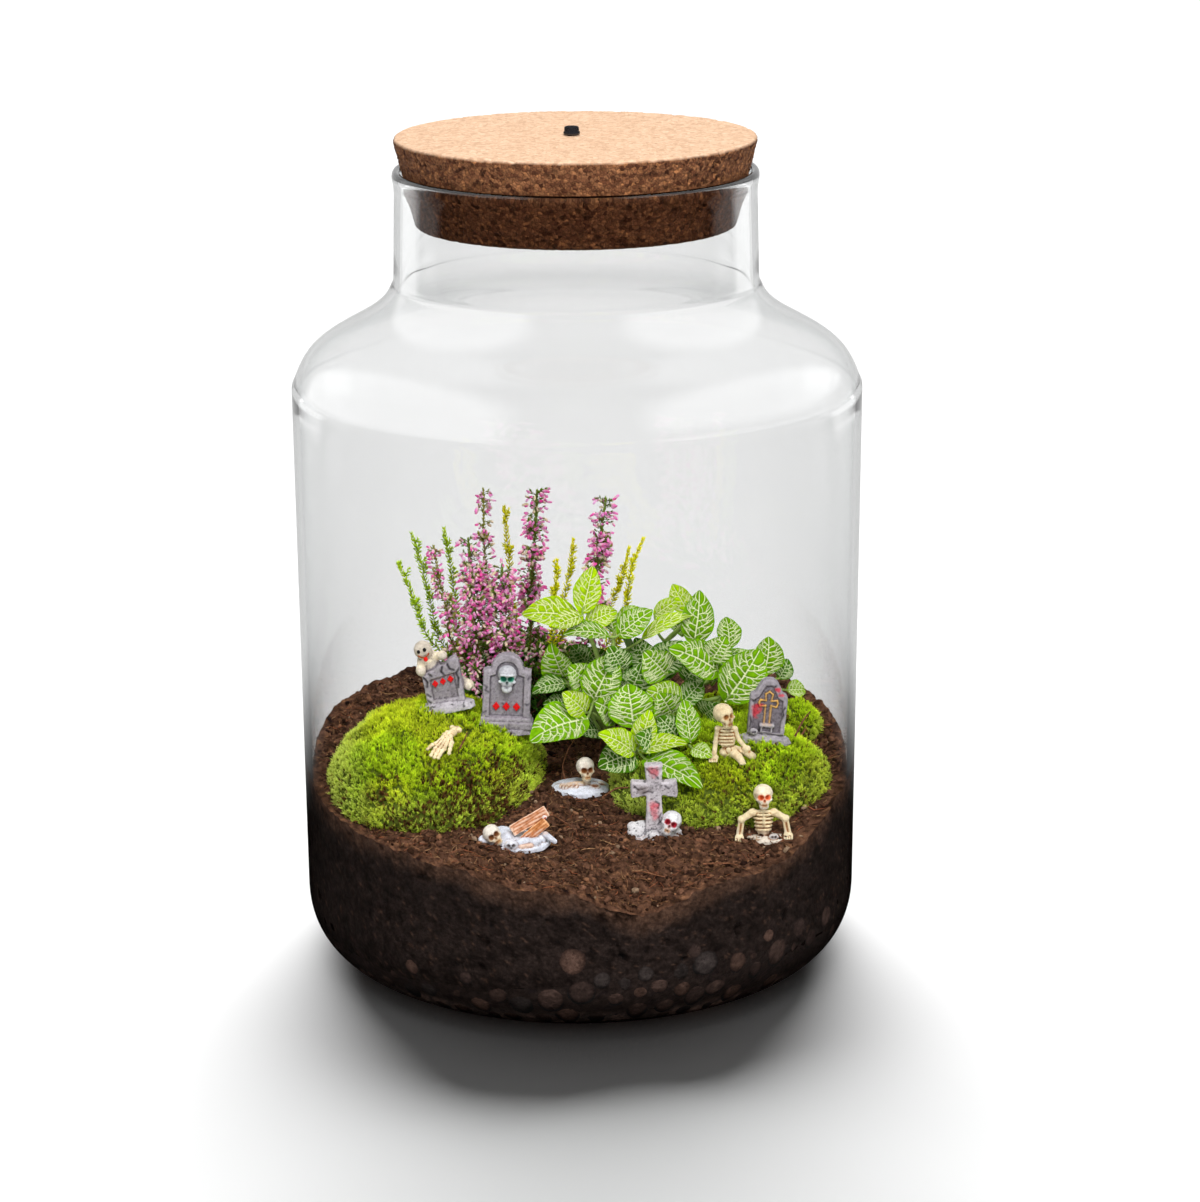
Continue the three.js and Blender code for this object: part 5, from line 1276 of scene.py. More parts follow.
def make_nerve_plant():
    m = Mat("nerve_leaf")
    p = m.coords()
    fine = m.noise(p, 0.0009, 5, 0.6)
    col = m.mix(1.0, col_attr(m), m.ramp(fine, [(0.3, 0.88), (0.7, 1.12)]), "MULTIPLY")
    cell = m.voronoi(p, 0.0005).outputs["Distance"]
    h = m.math("ADD", m.math("MULTIPLY", cell, 0.5), m.noise(p, 0.0012, 3))
    a = m.principled(Base_Color=col, Roughness=m.ramp(fine, [(0.3, 0.46), (0.7, 0.60)]), Specular_IOR_Level=0.16, Normal=m.bump(h, 0.00018, 0.6))
    b = m.node("BsdfTranslucent", {"Color": m.mix(1.0, col, (1.3, 1.15, 0.5), "MULTIPLY")})
    leaf_mat = m.done(m.node("MixShader", {0: 0.28, 1: a.outputs[0], 2: b.outputs[0]}))
    stem_mat = leafy("nerve_stem", 0.12, 0.5, 0.0002)
    rng = np.random.default_rng(31)

    def petiole(row, parts):
        B, T, E = np.array(row[0:3], float), np.array(row[3:6], float), np.array(STEM_ENDS[row[10]], float)
        D = T - B
        L = np.linalg.norm(D)
        d = D / L
        n = np.array(row[7:10], float)
        n = unit(n - d * (n @ d))
        inner = B + 0.05 * D + n * (0.012 * L - 0.28)
        start = E
        far = float(np.linalg.norm(inner - E))
        if far > 14:
            # from the nearest point of its own stem
            mid = np.array([ROOT[0] + (E[0] - ROOT[0]) * 0.42, ROOT[1] + (E[1] - ROOT[1]) * 0.45, 80 + (E[2] - 80) * 0.66])
            path = spline([(15.2, 11.4, 80), mid, E], 12)
            start = path[np.argmin(np.linalg.norm(path - (inner - [0, 0, 6]), axis=1))]
        mid = (start + inner) / 2 + np.array([0, 0, -0.10 * far]) - 0.06 * far * d
        path = spline([start, mid, inner, B + 0.16 * D + n * (0.05 * L - 0.38)], 5)
        V, F = tube(path, np.linspace(0.75, 0.42, len(path)), 7)
        parts.add(V, F, np.array([0.36, 0.50, 0.13]) * (1 + 0.15 * noise3(V, 1.5, 4)[:, None]))

    for i, row in enumerate(LEAVES):
        parts = Parts()
        leaf_mesh(row, rng, parts)
        petiole(row, parts)
        V, F, C = parts.out()
        mesh_piece("leaf_%02d" % (i + 1), V, F, leaf_mat, ["nerve_leaf_%02d" % (i + 1)], colour=C)
    for j in range(0, len(MORE_LEAVES), 7):
        parts = Parts()
        for row in MORE_LEAVES[j:j + 7]:
            leaf_mesh(row, rng, parts, 72, 44)
            petiole(row, parts)
        V, F, C = parts.out()
        mesh_piece("small_leaves_%d" % (j // 7 + 1), V, F, leaf_mat, colour=C)
    stems = Parts()
    for key, E in STEM_ENDS.items():
        E = np.array(E, float)
        mid = np.array([ROOT[0] + (E[0] - ROOT[0]) * 0.42, ROOT[1] + (E[1] - ROOT[1]) * 0.45, 80 + (E[2] - 80) * 0.66])
        path = spline([(15.0, 12, 74), (15.2, 11.4, 80), mid, E], 9)
        node = 1 + 0.28 * np.exp(-((np.arange(len(path)) % 7 - 3) / 0.8) ** 2)
        V, F = tube(path, np.linspace(1.5, 0.95, len(path)) * node, 9)
        tone = smooth(84, 104, V[:, 2])[:, None]
        c = np.array([0.15, 0.10, 0.045]) * (1 - tone) + np.array([0.34, 0.47, 0.12]) * tone
        stems.add(V, F, c * (1 + 0.18 * noise3(V, 1.6, 6)[:, None]))
    V, F = tube(spline([(15, 12, 66), (15, 12, 76), (15.4, 10, 88)], 6), np.linspace(2.9, 1.7, 13), 12)
    stems.add(V, F, np.array([0.15, 0.10, 0.05]) * (1 + 0.25 * noise3(V, 1.5, 7)[:, None]))
    V, F, C = stems.out()
    mesh_piece("nerve_stems", V, F, stem_mat, ["nerve_plant_stems"], colour=np.clip(C, 0.01, 1))


# ------------------------------------------------------------------------------------------ heather
BUSH_C, BUSH_R = np.array([-30.0, 48.0, 104.0]), np.array([42.0, 24.0, 24.0])
SPIKES = [
    (-68.6, 42.0, 124.9, -84.2, 46.0, 163.2, 3.2, 0), (-64.7, 48.0, 123.0, -78.2, 52.0, 176.4, 3.4, 0),
    (-58.9, 34.0, 127.4, -66.9, 38.0, 173.1, 4.6, 1), (-55.7, 46.0, 124.5, -62.7, 50.0, 179.3, 4.0, 0),
    (-46.8, 32.0, 125.0, -50.7, 36.0, 176.9, 8.5, 2), (-40.7, 44.0, 125.0, -43.8, 48.0, 198.3, 5.0, 1),
    (-30.5, 52.0, 127.3, -34.5, 56.0, 186.6, 3.2, 3), (-22.8, 40.0, 126.2, -18.8, 44.0, 197.8, 7.2, 2),
    (-33.8, 26.0, 123.5, -35.1, 30.0, 165.1, 8.5, 2), (-8.9, 46.0, 124.2, -2.5, 50.0, 172.1, 3.2, 3),
    (-12.6, 32.0, 124.8, -9.9, 36.0, 166.1, 3.2, 3), (4.2, 36.0, 127.3, 12.8, 40.0, 194.8, 7.6, 2),
    (12.6, 46.0, 121.5, 23.5, 50.0, 168.0, 3.4, 3), (16.2, 38.0, 122.6, 29.9, 42.0, 175.1, 3.6, 3)]


def spindle_shape():
    """A small plump leaf: along x from 0 to 1, four-sided."""
    V = [(0, 0, 0)]
    for x, r in ((0.35, 1.0), (0.75, 0.72)):
        V += [(x, r, 0), (x, 0, r), (x, -r, 0), (x, 0, -r)]
    V.append((1, 0, 0))
    F3 = [(0, 1 + (i + 1) % 4, 1 + i) for i in range(4)] + [(9, 5 + i, 5 + (i + 1) % 4) for i in range(4)]
    F4 = [(1 + i, 1 + (i + 1) % 4, 5 + (i + 1) % 4, 5 + i) for i in range(4)]
    return np.array(V, float), [np.array(F3), np.array(F4)]


def bell_shape():
    """A small bell flower: along x from its stalk at 0 to its mouth at 1, six-sided."""
    rings = ((0.0, 0.16), (0.14, 0.62), (0.42, 1.0), (0.74, 0.92), (0.93, 0.62), (1.0, 0.80), (0.90, 0.42))
    V = np.array([(x, r * math.cos(a), r * math.sin(a)) for x, r in rings for a in np.arange(6) * math.pi / 3])
    F = grid_faces(len(rings), 6, close_v=True)
    V = np.vstack([V, (0, 0, 0), (0.86, 0, 0)])
    n = len(rings) * 6
    i = np.arange(6)
    F3 = np.vstack([np.stack([np.full(6, n), (i + 1) % 6, i], -1), np.stack([np.full(6, n + 1), n - 6 + i, n - 6 + (i + 1) % 6], -1)])
    return V, [F, F3]


SPINDLE, BELL = spindle_shape(), bell_shape()
LEAF_TONES = {0: ((0.28, 0.52, 0.012), (0.66, 0.88, 0.035)), 1: ((0.20, 0.28, 0.04), (0.50, 0.52, 0.10)), 2: ((0.12, 0.25, 0.03), (0.34, 0.48, 0.08)),
              3: ((0.72, 0.80, 0.010), (0.97, 0.97, 0.020)), 4: ((0.020, 0.085, 0.012), (0.10, 0.27, 0.03)), 5: ((0.07, 0.17, 0.02), (0.28, 0.48, 0.05))}


def sprig(parts, path, kind, rng, leaf_from=0.0, leaf_step=1.15, whorl=4, leaf=(1.6, 2.6), wide=0.42, flowers=0, reach=2.0, splay=(0.45, 1.0), stem_r=0.45,
          flower_span=(0.25, 0.88)):
    """A leafy shoot along a path, with its bells."""
    path = np.asarray(path, float)
    seg = np.linalg.norm(np.diff(path, axis=0), axis=1)
    s = np.concatenate([[0], np.cumsum(seg)])
    total = s[-1]
    at = lambda x: np.stack([np.interp(x, s, path[:, i]) for i in range(3)], -1)
    way = lambda x: unit(at(np.minimum(x + 0.6, total)) - at(np.maximum(x - 0.6, 0)))
    V, F = tube(path, stem_r * np.linspace(1.0, 0.45, len(path)), 5)
    tone = np.linspace(0, 1, len(path)).repeat(5)
    tone = np.append(tone, [0, 1])[:, None]
    red, green = np.array([0.24, 0.30, 0.05] if kind in (0, 3) else [0.22, 0.10, 0.045]), np.array(LEAF_TONES[kind][1]) * 0.8
    parts.add(V, F, red * (1 - tone ** 2) + green * tone ** 2)
    xs = np.arange(leaf_from * total, total + 0.2, leaf_step)
    x = (xs[:, None] + rng.uniform(-0.3, 0.3, (len(xs), whorl))).clip(0, total).ravel()
    n = len(x)
    ax = way(x)
    ang = (np.arange(len(xs))[:, None] * 0.8 + np.arange(whorl)[None] * 2 * math.pi / whorl + rng.normal(0, 0.2, (len(xs), whorl))).ravel()
    ref = np.array([0.3, 0.95, 0.1])
    u = unit(np.cross(ax, ref))
    w = np.cross(ax, u)
    rad = u * np.cos(ang)[:, None] + w * np.sin(ang)[:, None]
    tip = (x / total) ** 3
    alpha = rng.uniform(*splay, n) * (1 - 0.72 * tip)
    d = unit(ax * np.cos(alpha)[:, None] + rad * np.sin(alpha)[:, None])
    L = rng.uniform(*leaf, n) * (1 - 0.3 * tip)
    A, B = frames_from(d, rng)
    P = at(x) + rad * 0.2
    wd = wide * rng.uniform(0.8, 1.2, n)
    V, F = many(SPINDLE, P, d * L[:, None], A * wd[:, None], B * wd[:, None] * 0.7)
    lo, hi = (np.array(c) for c in LEAF_TONES[kind])
    k = np.clip(0.15 + 0.85 * (x / total) + rng.normal(0, 0.2, n), 0, 1)[:, None]
    c = lo * (1 - k) + hi * k
    along = np.tile(SPINDLE[0][:, 0], n)[:, None]
    parts.add(V, F, np.clip(spread(c, 10) * (0.7 + 0.45 * along), 0.004, 1))
    if flowers:
        x = total * (flower_span[0] + (flower_span[1] - flower_span[0]) * rng.random(flowers) ** 0.9)
        ax = way(x)
        u = unit(np.cross(ax, ref))
        w = np.cross(ax, u)
        ang = rng.uniform(0, 6.28, flowers)
        rad = u * np.cos(ang)[:, None] + w * np.sin(ang)[:, None]
        out = reach * np.sqrt(rng.random(flowers)) * (1.1 - 0.55 * (x / total - flower_span[0]).clip(0, 1))
        base = at(x) + rad * out[:, None] + ax * (out * 0.35)[:, None]
        alpha = rng.uniform(0.9, 2.5, flowers)
        d = unit(ax * np.cos(alpha)[:, None] + rad * np.sin(alpha)[:, None] + np.array([0, -0.15, -0.12]))
        bells(parts, base, d, rng)
        # the short stalks that carry them
        far = out > 1.2
        if far.any():
            S, E = at(x[far]), base[far]
            A, B = frames_from(E - S, rng)
            V, F = many(SPINDLE, S, E - S, A * 0.16, B * 0.16)
            parts.add(V, F, np.array([0.16, 0.16, 0.04]))
            m = int(far.sum())
            for _ in range(2):
                t = rng.uniform(0.35, 0.95, m)[:, None]
                dd = unit((E - S) + rng.normal(0, 1.4, (m, 3)))
                A, B = frames_from(dd, rng)
                V, F = many(SPINDLE, S + (E - S) * t, dd * rng.uniform(1.5, 2.3, (m, 1)), A * wide, B * wide * 0.7)
                parts.add(V, F, spread(np.clip(lo * 0.6 + hi * 0.4 + rng.normal(0, 0.02, (m, 1)), 0.004, 1), 10))


def bells(parts, base, d, rng, white=0.35):
    n = len(base)
    A, B = frames_from(d, rng)
    L = rng.uniform(2.2, 3.4, n)[:, None]
    r = rng.uniform(0.52, 0.76, n)[:, None]
    V, F = many(BELL, base, d * L, A * r, B * r)
    pinks = np.array([[0.99, 0.30, 0.72], [0.99, 0.44, 0.82], [0.99, 0.17, 0.62], [0.99, 0.60, 0.88], [0.99, 0.36, 0.76]])
    pink = pinks[rng.integers(0, 5, n)] * rng.uniform(0.85, 1.12, (n, 1))
    pale = np.array([0.95, 0.88, 0.86]) * rng.uniform(0.92, 1.05, (n, 1))
    cream = (rng.random(n) < 0.18)[:, None]
    tipc = np.where(cream, np.array([0.90, 0.84, 0.66]), pink)
    basec = np.where(cream, np.array([0.80, 0.82, 0.52]), pale)
    start = rng.uniform(0.25, 0.95, n)[:, None]
    x = BELL[0][:, 0][None]
    k = np.clip((x - start * 0.8 + 0.28) / 0.42, 0, 1)
    # painted shade: the inner lip and the inside of the mouth are coloured 30 % darker
    inside = np.zeros(len(BELL[0]))
    inside[36:42] = 1
    inside[43] = 1
    C = basec[:, None] * (1 - k[..., None]) + tipc[:, None] * k[..., None]
    C = C * (1 - 0.30 * inside)[None, :, None]
    parts.add(V, F, np.clip(C.reshape(-1, 3), 0.01, 1))


def make_heather():
    leaf_mat = leafy("heather_foliage", 0.34, 0.5)
    bloom_mat = leafy("heather_bloom", 0.50, 0.5, through=(1.2, 1.05, 1.1))
    rng = np.random.default_rng(41)
    for i, (fx, fy, fz, tx, ty, tz, r, kind) in enumerate(SPIKES):
        parts = Parts()
        foot, tip = np.array([fx, fy, fz]), np.array([tx, ty, tz])
        core = np.array([BUSH_C[0] + (fx - BUSH_C[0]) * 0.45, BUSH_C[1] + (fy - BUSH_C[1]) * 0.45, 104.0])
        wob = rng.normal(0, 0.7, (2, 3)) * (1, 1, 0)
        path = spline([core, foot, foot + (tip - foot) * 0.35 + wob[0], foot + (tip - foot) * 0.7 + wob[1], tip - (0, 0, 0.8)], 9)
        start = 0.18
        if kind == 0:
            sprig(parts, path, 0, rng, start, 1.6, 4, (2.3, 3.5), 0.42, stem_r=0.26, splay=(0.8, 1.25))
            side, ks, fl = 15, 0, 0
        elif kind == 1:
            sprig(parts, path, 1, rng, start, 1.5, 3, (1.6, 2.6), 0.42, flowers=86, reach=r * 0.80, stem_r=0.42, flower_span=(0.3, 0.99))
            side, ks, fl = 9, 1, 5
        elif kind == 2:
            sprig(parts, path, 2, rng, start, 1.3, 4, (1.7, 2.8), 0.42, flowers=165, reach=r * 0.82, stem_r=0.5, flower_span=(0.26, 1.0))
            side, ks, fl = 18, 2, 12
        else:
            sprig(parts, path, 3, rng, start, 1.5, 4, (2.3, 3.5), 0.44, stem_r=0.26, splay=(0.8, 1.25))
            side, ks, fl = 16, 3, 0
        # side shoots
        for _ in range(side):
            slim = kind in (0, 3)
            t = rng.uniform(0.28, 0.96 if slim else 0.82)
            j = int(t * (len(path) - 1))
            a = rng.uniform(0, 6.28)
            reach = rng.uniform(1.3, 2.4) if slim else min(r * 0.85, 6.5) * rng.uniform(0.6, 1.0)
            out = np.array([math.cos(a) * reach, math.sin(a) * reach, 0])
            up = rng.uniform(2.0, 3.2) if slim else rng.uniform(4, 10) * (1.15 - t)
            S = path[j]
            sub = spline([S, S + out * 0.55 + (0, 0, up * 0.35), S + out + (0, 0, up)], 4)
            sprig(parts, sub, ks, rng, 0.1, 1.1, 3 if slim else 4, (1.6, 2.5) if slim else (1.3, 2.2), 0.38 if slim else 0.36, flowers=fl, reach=1.6, stem_r=0.2 if slim else 0.26, flower_span=(0.15, 1.0))
        V, F, C = parts.out()
        bloom = r > 4.5
        mesh_piece("shoot_%02d" % (i + 1), V, F, bloom_mat if bloom else leaf_mat,
                   ["heather_spike_%02d" % (i + 1)], colour=C)
    # the leafy lower growth, on woody stems that come out of the soil
    wood = Parts()
    foot = np.array([-28.0, 44.0, 82.0])
    ends = []
    for k in range(26):
        th = 2 * math.pi * (k * 0.618034 % 1)
        rr = 0.35 + 0.6 * rng.random()
        E = BUSH_C + BUSH_R * np.array([math.cos(th) * rr, math.sin(th) * rr, 0.55 * math.sqrt(max(0, 1 - rr * rr)) + 0.1])
        mid = foot + (E - foot) * (0.5, 0.5, 0.42) + rng.normal(0, 1.2, 3)
        path = spline([foot + rng.normal(0, 2.2, 3) * (1, 1, 0) - (0, 0, 6), mid, E], 6)
        V, F = tube(path, np.linspace(1.25, 0.45, len(path)), 6)
        wood.add(V, F, np.array([0.145, 0.075, 0.045]) * (1 + 0.35 * noise3(V, 1.6, 9)[:, None]))
        ends.append(E)
    n = 620
    g = (np.arange(n) + 0.5) / n
    polar = np.arccos(1 - 1.72 * g)
    az = 2 * math.pi * ((np.arange(n) * 0.618034) % 1) + rng.normal(0, 0.1, n)
    dirs = np.stack([np.sin(polar) * np.cos(az), np.sin(polar) * np.sin(az), np.cos(polar)], -1)
    for k in range(n):
        dv = dirs[k]
        P1 = BUSH_C + BUSH_R * dv * rng.uniform(0.84, 1.02)
        P0 = BUSH_C + BUSH_R * dv * 0.52
        if P1[2] < float(ground_z(P1[0], P1[1])) - 2:
            P1[2] = float(ground_z(P1[0], P1[1])) - 2
        mid = (P0 + P1) / 2 + rng.normal(0, 1.4, 3)
        low = P1[2] < 112
        kind = 4 if (low or rng.random() < 0.45) else 5
        fl = 0
        left = dv[0] < -0.2
        if dv[2] > (0.05 if left else 0.62) and dv[1] < 0.7 and rng.random() < 0.58:
            fl = int(rng.integers(5, 14))
        elif dv[2] > -0.25 and rng.random() < (0.30 if left else 0.06):
            fl = int(rng.integers(2, 6))
        sprig(wood, spline([P0, mid, P1 + (0, 0, 1.5)], 4), kind, rng, 0.25, 1.5, 4, (1.6, 2.7), 0.40, flowers=fl, reach=2.2, stem_r=0.3, flower_span=(0.45, 1.05))
    V, F, C = wood.out()
    mesh_piece("heather_bush", V, F, leaf_mat, ["heather_stems"], colour=C)


# ------------------------------------------------------------------------------------------ painted resin figures
STONE, STONE_DARK, STONE_PALE = (0.315, 0.285, 0.315), (0.085, 0.075, 0.09), (0.60, 0.57, 0.60)
BONE, BONE_WASH = (0.80, 0.655, 0.41), (0.34, 0.155, 0.045)
PLATE = (0.66, 0.68, 0.76)
RED, PINKRED, BLACK, GOLD = (0.62, 0.02, 0.02), (0.62, 0.10, 0.13), (0.008, 0.008, 0.009), (0.74, 0.40, 0.05)


def turn(rx=0, ry=0, rz=0):
    """Rotation in degrees: first about x, then y, then z."""
    r = math.radians
    return np.array(Matrix.Rotation(r(rz), 3, "Z") @ Matrix.Rotation(r(ry), 3, "Y") @ Matrix.Rotation(r(rx), 3, "X"))


class Clay:
    """A body modelled by joining and cutting rounded forms on a fine grid, painted as it is made."""

    def __init__(self, lo, hi, h=0.3, colour=STONE):
        self.h, self.lo = h, np.array(lo, float) - 1.5
        n = np.ceil((np.array(hi, float) + 1.5 - self.lo) / h).astype(int) + 1
        self.ax = [self.lo[i] + h * np.arange(n[i]) for i in range(3)]
        self.D = np.full(n, 6.0, np.float32)
        self.C = np.tile(np.array(colour, np.float32), (*n, 1))

    def region(self, c, ext, pad=2.2):
        c, ext = np.array(c, float), np.broadcast_to(np.array(ext, float), (3,))
        sl = []
        for i in range(3):
            a = int(np.clip((c[i] - ext[i] - pad - self.lo[i]) / self.h, 0, len(self.ax[i]) - 1))
            b = int(np.clip((c[i] + ext[i] + pad - self.lo[i]) / self.h + 2, a + 1, len(self.ax[i])))
            sl.append(slice(a, b))
        P = np.stack(np.meshgrid(*(self.ax[i][sl[i]] for i in range(3)), indexing="ij"), -1)
        return tuple(sl), P

    def put(self, fn, c, ext, colour=None, k=0.5, cut=False):
        sl, P = self.region(c, ext, 2.2 + k)
        d = fn(P)
        D = self.D[sl]
        if cut:
            d = -d
            h = np.clip(0.5 + 0.5 * (d - D) / k, 0, 1)
            self.D[sl] = D * (1 - h) + d * h + k * h * (1 - h)
            w = np.clip(0.5 + (d - D + 0.15) / 0.5, 0, 1)
        else:
            h = np.clip(0.5 + 0.5 * (D - d) / k, 0, 1)
            self.D[sl] = D * (1 - h) + d * h - k * h * (1 - h)
            w = np.clip(0.5 + (D - d) / 0.5, 0, 1)
        if colour is not None:
            w = w[..., None]
            self.C[sl] = self.C[sl] * (1 - w) + np.array(colour) * w
        return self

    def ball(self, r, c, colour=None, k=0.6, cut=False, R=None):
        r, c = np.broadcast_to(np.array(r, float), (3,)), np.array(c, float)

        def fn(P):
            p = P - c
            if R is not None:
                p = p @ R
            k0 = np.linalg.norm(p / r, axis=-1)
            k1 = np.linalg.norm(p / (r * r), axis=-1)
            return k0 * (k0 - 1) / np.maximum(k1, 1e-6)
        return self.put(fn, c, max(r) if R is not None else r, colour, k, cut)

    def box(self, size, c, colour=None, k=0.4, cut=False, R=None, round=0.5):
        hlf, c = np.array(size, float) / 2, np.array(c, float)
        rd = min(round, min(hlf) * 0.98)

        def fn(P):
            p = P - c
            if R is not None:
                p = p @ R
            q = np.abs(p) - (hlf - rd)
            return np.linalg.norm(np.maximum(q, 0), axis=-1) + np.minimum(q.max(-1), 0) - rd
        return self.put(fn, c, np.linalg.norm(hlf) if R is not None else hlf, colour, k, cut)

    def limb(self, a, b, r0, r1=None, colour=None, k=0.6, cut=False):
        a, b = np.array(a, float), np.array(b, float)
        r1 = r0 if r1 is None else r1
        ab = b - a

        def fn(P):
            t = np.clip(((P - a) @ ab) / max(ab @ ab, 1e-9), 0, 1)
            return np.linalg.norm(P - a - t[..., None] * ab, axis=-1) - (r0 + (r1 - r0) * t)
        return self.put(fn, (a + b) / 2, np.abs(ab) / 2 + max(r0, r1), colour, k, cut)

    def line(self, pts, r, colour=None, k=0.2, cut=False):
        for a, b in zip(pts[:-1], pts[1:]):
            self.limb(a, b, r, r, colour, k, cut)
        return self

    def slab(self, outline, depth, y, colour=None, k=0.4, cut=False, round=0.7):
        A = np.array(outline, float)
        lo, hi = A.min(0), A.max(0)

        def fn(P):
            x, z = P[..., 0], P[..., 2]
            d2 = np.full(x.shape, 1e9)
            s = np.ones(x.shape)
            for i in range(len(A)):
                p, q = A[i], A[i - 1]
                ex, ez = q[0] - p[0], q[1] - p[1]
                wx, wz = x - p[0], z - p[1]
                t = np.clip((wx * ex + wz * ez) / (ex * ex + ez * ez), 0, 1)
                d2 = np.minimum(d2, (wx - ex * t) ** 2 + (wz - ez * t) ** 2)
                c1, c2, c3 = z >= p[1], z < q[1], ex * wz > ez * wx
                s = np.where((c1 & c2 & c3) | (~c1 & ~c2 & ~c3), -s, s)
            flat = s * np.sqrt(d2) + round
            deep = np.abs(P[..., 1] - y) - depth / 2 + round
            q = np.stack([np.maximum(flat, 0), np.maximum(deep, 0)], -1)
            return np.linalg.norm(q, axis=-1) + np.minimum(np.maximum(flat, deep), 0) - round
        return self.put(fn, ((lo[0] + hi[0]) / 2, y, (lo[1] + hi[1]) / 2), ((hi[0] - lo[0]) / 2, depth / 2, (hi[1] - lo[1]) / 2), colour, k, cut)

    def rock(self, rx, ry, h, c=(0, 0), colour=None, seed=1, rough=0.9, k=0.6):
        """A low, uneven mound with a flat foot."""
        def fn(P):
            x, y, z = P[..., 0] - c[0], P[..., 1] - c[1], P[..., 2]
            flat = np.stack([x, y, z], -1).reshape(-1, 3)
            n = (noise3(flat, 5.2, seed) * rough + noise3(flat, 2.2, seed + 1) * rough * 0.35).reshape(x.shape)
            q = np.hypot(x / rx, y / ry)
            edge = (q - 1) * min(rx, ry) * 0.9
            lid = z - h * (1 - 0.45 * np.clip(q, 0, 1.2) ** 2)
            m = np.maximum(edge, lid) + np.maximum(np.minimum(edge, 0) + 2, 0) * np.maximum(np.minimum(lid, 0) + 2, 0) * 0.12
            return np.maximum(m * 0.8 + n * 0.55, -z - 0.4)
        return self.put(fn, (c[0], c[1], h / 2), (rx * 1.15, ry * 1.15, h), colour, k)

    def paint(self, c, r, colour, strength=1.0, soft=0.5, R=None, seed=None):
        r, c = np.broadcast_to(np.array(r, float), (3,)), np.array(c, float)
        sl, P = self.region(c, r, 0.5)
        p = P - c
        if R is not None:
            p = p @ R
        q = np.linalg.norm(p / r, axis=-1)
        if seed is not None:
            q = q + 0.45 * noise3(P.reshape(-1, 3), 1.4, seed).reshape(q.shape)
        w = (strength * (1 - smooth(1 - soft, 1, q)))[..., None]
        self.C[sl] = self.C[sl] * (1 - w) + np.array(colour) * w
        return self

    def skull(self, c, r, yaw=0, pitch=0, roll=0, bone=BONE, sockets=BONE_WASH, deep=0.30):
        """A small plain skull: brow, sockets, nose, cheeks and teeth. It faces -y before it is turned."""
        R = turn(pitch, roll, yaw)
        c = np.array(c, float)
        at = lambda x, y, z: c + R @ (np.array([x, y, z]) * r)
        rr = lambda *a: np.array(a) * r
        self.ball(rr(0.96, 1.08, 0.95), at(0, 0.14, 0.16), bone, 0.4, R=R)
        self.ball(rr(0.66, 0.55, 0.72), at(0, -0.42, -0.38), bone, 0.5, R=R)
        for s in (-1, 1):
            self.ball(rr(0.27, 0.36, 0.20), at(0.56 * s, -0.50, -0.28), bone, 0.35, R=R)
        self.ball(rr(0.50, 0.44, 0.34), at(0, -0.52, -0.98), bone, 0.4, R=R)
        self.box(rr(0.62, 0.22, 0.42), at(0, -0.88, -0.80), bone, 0.3, R=R, round=0.1 * r)
        for s in (-1, 1):
            self.ball(rr(0.18, 0.40, 0.36), at(1.0 * s, -0.30, -0.16), None, 0.35, True, R=R)
            self.ball(rr(0.22, 0.30, 0.30), at(0.62 * s, -0.62, -0.86), None, 0.3, True, R=R)
            self.ball(rr(0.33, deep + 0.14, 0.29), at(0.37 * s, -0.99, 0.00), sockets, 0.12, True, R=R)
            self.paint(at(0.37 * s, -0.86, 0.00), rr(0.36, 0.42, 0.31), sockets, 1.0, 0.22, R=R)
        self.ball(rr(0.12, 0.22, 0.17), at(0, -1.02, -0.36), np.array(sockets) * 0.5 + np.array(BONE_WASH) * 0.3, 0.1, True, R=R)
        self.box(rr(0.62, 0.20, 0.06), at(0, -0.98, -0.80), BONE_WASH, 0.08, True, R=R, round=0.02 * r)
        for x in (-0.2, -0.07, 0.07, 0.2):
            self.box(rr(0.035, 0.16, 0.36), at(x, -1.0, -0.80), BONE_WASH, 0.05, True, R=R, round=0.01 * r)
        return self

    def mesh(self):
        D, h = self.D, self.h
        n = np.array(D.shape)
        inside = D < 0
        c = [inside[a:n[0] - 1 + a, b:n[1] - 1 + b, d:n[2] - 1 + d] for a in (0, 1) for b in (0, 1) for d in (0, 1)]
        count = sum(x.astype(np.int8) for x in c)
        act = np.argwhere((count > 0) & (count < 8))
        corners = np.array([(a, b, d) for a in (0, 1) for b in (0, 1) for d in (0, 1)])
        val = np.stack([D[act[:, 0] + a, act[:, 1] + b, act[:, 2] + d] for a, b, d in corners], -1).astype(float)
        P, num = np.zeros((len(act), 3)), np.zeros(len(act))
        for i in range(8):
            for j in range(i + 1, 8):
                if np.abs(corners[i] - corners[j]).sum() == 1:
                    a, b = val[:, i], val[:, j]
                    x = (a < 0) != (b < 0)
                    t = np.where(x, a / np.where(x, a - b, 1), 0)
                    P += np.where(x[:, None], corners[i] + t[:, None] * (corners[j] - corners[i]), 0)
                    num += x
        P = P / num[:, None] + act
        ids = np.full(n - 1, -1, np.int64)
        ids[tuple(act.T)] = np.arange(len(act))
        F = []
        for axis in range(3):
            a = [slice(None)] * 3
            b = [slice(None)] * 3
            a[axis], b[axis] = slice(0, n[axis] - 1), slice(1, n[axis])
            A, B = inside[tuple(a)], inside[tuple(b)]
            e = np.argwhere(A != B)
            u, v = [i for i in range(3) if i != axis]
            ok = (e[:, u] > 0) & (e[:, v] > 0) & (e[:, u] < n[u] - 1) & (e[:, v] < n[v] - 1)
            e = e[ok]
            first = A[tuple(e.T)]
            quad = []
            for du, dv in ((1, 1), (0, 1), (0, 0), (1, 0)):
                k = e.copy()
                k[:, u] -= du
                k[:, v] -= dv
                quad.append(ids[tuple(k.T)])
            Q = np.stack(quad, -1)
            flip = first if axis != 1 else ~first
            Q = np.where(flip[:, None], Q, Q[:, ::-1])
            F.append(Q)
        F = np.concatenate(F)
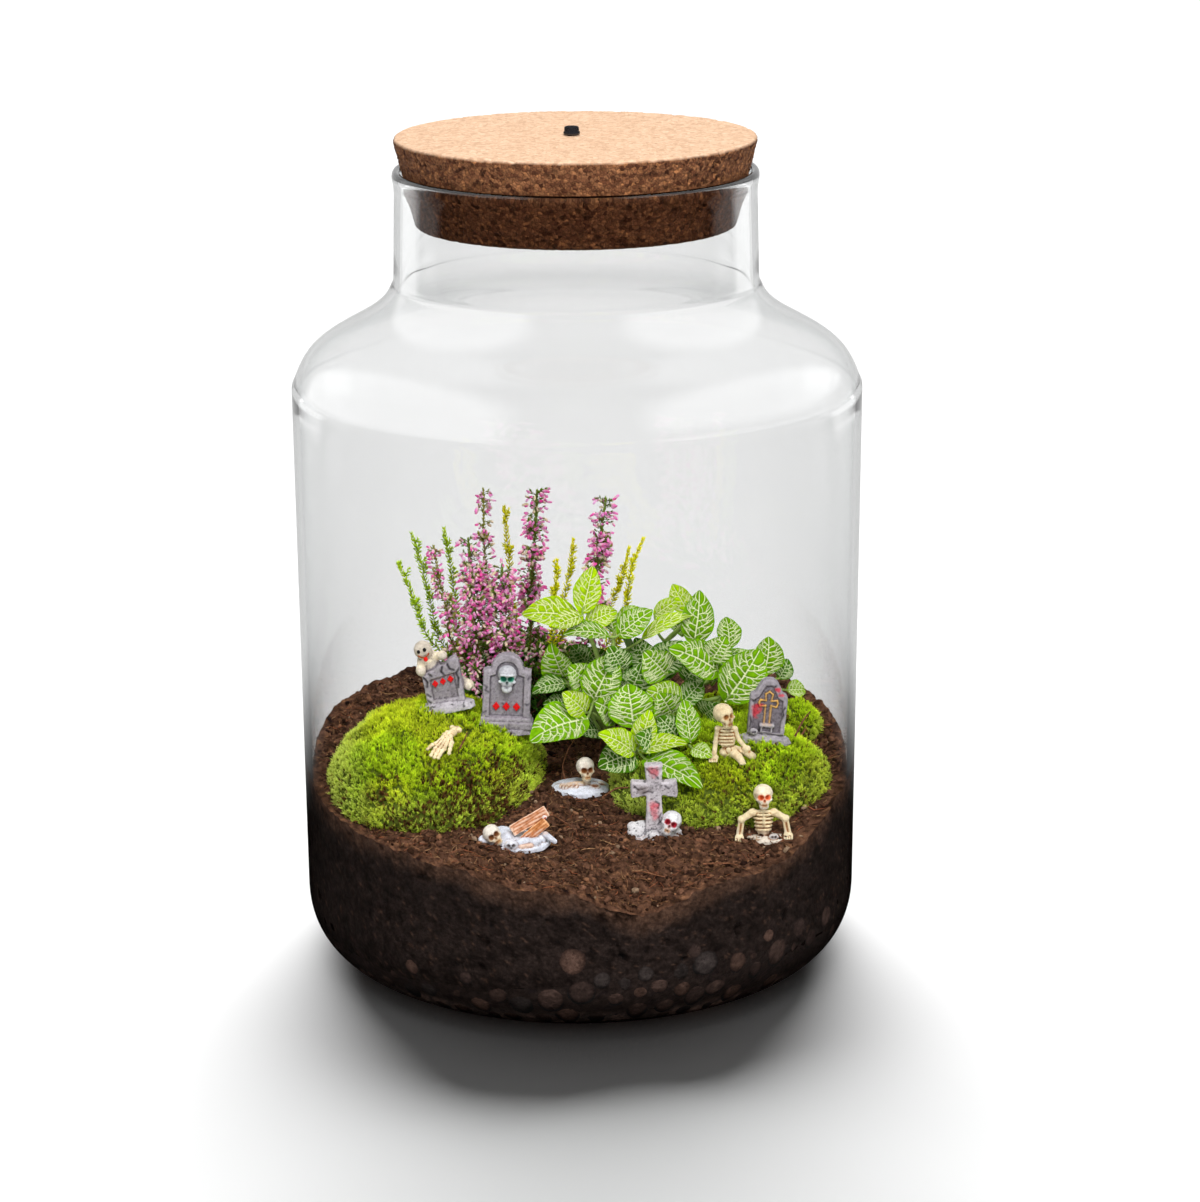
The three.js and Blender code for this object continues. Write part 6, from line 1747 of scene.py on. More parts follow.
        V = self.lo + P * h
        g = np.clip(np.rint(P).astype(int), 0, n - 1)
        f = np.clip(P, 0, n - 1.001)
        i0 = f.astype(int)
        w = f - i0
        C = 0
        for a in (0, 1):
            for b in (0, 1):
                for d in (0, 1):
                    k = (w[:, 0] if a else 1 - w[:, 0]) * (w[:, 1] if b else 1 - w[:, 1]) * (w[:, 2] if d else 1 - w[:, 2])
                    C = C + k[:, None] * self.C[np.minimum(i0[:, 0] + a, n[0] - 1), np.minimum(i0[:, 1] + b, n[1] - 1), np.minimum(i0[:, 2] + d, n[2] - 1)]
        return V, F, C


def ring_mean(V, F, X):
    """The mean of X over each point's neighbours."""
    a = np.concatenate([F[:, 0], F[:, 1], F[:, 2], F[:, 3]])
    b = np.concatenate([F[:, 1], F[:, 2], F[:, 3], F[:, 0]])
    i, j = np.concatenate([a, b]), np.concatenate([b, a])
    cnt = np.bincount(i, minlength=len(V))
    return np.stack([np.bincount(i, X[j, k], len(V)) for k in range(X.shape[1])], -1) / np.maximum(cnt, 1)[:, None]


def point_normals(V, F):
    n = np.cross(V[F[:, 2]] - V[F[:, 0]], V[F[:, 3]] - V[F[:, 1]])
    out = np.zeros_like(V)
    for k in range(4):
        for a in range(3):
            out[:, a] += np.bincount(F[:, k], n[:, a], len(V))
    return unit(out)


def finish_clay(name, node, clay, place, material, wash, wash_at=0.55, relief=0.10, seed=1, relief_size=1.5, bright=1.0,
                extras=(), speckle=None):
    V, F, C = clay.mesh()
    V = V * 0.35 + ring_mean(V, F, V) * 0.65
    N = point_normals(V, F)
    V = V + N * (relief * fbm(V, relief_size, seed, 4, 0.6))[:, None]
    # paint gathers in the hollows and wears off the edges
    S = V
    for _ in range(3):
        S = ring_mean(V, F, S)
    hollow = ((S - V) * N).sum(1)
    T = S
    for _ in range(7):
        T = ring_mean(V, F, T)
    hollow2 = ((T - V) * N).sum(1)
    k = np.clip(smooth(0.006, 0.06, hollow) * 0.95 + smooth(0.03, 0.22, hollow2) * 0.75 + 0.35 * smooth(0.1, 0.6, fbm(V, 2.4, seed + 5, 3)), 0, 1) * wash_at
    C = C * (1 - k[:, None]) + C * np.array(wash) * k[:, None]
    edge = (smooth(0.02, 0.10, -hollow) * 0.24)[:, None]
    C = C * (1 - edge) + np.clip(C * 1.40 + 0.012, 0, 0.95) * edge
    C = C * (1 + 0.14 * noise3(V, 1.0, seed + 7)[:, None] + 0.10 * noise3(V, 4.0, seed + 8)[:, None]) * bright
    if speckle is not None:
        top, amount = speckle
        dot = (smooth(0.42, 0.62, fbm(V, 1.5, seed + 9, 2)) * smooth(top + 1.5, top - 1.5, V[:, 2]) * amount)[:, None]
        C = C * (1 - dot) + np.array([0.035, 0.032, 0.036]) * dot
    C = np.clip(C, 0.006, 0.95)
    faces = [F]
    for v, fs, col in extras:
        for g in fs if isinstance(fs, (list, tuple)) else [fs]:
            faces.append(np.asarray(g) + len(V))
        V = np.vstack([V, v])
        C = np.vstack([C, np.tile(np.asarray(col, float), (len(v), 1))])
    by_size = {}
    for g in faces:
        by_size.setdefault(g.shape[1], []).append(g)
    faces = [np.concatenate(g) for g in by_size.values()]
    x, y, z, lean, tip = place
    M = Matrix.Translation((x, y, z)) @ Matrix.Rotation(math.radians(tip), 4, "X") @ Matrix.Rotation(math.radians(lean), 4, "Y")
    M = np.array(M)
    V = V @ M[:3, :3].T + M[:3, 3]
    mesh_piece(name, V, faces, material, [node], colour=C)


def diamond(x, y, z, w, h, deep=0.9, colour=(0.62, 0.010, 0.012)):
    """A raised lozenge with a small bevel, facing -y. Each face has its own points, so its edges stay crisp."""
    ring = lambda k, yy: [(x + w / 2 * k, yy, z), (x, yy, z + h / 2 * k), (x - w / 2 * k, yy, z), (x, yy, z - h / 2 * k)]
    back, rim, top = ring(1.0, y + 1.0), ring(1.0, y - deep * 0.55), ring(0.74, y - deep)
    quads = [[top[0], top[1], top[2], top[3]]]
    for i in range(4):
        j = (i + 1) % 4
        quads += [[rim[i], rim[j], top[j], top[i]], [back[i], back[j], rim[j], rim[i]]]
    quads.append([back[3], back[2], back[1], back[0]])
    V = np.array(quads, float).reshape(-1, 3)
    return V, np.arange(len(V)).reshape(-1, 4), colour


def bead(c, r, colour, level=2):
    """A smooth round bead, for eyes and the like."""
    V, F = icosphere(level)
    return V * np.broadcast_to(np.array(r, float), (3,)) + np.array(c, float), F, colour


def cord(points, r, colour):
    V, F = tube(spline(points, 5), r, 7)
    return V, F, colour


def make_figures():
    def resin(name, rough):
        m = Mat(name)
        p = m.coords()
        col = m.mix(1.0, col_attr(m), m.ramp(m.noise(p, 0.0011, 5, 0.7), [(0.28, 0.80), (0.5, 1.0), (0.72, 1.18)]), "MULTIPLY")
        r = m.ramp(m.noise(p, 0.002, 3), [(0.3, rough - 0.08), (0.7, rough + 0.1)])
        h = m.math("ADD", m.noise(p, 0.0006, 5, 0.7), m.math("MULTIPLY", m.voronoi(p, 0.0009).outputs["Distance"], 0.4))
        return m.done(m.principled(Base_Color=col, Roughness=r, Specular_IOR_Level=0.35, Normal=m.bump(h, 0.00022, 0.7)))
    stone, bone, white = resin("stone_resin", 0.62), resin("bone_resin", 0.5), resin("white_resin", 0.55)
    rngball = lambda x, y: (1.18 + 0.12 * math.sin(3 * x + y), 1.12 + 0.12 * math.cos(2 * y - x), 1.05)
    GHOST = (0.88, 0.76, 0.55)

    # broken tombstone with a small ghost holding on to it
    c = Clay((-13.5, -6.5, -1), (15, 7.5, 35), 0.3, STONE)
    c.rock(13.2, 6.2, 4.8, (0.4, 0), STONE_PALE, 5, 1.1)
    up = lambda pts: [(x, 2.5 + (z - 2.5) * 1.16) for x, z in pts]
    c.slab(up([(-7.4, 2.5), (9.6, 2.5), (10, 19), (8.6, 21.2), (6, 20.6), (3.4, 18.8), (0.6, 18.9), (-2.4, 17.2), (-5, 16.6), (-7.6, 14.8)]), 6.0, 0.3, STONE, 0.45)
    c.slab(up([(-4.4, 5.2), (7.2, 5.2), (7.2, 15.2), (-4.6, 13.6)]), 1.6, -2.9, (0.22, 0.195, 0.215), 0.25, True, 0.3)
    c.ball((1.6, 1.3, 1.0), (8.4, -1.6, 22.6), STONE, 0.5).ball((1.8, 1.4, 1.0), (-6.0, -1.8, 17.2), STONE, 0.5).ball((1.6, 1.0, 0.8), (1.2, -2.2, 20.6), STONE, 0.4)
    c.ball((4.1, 3.8, 4.3), (-5.2, 0.2, 29.3), GHOST, 0.8).ball((4.8, 3.3, 6.2), (-3.8, 2.9, 22.4), GHOST, 1.4)
    c.ball((2.2, 2.3, 2.5), (-7.6, -1.8, 20.2), GHOST, 0.8).limb((-6.8, 1.4, 24.0), (-7.7, -1.4, 20.6), 2.1, 1.8, GHOST, 1.0)
    c.ball((2.2, 2.3, 2.1), (3.0, -0.6, 25.4), GHOST, 0.8).limb((-1.6, 2.6, 24.6), (2.6, 0.2, 25.4), 2.1, 1.8, GHOST, 1.0)
    c.limb((-2, 4, 18), (11.0, 3.4, 9.8), 2.5, 2.1, GHOST, 1.2).ball((2.4, 2.6, 2.5), (12.3, 1.4, 9.2), GHOST, 0.7)
    for pts in ([(-6.9, 17, 1), (-5.6, 14.6, 1), (-6.1, 12.4, 1)], [(9.8, 19, 1), (7.8, 16.8, 1), (8.6, 14.4, 1), (7.6, 10, 1)], [(-6.8, 9, 1), (-5.4, 7.6, 1)], [(2.2, 20.8, 1), (1.4, 18.6, 1), (2.4, 16.8, 1)],
                [(4.6, 21.8, 1), (5.4, 19.4, 1), (7.2, 18.4, 1)], [(-4.6, 18.6, 1), (-3.2, 17.2, 1)], [(-7.0, 6.0, 1), (-5.8, 4.8, 1)]):
        c.line([(x, -2.75, z) for x, z, _ in pts], 0.36, (0.05, 0.045, 0.05), 0.12, True)
        c.line([(x, 3.35, z + 1) for x, z, _ in pts], 0.36, (0.05, 0.045, 0.05), 0.12, True)
    ink = (0.012, 0.011, 0.012)
    extras = [diamond(x, -2.0, z, 2.9, 3.5, 1.0) for x, z in ((-2.3, 13.2), (1.3, 13.8), (4.9, 14.4))]
    extras += [bead((-6.9, -3.15, 29.6), (0.80, 0.62, 0.92), ink), bead((-4.1, -3.55, 30.3), (0.80, 0.62, 0.92), ink),
               cord([(-7.6, -2.95, 27.9), (-6.2, -3.5, 27.0), (-4.6, -3.75, 26.8), (-3.0, -3.45, 27.6), (-2.4, -3.0, 28.4)], 0.30, (0.30, 0.06, 0.02)),
               bead((-4.3, -3.75, 25.9), (1.0, 0.62, 1.15), (0.80, 0.012, 0.010))]
    finish_clay("ghost_and_stone", "ghost_tombstone", c, (-60.8, -1.5, 107.4, -9, 0), stone, (0.26, 0.23, 0.26), 0.66, 0.24, 11, extras=extras, speckle=(6.5, 0.75))

    # arched tombstone with a skull in relief
    c = Clay((-14, -6, -1), (14, 6, 38), 0.3, STONE)
    c.rock(14.2, 6.0, 3.4, (0, 0), STONE, 9, 0.7).box((24.6, 9.4, 3.6), (0, 0.2, 3.6), STONE, 0.4, round=0.8).box((23, 8.2, 2.4), (0, 0.3, 5.9), STONE, 0.3, round=0.8)
    arch = [(-10.8, 5), (10.8, 5), (10.8, 29), (7.6, 29.6)] + [(7.2 * math.cos(a), 29.6 + 7.2 * math.sin(a)) for a in np.linspace(0.05, math.pi - 0.05, 15)] + [(-7.6, 29.6), (-10.8, 29)]
    c.slab(arch, 6, 0.6, STONE, 0.5, False, 0.9)
    c.slab([(-7.7, 7.6), (7.7, 7.6), (7.7, 26.4), (5.0, 27.2)] + [(4.9 * math.cos(a), 28.6 + 4.9 * math.sin(a)) for a in np.linspace(0.0, math.pi, 11)] + [(-5.0, 27.2), (-7.7, 26.4)],
           2.4, -2.5, (0.24, 0.22, 0.245), 0.25, True, 0.3)
    silver = (0.66, 0.68, 0.71)
    c.ball((4.1, 2.5, 4.2), (0, -1.7, 27.4), silver, 0.4).ball((3.0, 2.3, 3.0), (0, -2.2, 24.0), silver, 0.5).ball((2.4, 2.1, 2.2), (0, -2.5, 20.9), silver, 0.4)
    c.ball((1.3, 1.2, 0.8), (-2.8, -2.9, 24.2), silver, 0.35).ball((1.3, 1.2, 0.8), (2.8, -2.9, 24.2), silver, 0.35)
    c.ball((3.4, 1.0, 0.6), (0, -3.6, 27.5), silver, 0.4)
    for s in (-1, 1):
        c.ball((1.55, 1.7, 1.25), (1.75 * s, -4.3, 25.8), (0.012, 0.17, 0.095), 0.12, True)
        c.ball((0.9, 1.0, 1.6), (3.5 * s, -3.9, 21.9), None, 0.3, True)
        c.paint((1.75 * s, -3.3, 25.8), (1.75, 1.7, 1.4), (0.012, 0.19, 0.105), 1.0, 0.3)
    c.ball((0.5, 0.9, 0.75), (0, -4.3, 24.0), (0.05, 0.10, 0.09), 0.1, True)
    c.line([(-1.8, -4.3, 22.4), (0, -4.7, 22.1), (1.8, -4.3, 22.4)], 0.26, (0.10, 0.10, 0.11), 0.1, True)
    for x in (-1.2, -0.4, 0.4, 1.2):
        c.line([(x, -4.55, 21.6), (x, -4.6, 23.0)], 0.16, (0.14, 0.14, 0.15), 0.06, True)
    for pts in ([(-10.6, 22.4), (-9, 21.2), (-9.6, 19.8), (-8, 18.8)], [(10.6, 14), (9.2, 13.2), (8.4, 13.8)], [(10.6, 27), (9.4, 25.6)], [(-2, 13.4), (-0.4, 12.4), (0.8, 13)], [(-6.6, 34.2), (-5, 33), (-4, 34)], [(-10.4, 9), (-9, 9.8)]):
        c.line([(x, -2.5 if abs(x) > 7.4 else -1.4, z) for x, z in pts], 0.26, STONE_DARK, 0.12, True)
        c.line([(-x, 3.6, z) for x, z in pts], 0.26, STONE_DARK, 0.12, True)
    extras = [diamond(x, -1.35, 12.0, 3.3, 4.2, 1.1) for x in (-4.6, 0.0, 4.6)]
    finish_clay("arched_stone", "skull_tombstone", c, (-33.6, -5.6, 98.2, 2.5, 0), stone, (0.26, 0.23, 0.26), 0.66, 0.22, 12, extras=extras, speckle=(5.5, 0.45))

    # hand of bones
    c = Clay((-10, -14, -6), (11, 14, 6), 0.24, BONE)
    lie = lambda x, y, up=0.0: np.array([x, y, 0.17 * y - 0.5 + up])
    for a, b, r in (((-2.8, -0.2), (-6.0, -3.6), 1.0), ((-1.6, -2.4), (-4.2, -9.0), 1.1), ((-0.2, -3.8), (-2.7, -10.8), 1.12), ((1.3, -4.6), (-0.9, -11.2), 1.05), ((4.4, 0.6), (3.6, -7.4), 1.1)):
        a, b = np.array(a), np.array(b)
        for t0, t1, k in ((0.0, 0.36, 1.0), (0.36, 0.70, 0.92), (0.70, 1.0, 0.82)):
            rise = lambda t: 0.9 * math.sin(math.pi * min(1, 0.25 + t * 0.8))
            p, q = lie(*(a + (b - a) * t0), rise(t0)), lie(*(a + (b - a) * t1), rise(t1))
            c.limb(p, q, r * 0.80 * k, r * 0.72 * k, BONE, 0.16).ball(r * 1.12 * k, p, BONE, 0.16)
        c.ball(r * 0.80, lie(*b, 0.1), BONE, 0.2)
    for a, b in (((-2.8, -0.2), (0.4, 4.2)), ((-1.6, -2.4), (1.4, 4.6)), ((-0.2, -3.8), (2.4, 4.6)), ((1.3, -4.6), (3.2, 4.4)), ((4.4, 0.6), (3.8, 4.8))):
        c.limb(lie(*a, 0.7), lie(*b, 1.2), 0.86, 0.95, BONE, 0.22)
    for x, y in ((0.4, 4.4), (2.2, 4.0), (3.9, 5.2), (0.9, 6.4), (2.8, 6.4), (4.6, 7.2), (2.2, 8.4), (4.0, 9.0)):
        c.ball(rngball(x, y), lie(x, y, 1.5), BONE, 0.14)
    c.limb(lie(3.6, 7.8, 0.9), lie(6.0, 12.0, 1.0), 1.8, 1.9, BONE, 0.4).ball((1.45, 1.3, 1.3), lie(4.4, 12.0, 1.8), BONE, 0.2).ball((1.5, 1.35, 1.35), lie(7.2, 10.2, 1.7), BONE, 0.2)
    c.ball((0.9, 0.9, 0.8), lie(5.9, 12.2, 2.2), BONE_WASH, 0.2, True)
    finish_clay("hand_of_bones", "bone_hand", c, (-61, -36.4, 102.9, 0, 0), bone, (0.36, 0.16, 0.06), 1.0, 0.10, 13)

    # skull coming out of the ground
    c = Clay((-14, -10.5, -1), (14, 10, 18), 0.28, PLATE)
    c.rock(13.6, 9.2, 3.6, (0, 0), PLATE, 14, 0.45)
    c.skull((2.3, -1.4, 11.3), 4.25, yaw=14, pitch=-6, sockets=(0.24, 0.095, 0.03))
    c.limb((2.4, -0.8, 2.4), (2.4, -0.8, 7.0), 1.9, 1.6, BONE, 0.5)
    for z in (3.8, 5.2):
        c.ball((1.9, 1.8, 0.55), (2.4, -0.9, z), BONE, 0.2)
    TAN = (0.50, 0.30, 0.13)
    c.line([(-8.4, -2.2, 3.2), (-5.4, -3.0, 3.8), (-2.6, -2.4, 4.1), (0.6, -2.4, 4.2)], 1.05, TAN, 0.25)
    for x, y in ((-8.8, -3.2), (-7.4, -3.8), (-6.0, -4.2), (-3.6, -3.6), (-1.4, -3.6)):
        c.limb((x, y + 0.6, 3.6), (x - 0.5, y - 0.9, 3.1), 0.6, 0.5, TAN, 0.15)
    c.ball((2.3, 1.5, 0.9), (6.6, -3.3, 3.1), (0.72, 0.55, 0.33), 0.3).ball((1.5, 0.9, 0.8), (6.6, -3.9, 3.7), (0.20, 0.07, 0.02), 0.15, True).limb((8.6, 0.8, 3.3), (11, 0.2, 2.5), 0.6, 0.5, BONE, 0.2)
    for p, r in (((-5.6, -1.2, 3.4), 2.6), ((6.4, 1.4, 3.2), 1.8), ((9.4, -0.6, 2.6), 1.7), ((-10, 1.0, 2.4), 1.6), ((5.0, -3.0, 3.6), 1.5)):
        c.paint(p, (r, r * 0.7, 0.9), (0.28, 0.13, 0.05), 0.8, 0.7, seed=15)
    finish_clay("skull_in_the_ground", "ground_skull", c, (0.2, -20.6, 75.0, 0, 4), bone, (0.42, 0.21, 0.09), 0.78, 0.12, 14)

    # grave slab with a skull and a broken coffin lid
    c = Clay((-17, -11.5, -1), (20, 11.5, 17), 0.28, PLATE)
    ORANGE = (1.0, 0.43, 0.065)
    c.rock(16.0, 9.6, 3.2, (0.2, 0), PLATE, 17, 0.8)
    for x, y, r in ((-5, 4.4, 3.2), (1, 5.6, 2.8), (-9.5, 3, 2.6), (6, -3.4, 2.4), (11.6, -1.6, 2.2), (-2.4, 1, 2.6), (-12.4, -2.6, 2.4), (3.4, -5.0, 2.2), (9.2, -4.6, 2.0)):
        c.ball((r * 1.15, r, 1.8), (x, y, 3.4), PLATE, 1.1)
    c.skull((-9.0, -3.4, 6.4), 3.9, yaw=24, pitch=-22, roll=-30, sockets=(0.22, 0.085, 0.03))
    c.ball((2.9, 2.2, 2.2), (-1.0, -7.0, 3.2), (0.66, 0.64, 0.66), 0.35)
    for s_ in (-1, 1):
        c.ball((0.75, 0.9, 0.65), (-1.0 + 1.1 * s_, -8.9, 3.7), (0.08, 0.07, 0.07), 0.1, True)
    c.ball((0.4, 0.7, 0.4), (-1.0, -9.1, 2.7), (0.08, 0.07, 0.07), 0.1, True)
    # two planks lying side by side, broken to different lengths
    u = unit((12.5, 3.0, 8.0))
    w = unit((5.0, -3.5, -6.9))
    w = unit(w - u * (u @ w))
    nrm = np.cross(u, w)
    nrm = nrm if nrm[1] < 0 else -nrm
    R = np.stack([u, w, nrm], 1)
    planks = []
    for off, length, width, turned, tone in ((-2.6, 17.5, 5.0, 4, 1.0), (2.5, 14.0, 4.6, -6, 0.82)):
        a_ = math.radians(turned)
        R2 = R @ np.array([[math.cos(a_), -math.sin(a_), 0], [math.sin(a_), math.cos(a_), 0], [0, 0, 1]])
        cc = np.array([8.2, -0.4, 8.7]) + w * off + nrm * (0.5 if off > 0 else 0.0) - u * (0.9 if off > 0 else 0)
        c.box((length, width, 1.8), cc, np.array(ORANGE) * tone, 0.08, R=R2, round=0.3)
        planks.append((R2, cc, length, width, tone))
    for R2, cc, length, width, tone in planks:
        for k, y in enumerate(np.linspace(-width / 2 + 0.7, width / 2 - 0.7, 4)):
            pts = [cc + R2 @ np.array([x, y + 0.25 * math.sin(2.1 * k + x * 0.5), 1.0]) for x in np.linspace(-length / 2 + 0.8 + 0.7 * (k % 2), length / 2 - 0.8, 6)]
            c.line(pts, 0.24, (0.42, 0.12, 0.02), 0.08, True)
    lab = np.array([8.2, -0.4, 8.7]) + u * 6.4 - w * 0.2 + nrm * 1.0
    extras = [bead(lab, (1.1, 0.55, 1.0), (0.85, 0.72, 0.68)), bead(lab + (0.25, -0.5, -0.1), (0.45, 0.3, 0.45), (0.55, 0.08, 0.03))]
    c.limb((9.4, 3.2, 2), (10.4, 3.4, 9.6), 1.3, 1.1, PLATE, 0.5).limb((13.6, -2.2, 5.6), (17.6, -3.0, 2.4), 1.25, 1.1, (0.62, 0.62, 0.68), 0.4)
    c.limb((3.4, -7.4, 2.4), (7.6, -6.6, 2.6), 1.0, 0.9, np.array(ORANGE) * 0.8, 0.2)
    finish_clay("grave_and_coffin_lid", "open_grave", c, (-28.6, -77.0, 71.9, 0, 9), white, (0.40, 0.26, 0.18), 0.66, 0.17, 15, extras=extras)

    # stone cross on a rocky foot with a skull
    c = Clay((-14, -10.5, -1), (14, 8.5, 38.5), 0.3, STONE_PALE)
    CROSS = (0.42, 0.365, 0.385)
    c.rock(12.4, 8.0, 5.2, (0, 0), (0.56, 0.54, 0.55), 22, 1.3)
    for x, y, z, r in ((-8.6, -1.4, 4.2, 3.6), (-6.0, 1.6, 5.4, 3.4), (-10.0, 0.6, 6.2, 2.4), (3.0, 1.6, 4.4, 3.6), (-1.0, -4.4, 3.4, 2.8), (9.6, 1.0, 3.0, 2.6)):
        c.ball((r * 1.1, r, r * 0.8), (x * 0.94, y, z), (0.60, 0.58, 0.59), 0.7)
    shape = [(-4.2, 4), (4.2, 4), (3.5, 12), (3.3, 20.2), (3.9, 20.9), (9.4, 20.0), (10.2, 20.9), (10.0, 26.9), (9.3, 27.6), (3.9, 26.9), (3.3, 27.5), (3.9, 34.5), (3.1, 35.2), (-3.1, 35.2),
             (-3.9, 34.5), (-3.3, 27.5), (-3.9, 26.9), (-9.3, 27.6), (-10.2, 26.9), (-10.0, 20.9), (-9.4, 20.0), (-3.9, 20.9), (-3.3, 20.2), (-3.5, 12)]
    c.slab([(x - 0.1, z) for x, z in shape], 4.9, 0.4, CROSS, 0.45, False, 0.9)
    for s_ in (-1, 1):
        c.box((1.0, 5.6, 7.4), (-0.1 + 9.3 * s_, 0.4, 23.8), CROSS, 0.5, round=0.5)
    c.box((7.6, 5.6, 1.0), (-0.1, 0.4, 34.4), CROSS, 0.5, round=0.5)
    c.skull((7.0, -4.2, 9.6), 4.5, yaw=-10, pitch=-14, roll=26, bone=(0.82, 0.82, 0.84), sockets=(0.34, 0.008, 0.025), deep=0.16)
    for pts in ([(-8.6, 25.4), (-6.6, 24.0), (-5.0, 24.4)], [(3, 13), (1.6, 11), (2.4, 9.0), (1.2, 7.6)], [(-3.0, 33.4), (-1.2, 31.6), (0.6, 30.8), (1.8, 29)], [(0.6, 18.4), (2.0, 17.2), (1.4, 15.4)], [(-4.6, 22.4), (-2.6, 23.4), (-0.8, 22.6)], [(4.6, 25.6), (6.4, 24.2)]):
        c.line([(x, -2.1, z) for x, z in pts], 0.26, STONE_DARK, 0.12, True)
        c.line([(-x - 1, 2.9, z) for x, z in pts], 0.26, STONE_DARK, 0.12, True)
    for x, z, rx, rz_, s in ((-0.2, 32.2, 3.4, 3.4, 0.85), (-0.4, 16.0, 2.8, 3.4, 0.9), (0.4, 12.4, 2.2, 3, 0.7)):
        c.paint((x, -2.3, z), (rx, 2.0, rz_), PINKRED, s, 0.8, seed=23)
    c.paint((-4.6, -1.6, 23.6), (5.6, 3, 3.0), (0.13, 0.095, 0.085), 0.75, 0.85, seed=24)
    c.paint((4.6, -1.6, 23.6), (5.6, 3, 3.0), (0.20, 0.17, 0.17), 0.4, 0.85, seed=25)
    finish_clay("cross_and_skull", "cross_tombstone", c, (32.6, -61.6, 67.0, -1.0, 0), stone, (0.18, 0.165, 0.18), 0.80, 0.30, 16, speckle=(7.5, 0.8))

    # skeleton sitting on the moss
    c = Clay((-10, -8.5, -1), (12.5, 7, 27.5), 0.26, BONE)
    c.skull((-2.4, -0.2, 21.6), 4.5, yaw=34, pitch=-4, roll=-6, sockets=(0.58, 0.38, 0.18), deep=0.20)
    c.limb((-1.6, 0.6, 17.6), (-1.4, 0.9, 15.2), 1.2, 1.2, BONE, 0.4)
    c.ball((3.9, 2.6, 5.2), (-0.9, 0.9, 10.6), BONE, 0.6).ball((1.5, 1.4, 1.3), (-5.0, 0.4, 15.0), BONE, 0.3).ball((1.5, 1.4, 1.3), (2.4, 0.4, 14.8), BONE, 0.3)
    for x, y, z, r in ((-2.6, -2.4, 4.6, 1.3), (1.6, -2.6, 4.4, 1.4), (-0.4, -2.2, 5.8, 1.2), (-6.9, -1.6, 3.6, 1.4), (7.4, -1.4, 5.6, 1.5), (9.8, -3.2, 3.6, 1.4), (4.8, -5.2, 2.6, 1.4), (2.6, -3.6, 3.6, 1.3)):
        c.ball(r, (x, y, z), BONE, 0.25)
    for i, z in enumerate((14.2, 12.6, 11.0, 9.4, 7.9)):
        w = 3.9 - 0.28 * abs(i - 1.5)
        c.line([(-1.2 - w, 1.2, z - 0.3), (-1.2 - w * 0.62, -1.2, z + 0.1), (-1.0, -2.0, z + 0.3), (-1.0 + w * 0.62, -1.2, z + 0.1), (-1.0 + w, 1.2, z - 0.3)], 0.50, BONE, 0.18)
    c.line([(-5.0, 0.4, 15.2), (-1.4, -0.6, 15.6), (2.2, 0.4, 15.0)], 0.8, BONE, 0.3)
    c.ball((4.6, 3.8, 2.9), (0.2, 0.8, 3.6), BONE, 0.7)
    c.limb((-5.0, 0.4, 14.8), (-6.0, 0.6, 8.6), 1.25, 1.0, BONE, 0.3).limb((-6.0, 0.6, 8.6), (-6.6, -1.2, 3.4), 1.0, 1.15, BONE, 0.3).ball((1.3, 1.3, 1.2), (-6.0, 0.6, 8.6), BONE, 0.3)
    c.ball((2.3, 2.0, 1.5), (-7.0, -2.0, 2.2), BONE, 0.4)
    for x in (-8.6, -7.6, -6.6, -5.6):
        c.limb((x, -2.6, 2.0), (x - 0.2, -4.4, 1.2), 0.6, 0.5, BONE, 0.2)
    c.limb((2.4, 0.4, 14.6), (4.4, 0.2, 9.6), 1.2, 1.0, BONE, 0.3).limb((4.4, 0.2, 9.6), (7.0, -1.0, 6.6), 1.0, 1.0, BONE, 0.3).ball((1.9, 1.6, 1.3), (7.6, -1.4, 6.2), BONE, 0.4)
    c.limb((1.6, -0.6, 4.4), (4.0, -4.2, 2.9), 2.2, 1.7, BONE, 0.5).limb((4.0, -4.2, 2.9), (5.4, -6.0, 1.4), 1.6, 1.5, BONE, 0.4).ball((1.7, 1.5, 1.6), (4.0, -4.0, 3.4), BONE, 0.4)
    c.limb((3.0, 0.8, 4.6), (7.0, -0.4, 4.6), 2.1, 1.8, BONE, 0.5).limb((7.0, -0.4, 4.4), (10.0, -2.2, 2.8), 1.9, 1.7, BONE, 0.4).ball((1.9, 1.8, 1.6), (9.8, -2.4, 2.9), BONE, 0.4)
    for x, y in ((4.6, -6.9), (5.5, -7.1), (6.4, -6.7)):
        c.limb((x, y + 1, 1.3), (x + 0.1, y - 0.3, 1.0), 0.55, 0.5, BONE, 0.15)
    for x, y in ((10.6, -3.4), (11.2, -2.6), (11.4, -1.7)):
        c.limb((x - 0.9, y + 0.3, 2.8), (x, y, 2.2), 0.6, 0.5, BONE, 0.15)
    finish_clay("seated_bones", "sitting_skeleton", c, (66, -37, 94.4, 0, 0), bone, (0.44, 0.23, 0.10), 0.95, 0.12, 17, bright=0.84)

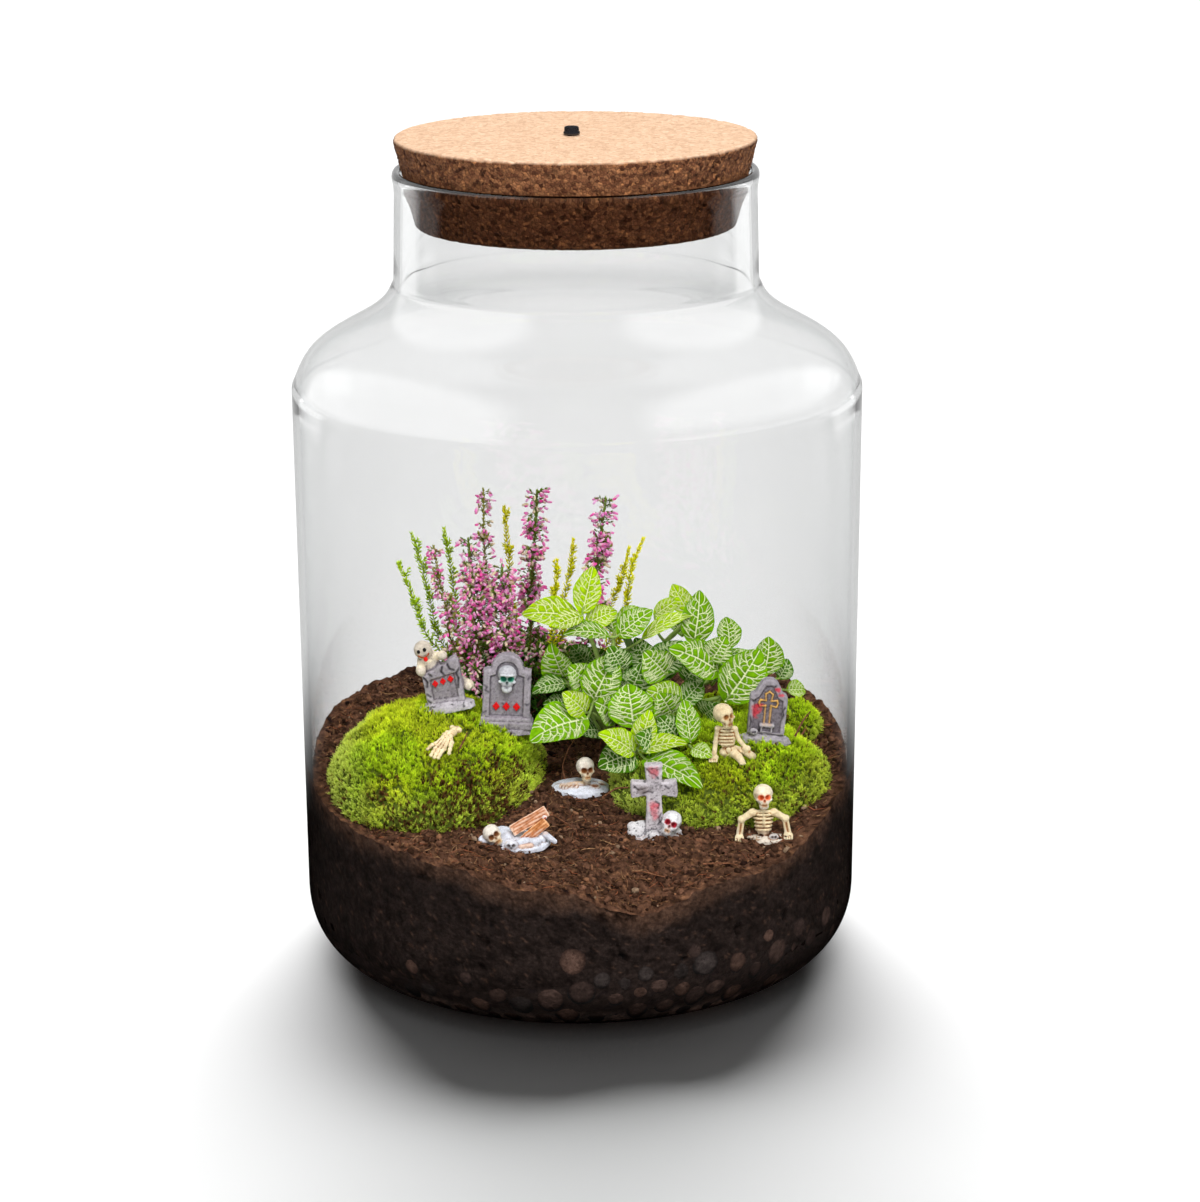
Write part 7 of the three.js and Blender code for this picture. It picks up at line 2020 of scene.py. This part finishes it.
    # pointed tombstone with a gilt outline of a cross
    c = Clay((-11.8, -6, -1), (12, 5.5, 31), 0.28, STONE)
    DARKER = (0.145, 0.125, 0.145)
    c.rock(11.4, 5.4, 4.4, (0, 0), (0.40, 0.37, 0.395), 27, 0.9)
    c.slab([(-8, 4), (8.4, 4), (8.6, 20.6), (8.0, 22.2), (6.2, 23.2), (4.9, 25.8), (3.3, 28.4), (1.4, 29.6), (-1.4, 29.6), (-3.3, 28.4), (-4.9, 25.8), (-6.0, 23.2), (-7.8, 22.2), (-8.2, 20.6)], 5.2, 0.6, STONE, 0.4, False, 0.8)
    c.slab([(-6.2, 5), (6.4, 5), (6.6, 20.0), (4.2, 21.2), (2.6, 24.6), (1.4, 26.8), (-1.4, 26.8), (-2.8, 24.6), (-4.2, 21.2), (-6.2, 20.0)], 1.6, -2.3, DARKER, 0.25, True, 0.3)
    zc = 18.6
    outline = [(-1.1, 9.4), (-1.1, zc - 1.2), (-3.6, zc - 1.6), (-4.1, zc), (-3.6, zc + 1.4), (-1.1, zc + 1.1), (-1.5, zc + 4.2), (0.1, zc + 5.4), (1.7, zc + 4.2), (1.3, zc + 1.1), (3.8, zc + 1.4), (4.3, zc), (3.8, zc - 1.6), (1.3, zc - 1.2), (1.3, 9.4)]
    c.line([(x, -1.8, z) for x, z in outline], 0.36, GOLD, 0.1)
    c.box((6.6, 2.6, 1.3), (0.2, -2.4, 8.6), (0.42, 0.39, 0.42), 0.2, round=0.3).box((5.4, 2.2, 3.0), (0.2, -2.2, 6.6), (0.36, 0.33, 0.36), 0.2, round=0.3).box((3.6, 1.4, 1.7), (0.2, -3.4, 6.7), DARKER, 0.1, True, round=0.2)
    c.ball((1.9, 1.6, 1.6), (-5.4, -3.2, 5.4), (0.50, 0.48, 0.50), 0.3).ball((0.45, 0.6, 0.4), (-5.9, -4.7, 5.5), (0.06, 0.05, 0.06), 0.1, True).ball((0.45, 0.6, 0.4), (-4.9, -4.7, 5.5), (0.06, 0.05, 0.06), 0.1, True)
    for pts in ([(7.6, 17), (6.6, 15.4), (7.2, 13.6), (6.4, 11)], [(-7.6, 12), (-6.8, 9.6), (-7.2, 7)], [(-7.8, 20), (-6.6, 19.2), (-5.2, 19.6)], [(2.6, 27), (1.6, 25.6)]):
        c.line([(x, -2.0, z) for x, z in pts], 0.25, (0.05, 0.045, 0.05), 0.12, True)
        c.line([(-x, 3.2, z) for x, z in pts], 0.25, (0.05, 0.045, 0.05), 0.12, True)
    c.paint((-5.4, -1.8, 14.6), (2.8, 2.0, 3.8), (0.55, 0.03, 0.05), 0.85, 0.7, seed=29).paint((-4.2, -1.6, 17.4), (2.6, 2.0, 1.0), (0.55, 0.03, 0.05), 0.8, 0.7, seed=30)
    c.paint((3.6, -1.8, 25.4), (2.2, 2.4, 1.4), (0.58, 0.03, 0.06), 0.9, 0.6, seed=31).paint((5.6, -1.8, 22.8), (1.6, 2.4, 1.0), (0.58, 0.03, 0.06), 0.8, 0.6, seed=32)
    finish_clay("gilt_cross_stone", "gilt_cross_tombstone", c, (82.2, -25.4, 99.2, 5, 0), stone, (0.25, 0.22, 0.25), 0.70, 0.22, 18, speckle=(4.5, 0.4))

    # skeleton climbing out of the ground
    c = Clay((-15, -8.5, -1), (14.5, 6.5, 26.5), 0.28, BONE)
    c.rock(11.4, 6.2, 2.6, (2.4, -0.6), (0.56, 0.56, 0.62), 33, 0.6)
    c.skull((-2.0, -1.0, 20.7), 4.35, yaw=4, pitch=-6, bone=(0.88, 0.82, 0.68), sockets=(0.80, 0.17, 0.065), deep=0.14)
    c.limb((-2, -0.6, 15.4), (-2, -0.4, 13.4), 1.3, 1.3, BONE, 0.4)
    c.ball((3.4, 2.6, 6.4), (-1.8, -0.2, 7.6), (0.55, 0.36, 0.18), 0.6)
    for i, z in enumerate((12.2, 10.4, 8.6, 6.9, 5.2)):
        w = 3.9 - 0.28 * abs(i - 1.2)
        c.line([(-1.8 - w, -0.2, z - 0.5), (-1.8 - w * 0.66, -2.4, z), (-2.2, -3.2, z + 0.2)], 0.55, BONE, 0.15)
        c.line([(-1.8 + w, -0.2, z - 0.5), (-1.8 + w * 0.66, -2.4, z), (-1.4, -3.2, z + 0.2)], 0.55, BONE, 0.15)
    c.line([(-1.8, -3.0, 12.4), (-1.8, -3.3, 8)], 0.6, BONE, 0.2)
    c.line([(-6.6, -0.8, 13.2), (-2, -1.8, 13.4), (2.8, -0.8, 13.2)], 0.75, BONE, 0.25)
    for s, sh, el, wr in ((-1, (-6.4, -0.8, 12.8), (-11.2, -1.4, 9.8), (-12.2, -2.2, 2.4)), (1, (2.6, -0.8, 12.8), (7.4, -1.4, 10.2), (8.6, -2.4, 3.4))):
        c.limb(sh, el, 1.65, 1.4, BONE, 0.35).ball((1.9, 1.7, 1.7), sh, BONE, 0.3).ball((1.8, 1.7, 1.7), el, BONE, 0.3)
        a = np.array(wr) - np.array(el)
        off = np.array([0.75, 0, 0])
        c.limb(np.array(el) - off * 0.8, np.array(wr) - off, 0.75, 0.75, BONE, 0.2).limb(np.array(el) + off * 0.8, np.array(wr) + off, 0.75, 0.75, BONE, 0.2)
        c.line([np.array(el) + a * 0.30 + (0, -0.9, 0), np.array(el) + a * 0.72 + (0, -0.9, 0)], 0.42, BONE_WASH, 0.12, True)
        c.ball((1.9, 1.6, 1.3), np.array(wr) + (0, -0.5, -0.3), BONE, 0.4)
        for k in range(4):
            x = wr[0] - 1.5 + k
            c.limb((x, wr[1] - 1.0, wr[2] - 0.4), (x - 0.1, wr[1] - 2.6, wr[2] - 1.5), 0.52, 0.42, BONE, 0.12)
    c.ball((2.1, 1.4, 1.5), (2.4, -4.2, 2.6), (0.44, 0.42, 0.46), 0.5)
    for x in (1.7, 3.1):
        c.ball((0.5, 0.7, 0.5), (x, -5.5, 2.9), (0.04, 0.035, 0.04), 0.1, True)
    finish_clay("climbing_bones", "rising_skeleton", c, (81, -66, 68.5, 0, 0), bone, (0.40, 0.18, 0.065), 0.92, 0.10, 19)


# ------------------------------------------------------------------------------------------ build
scene.view_settings.view_transform = "Standard"
scene.view_settings.look = "None"
make_camera()
make_floor()
make_light()
make_jar()
make_soil()
make_pebbles()
MOSS_MAT = leafy("moss", 0.34, 0.65, spec=0.2)
make_moss("moss_mound_left", MOSS_MAT, 21, 9500, 200, 56)
make_moss("moss_mound_right", MOSS_MAT, 22, 9500, 200, 56)
make_moss("moss_tuft_back", MOSS_MAT, 23, 1500, 60, 18)
make_cork()
make_lamp()
make_nerve_plant()
make_heather()
make_figures()
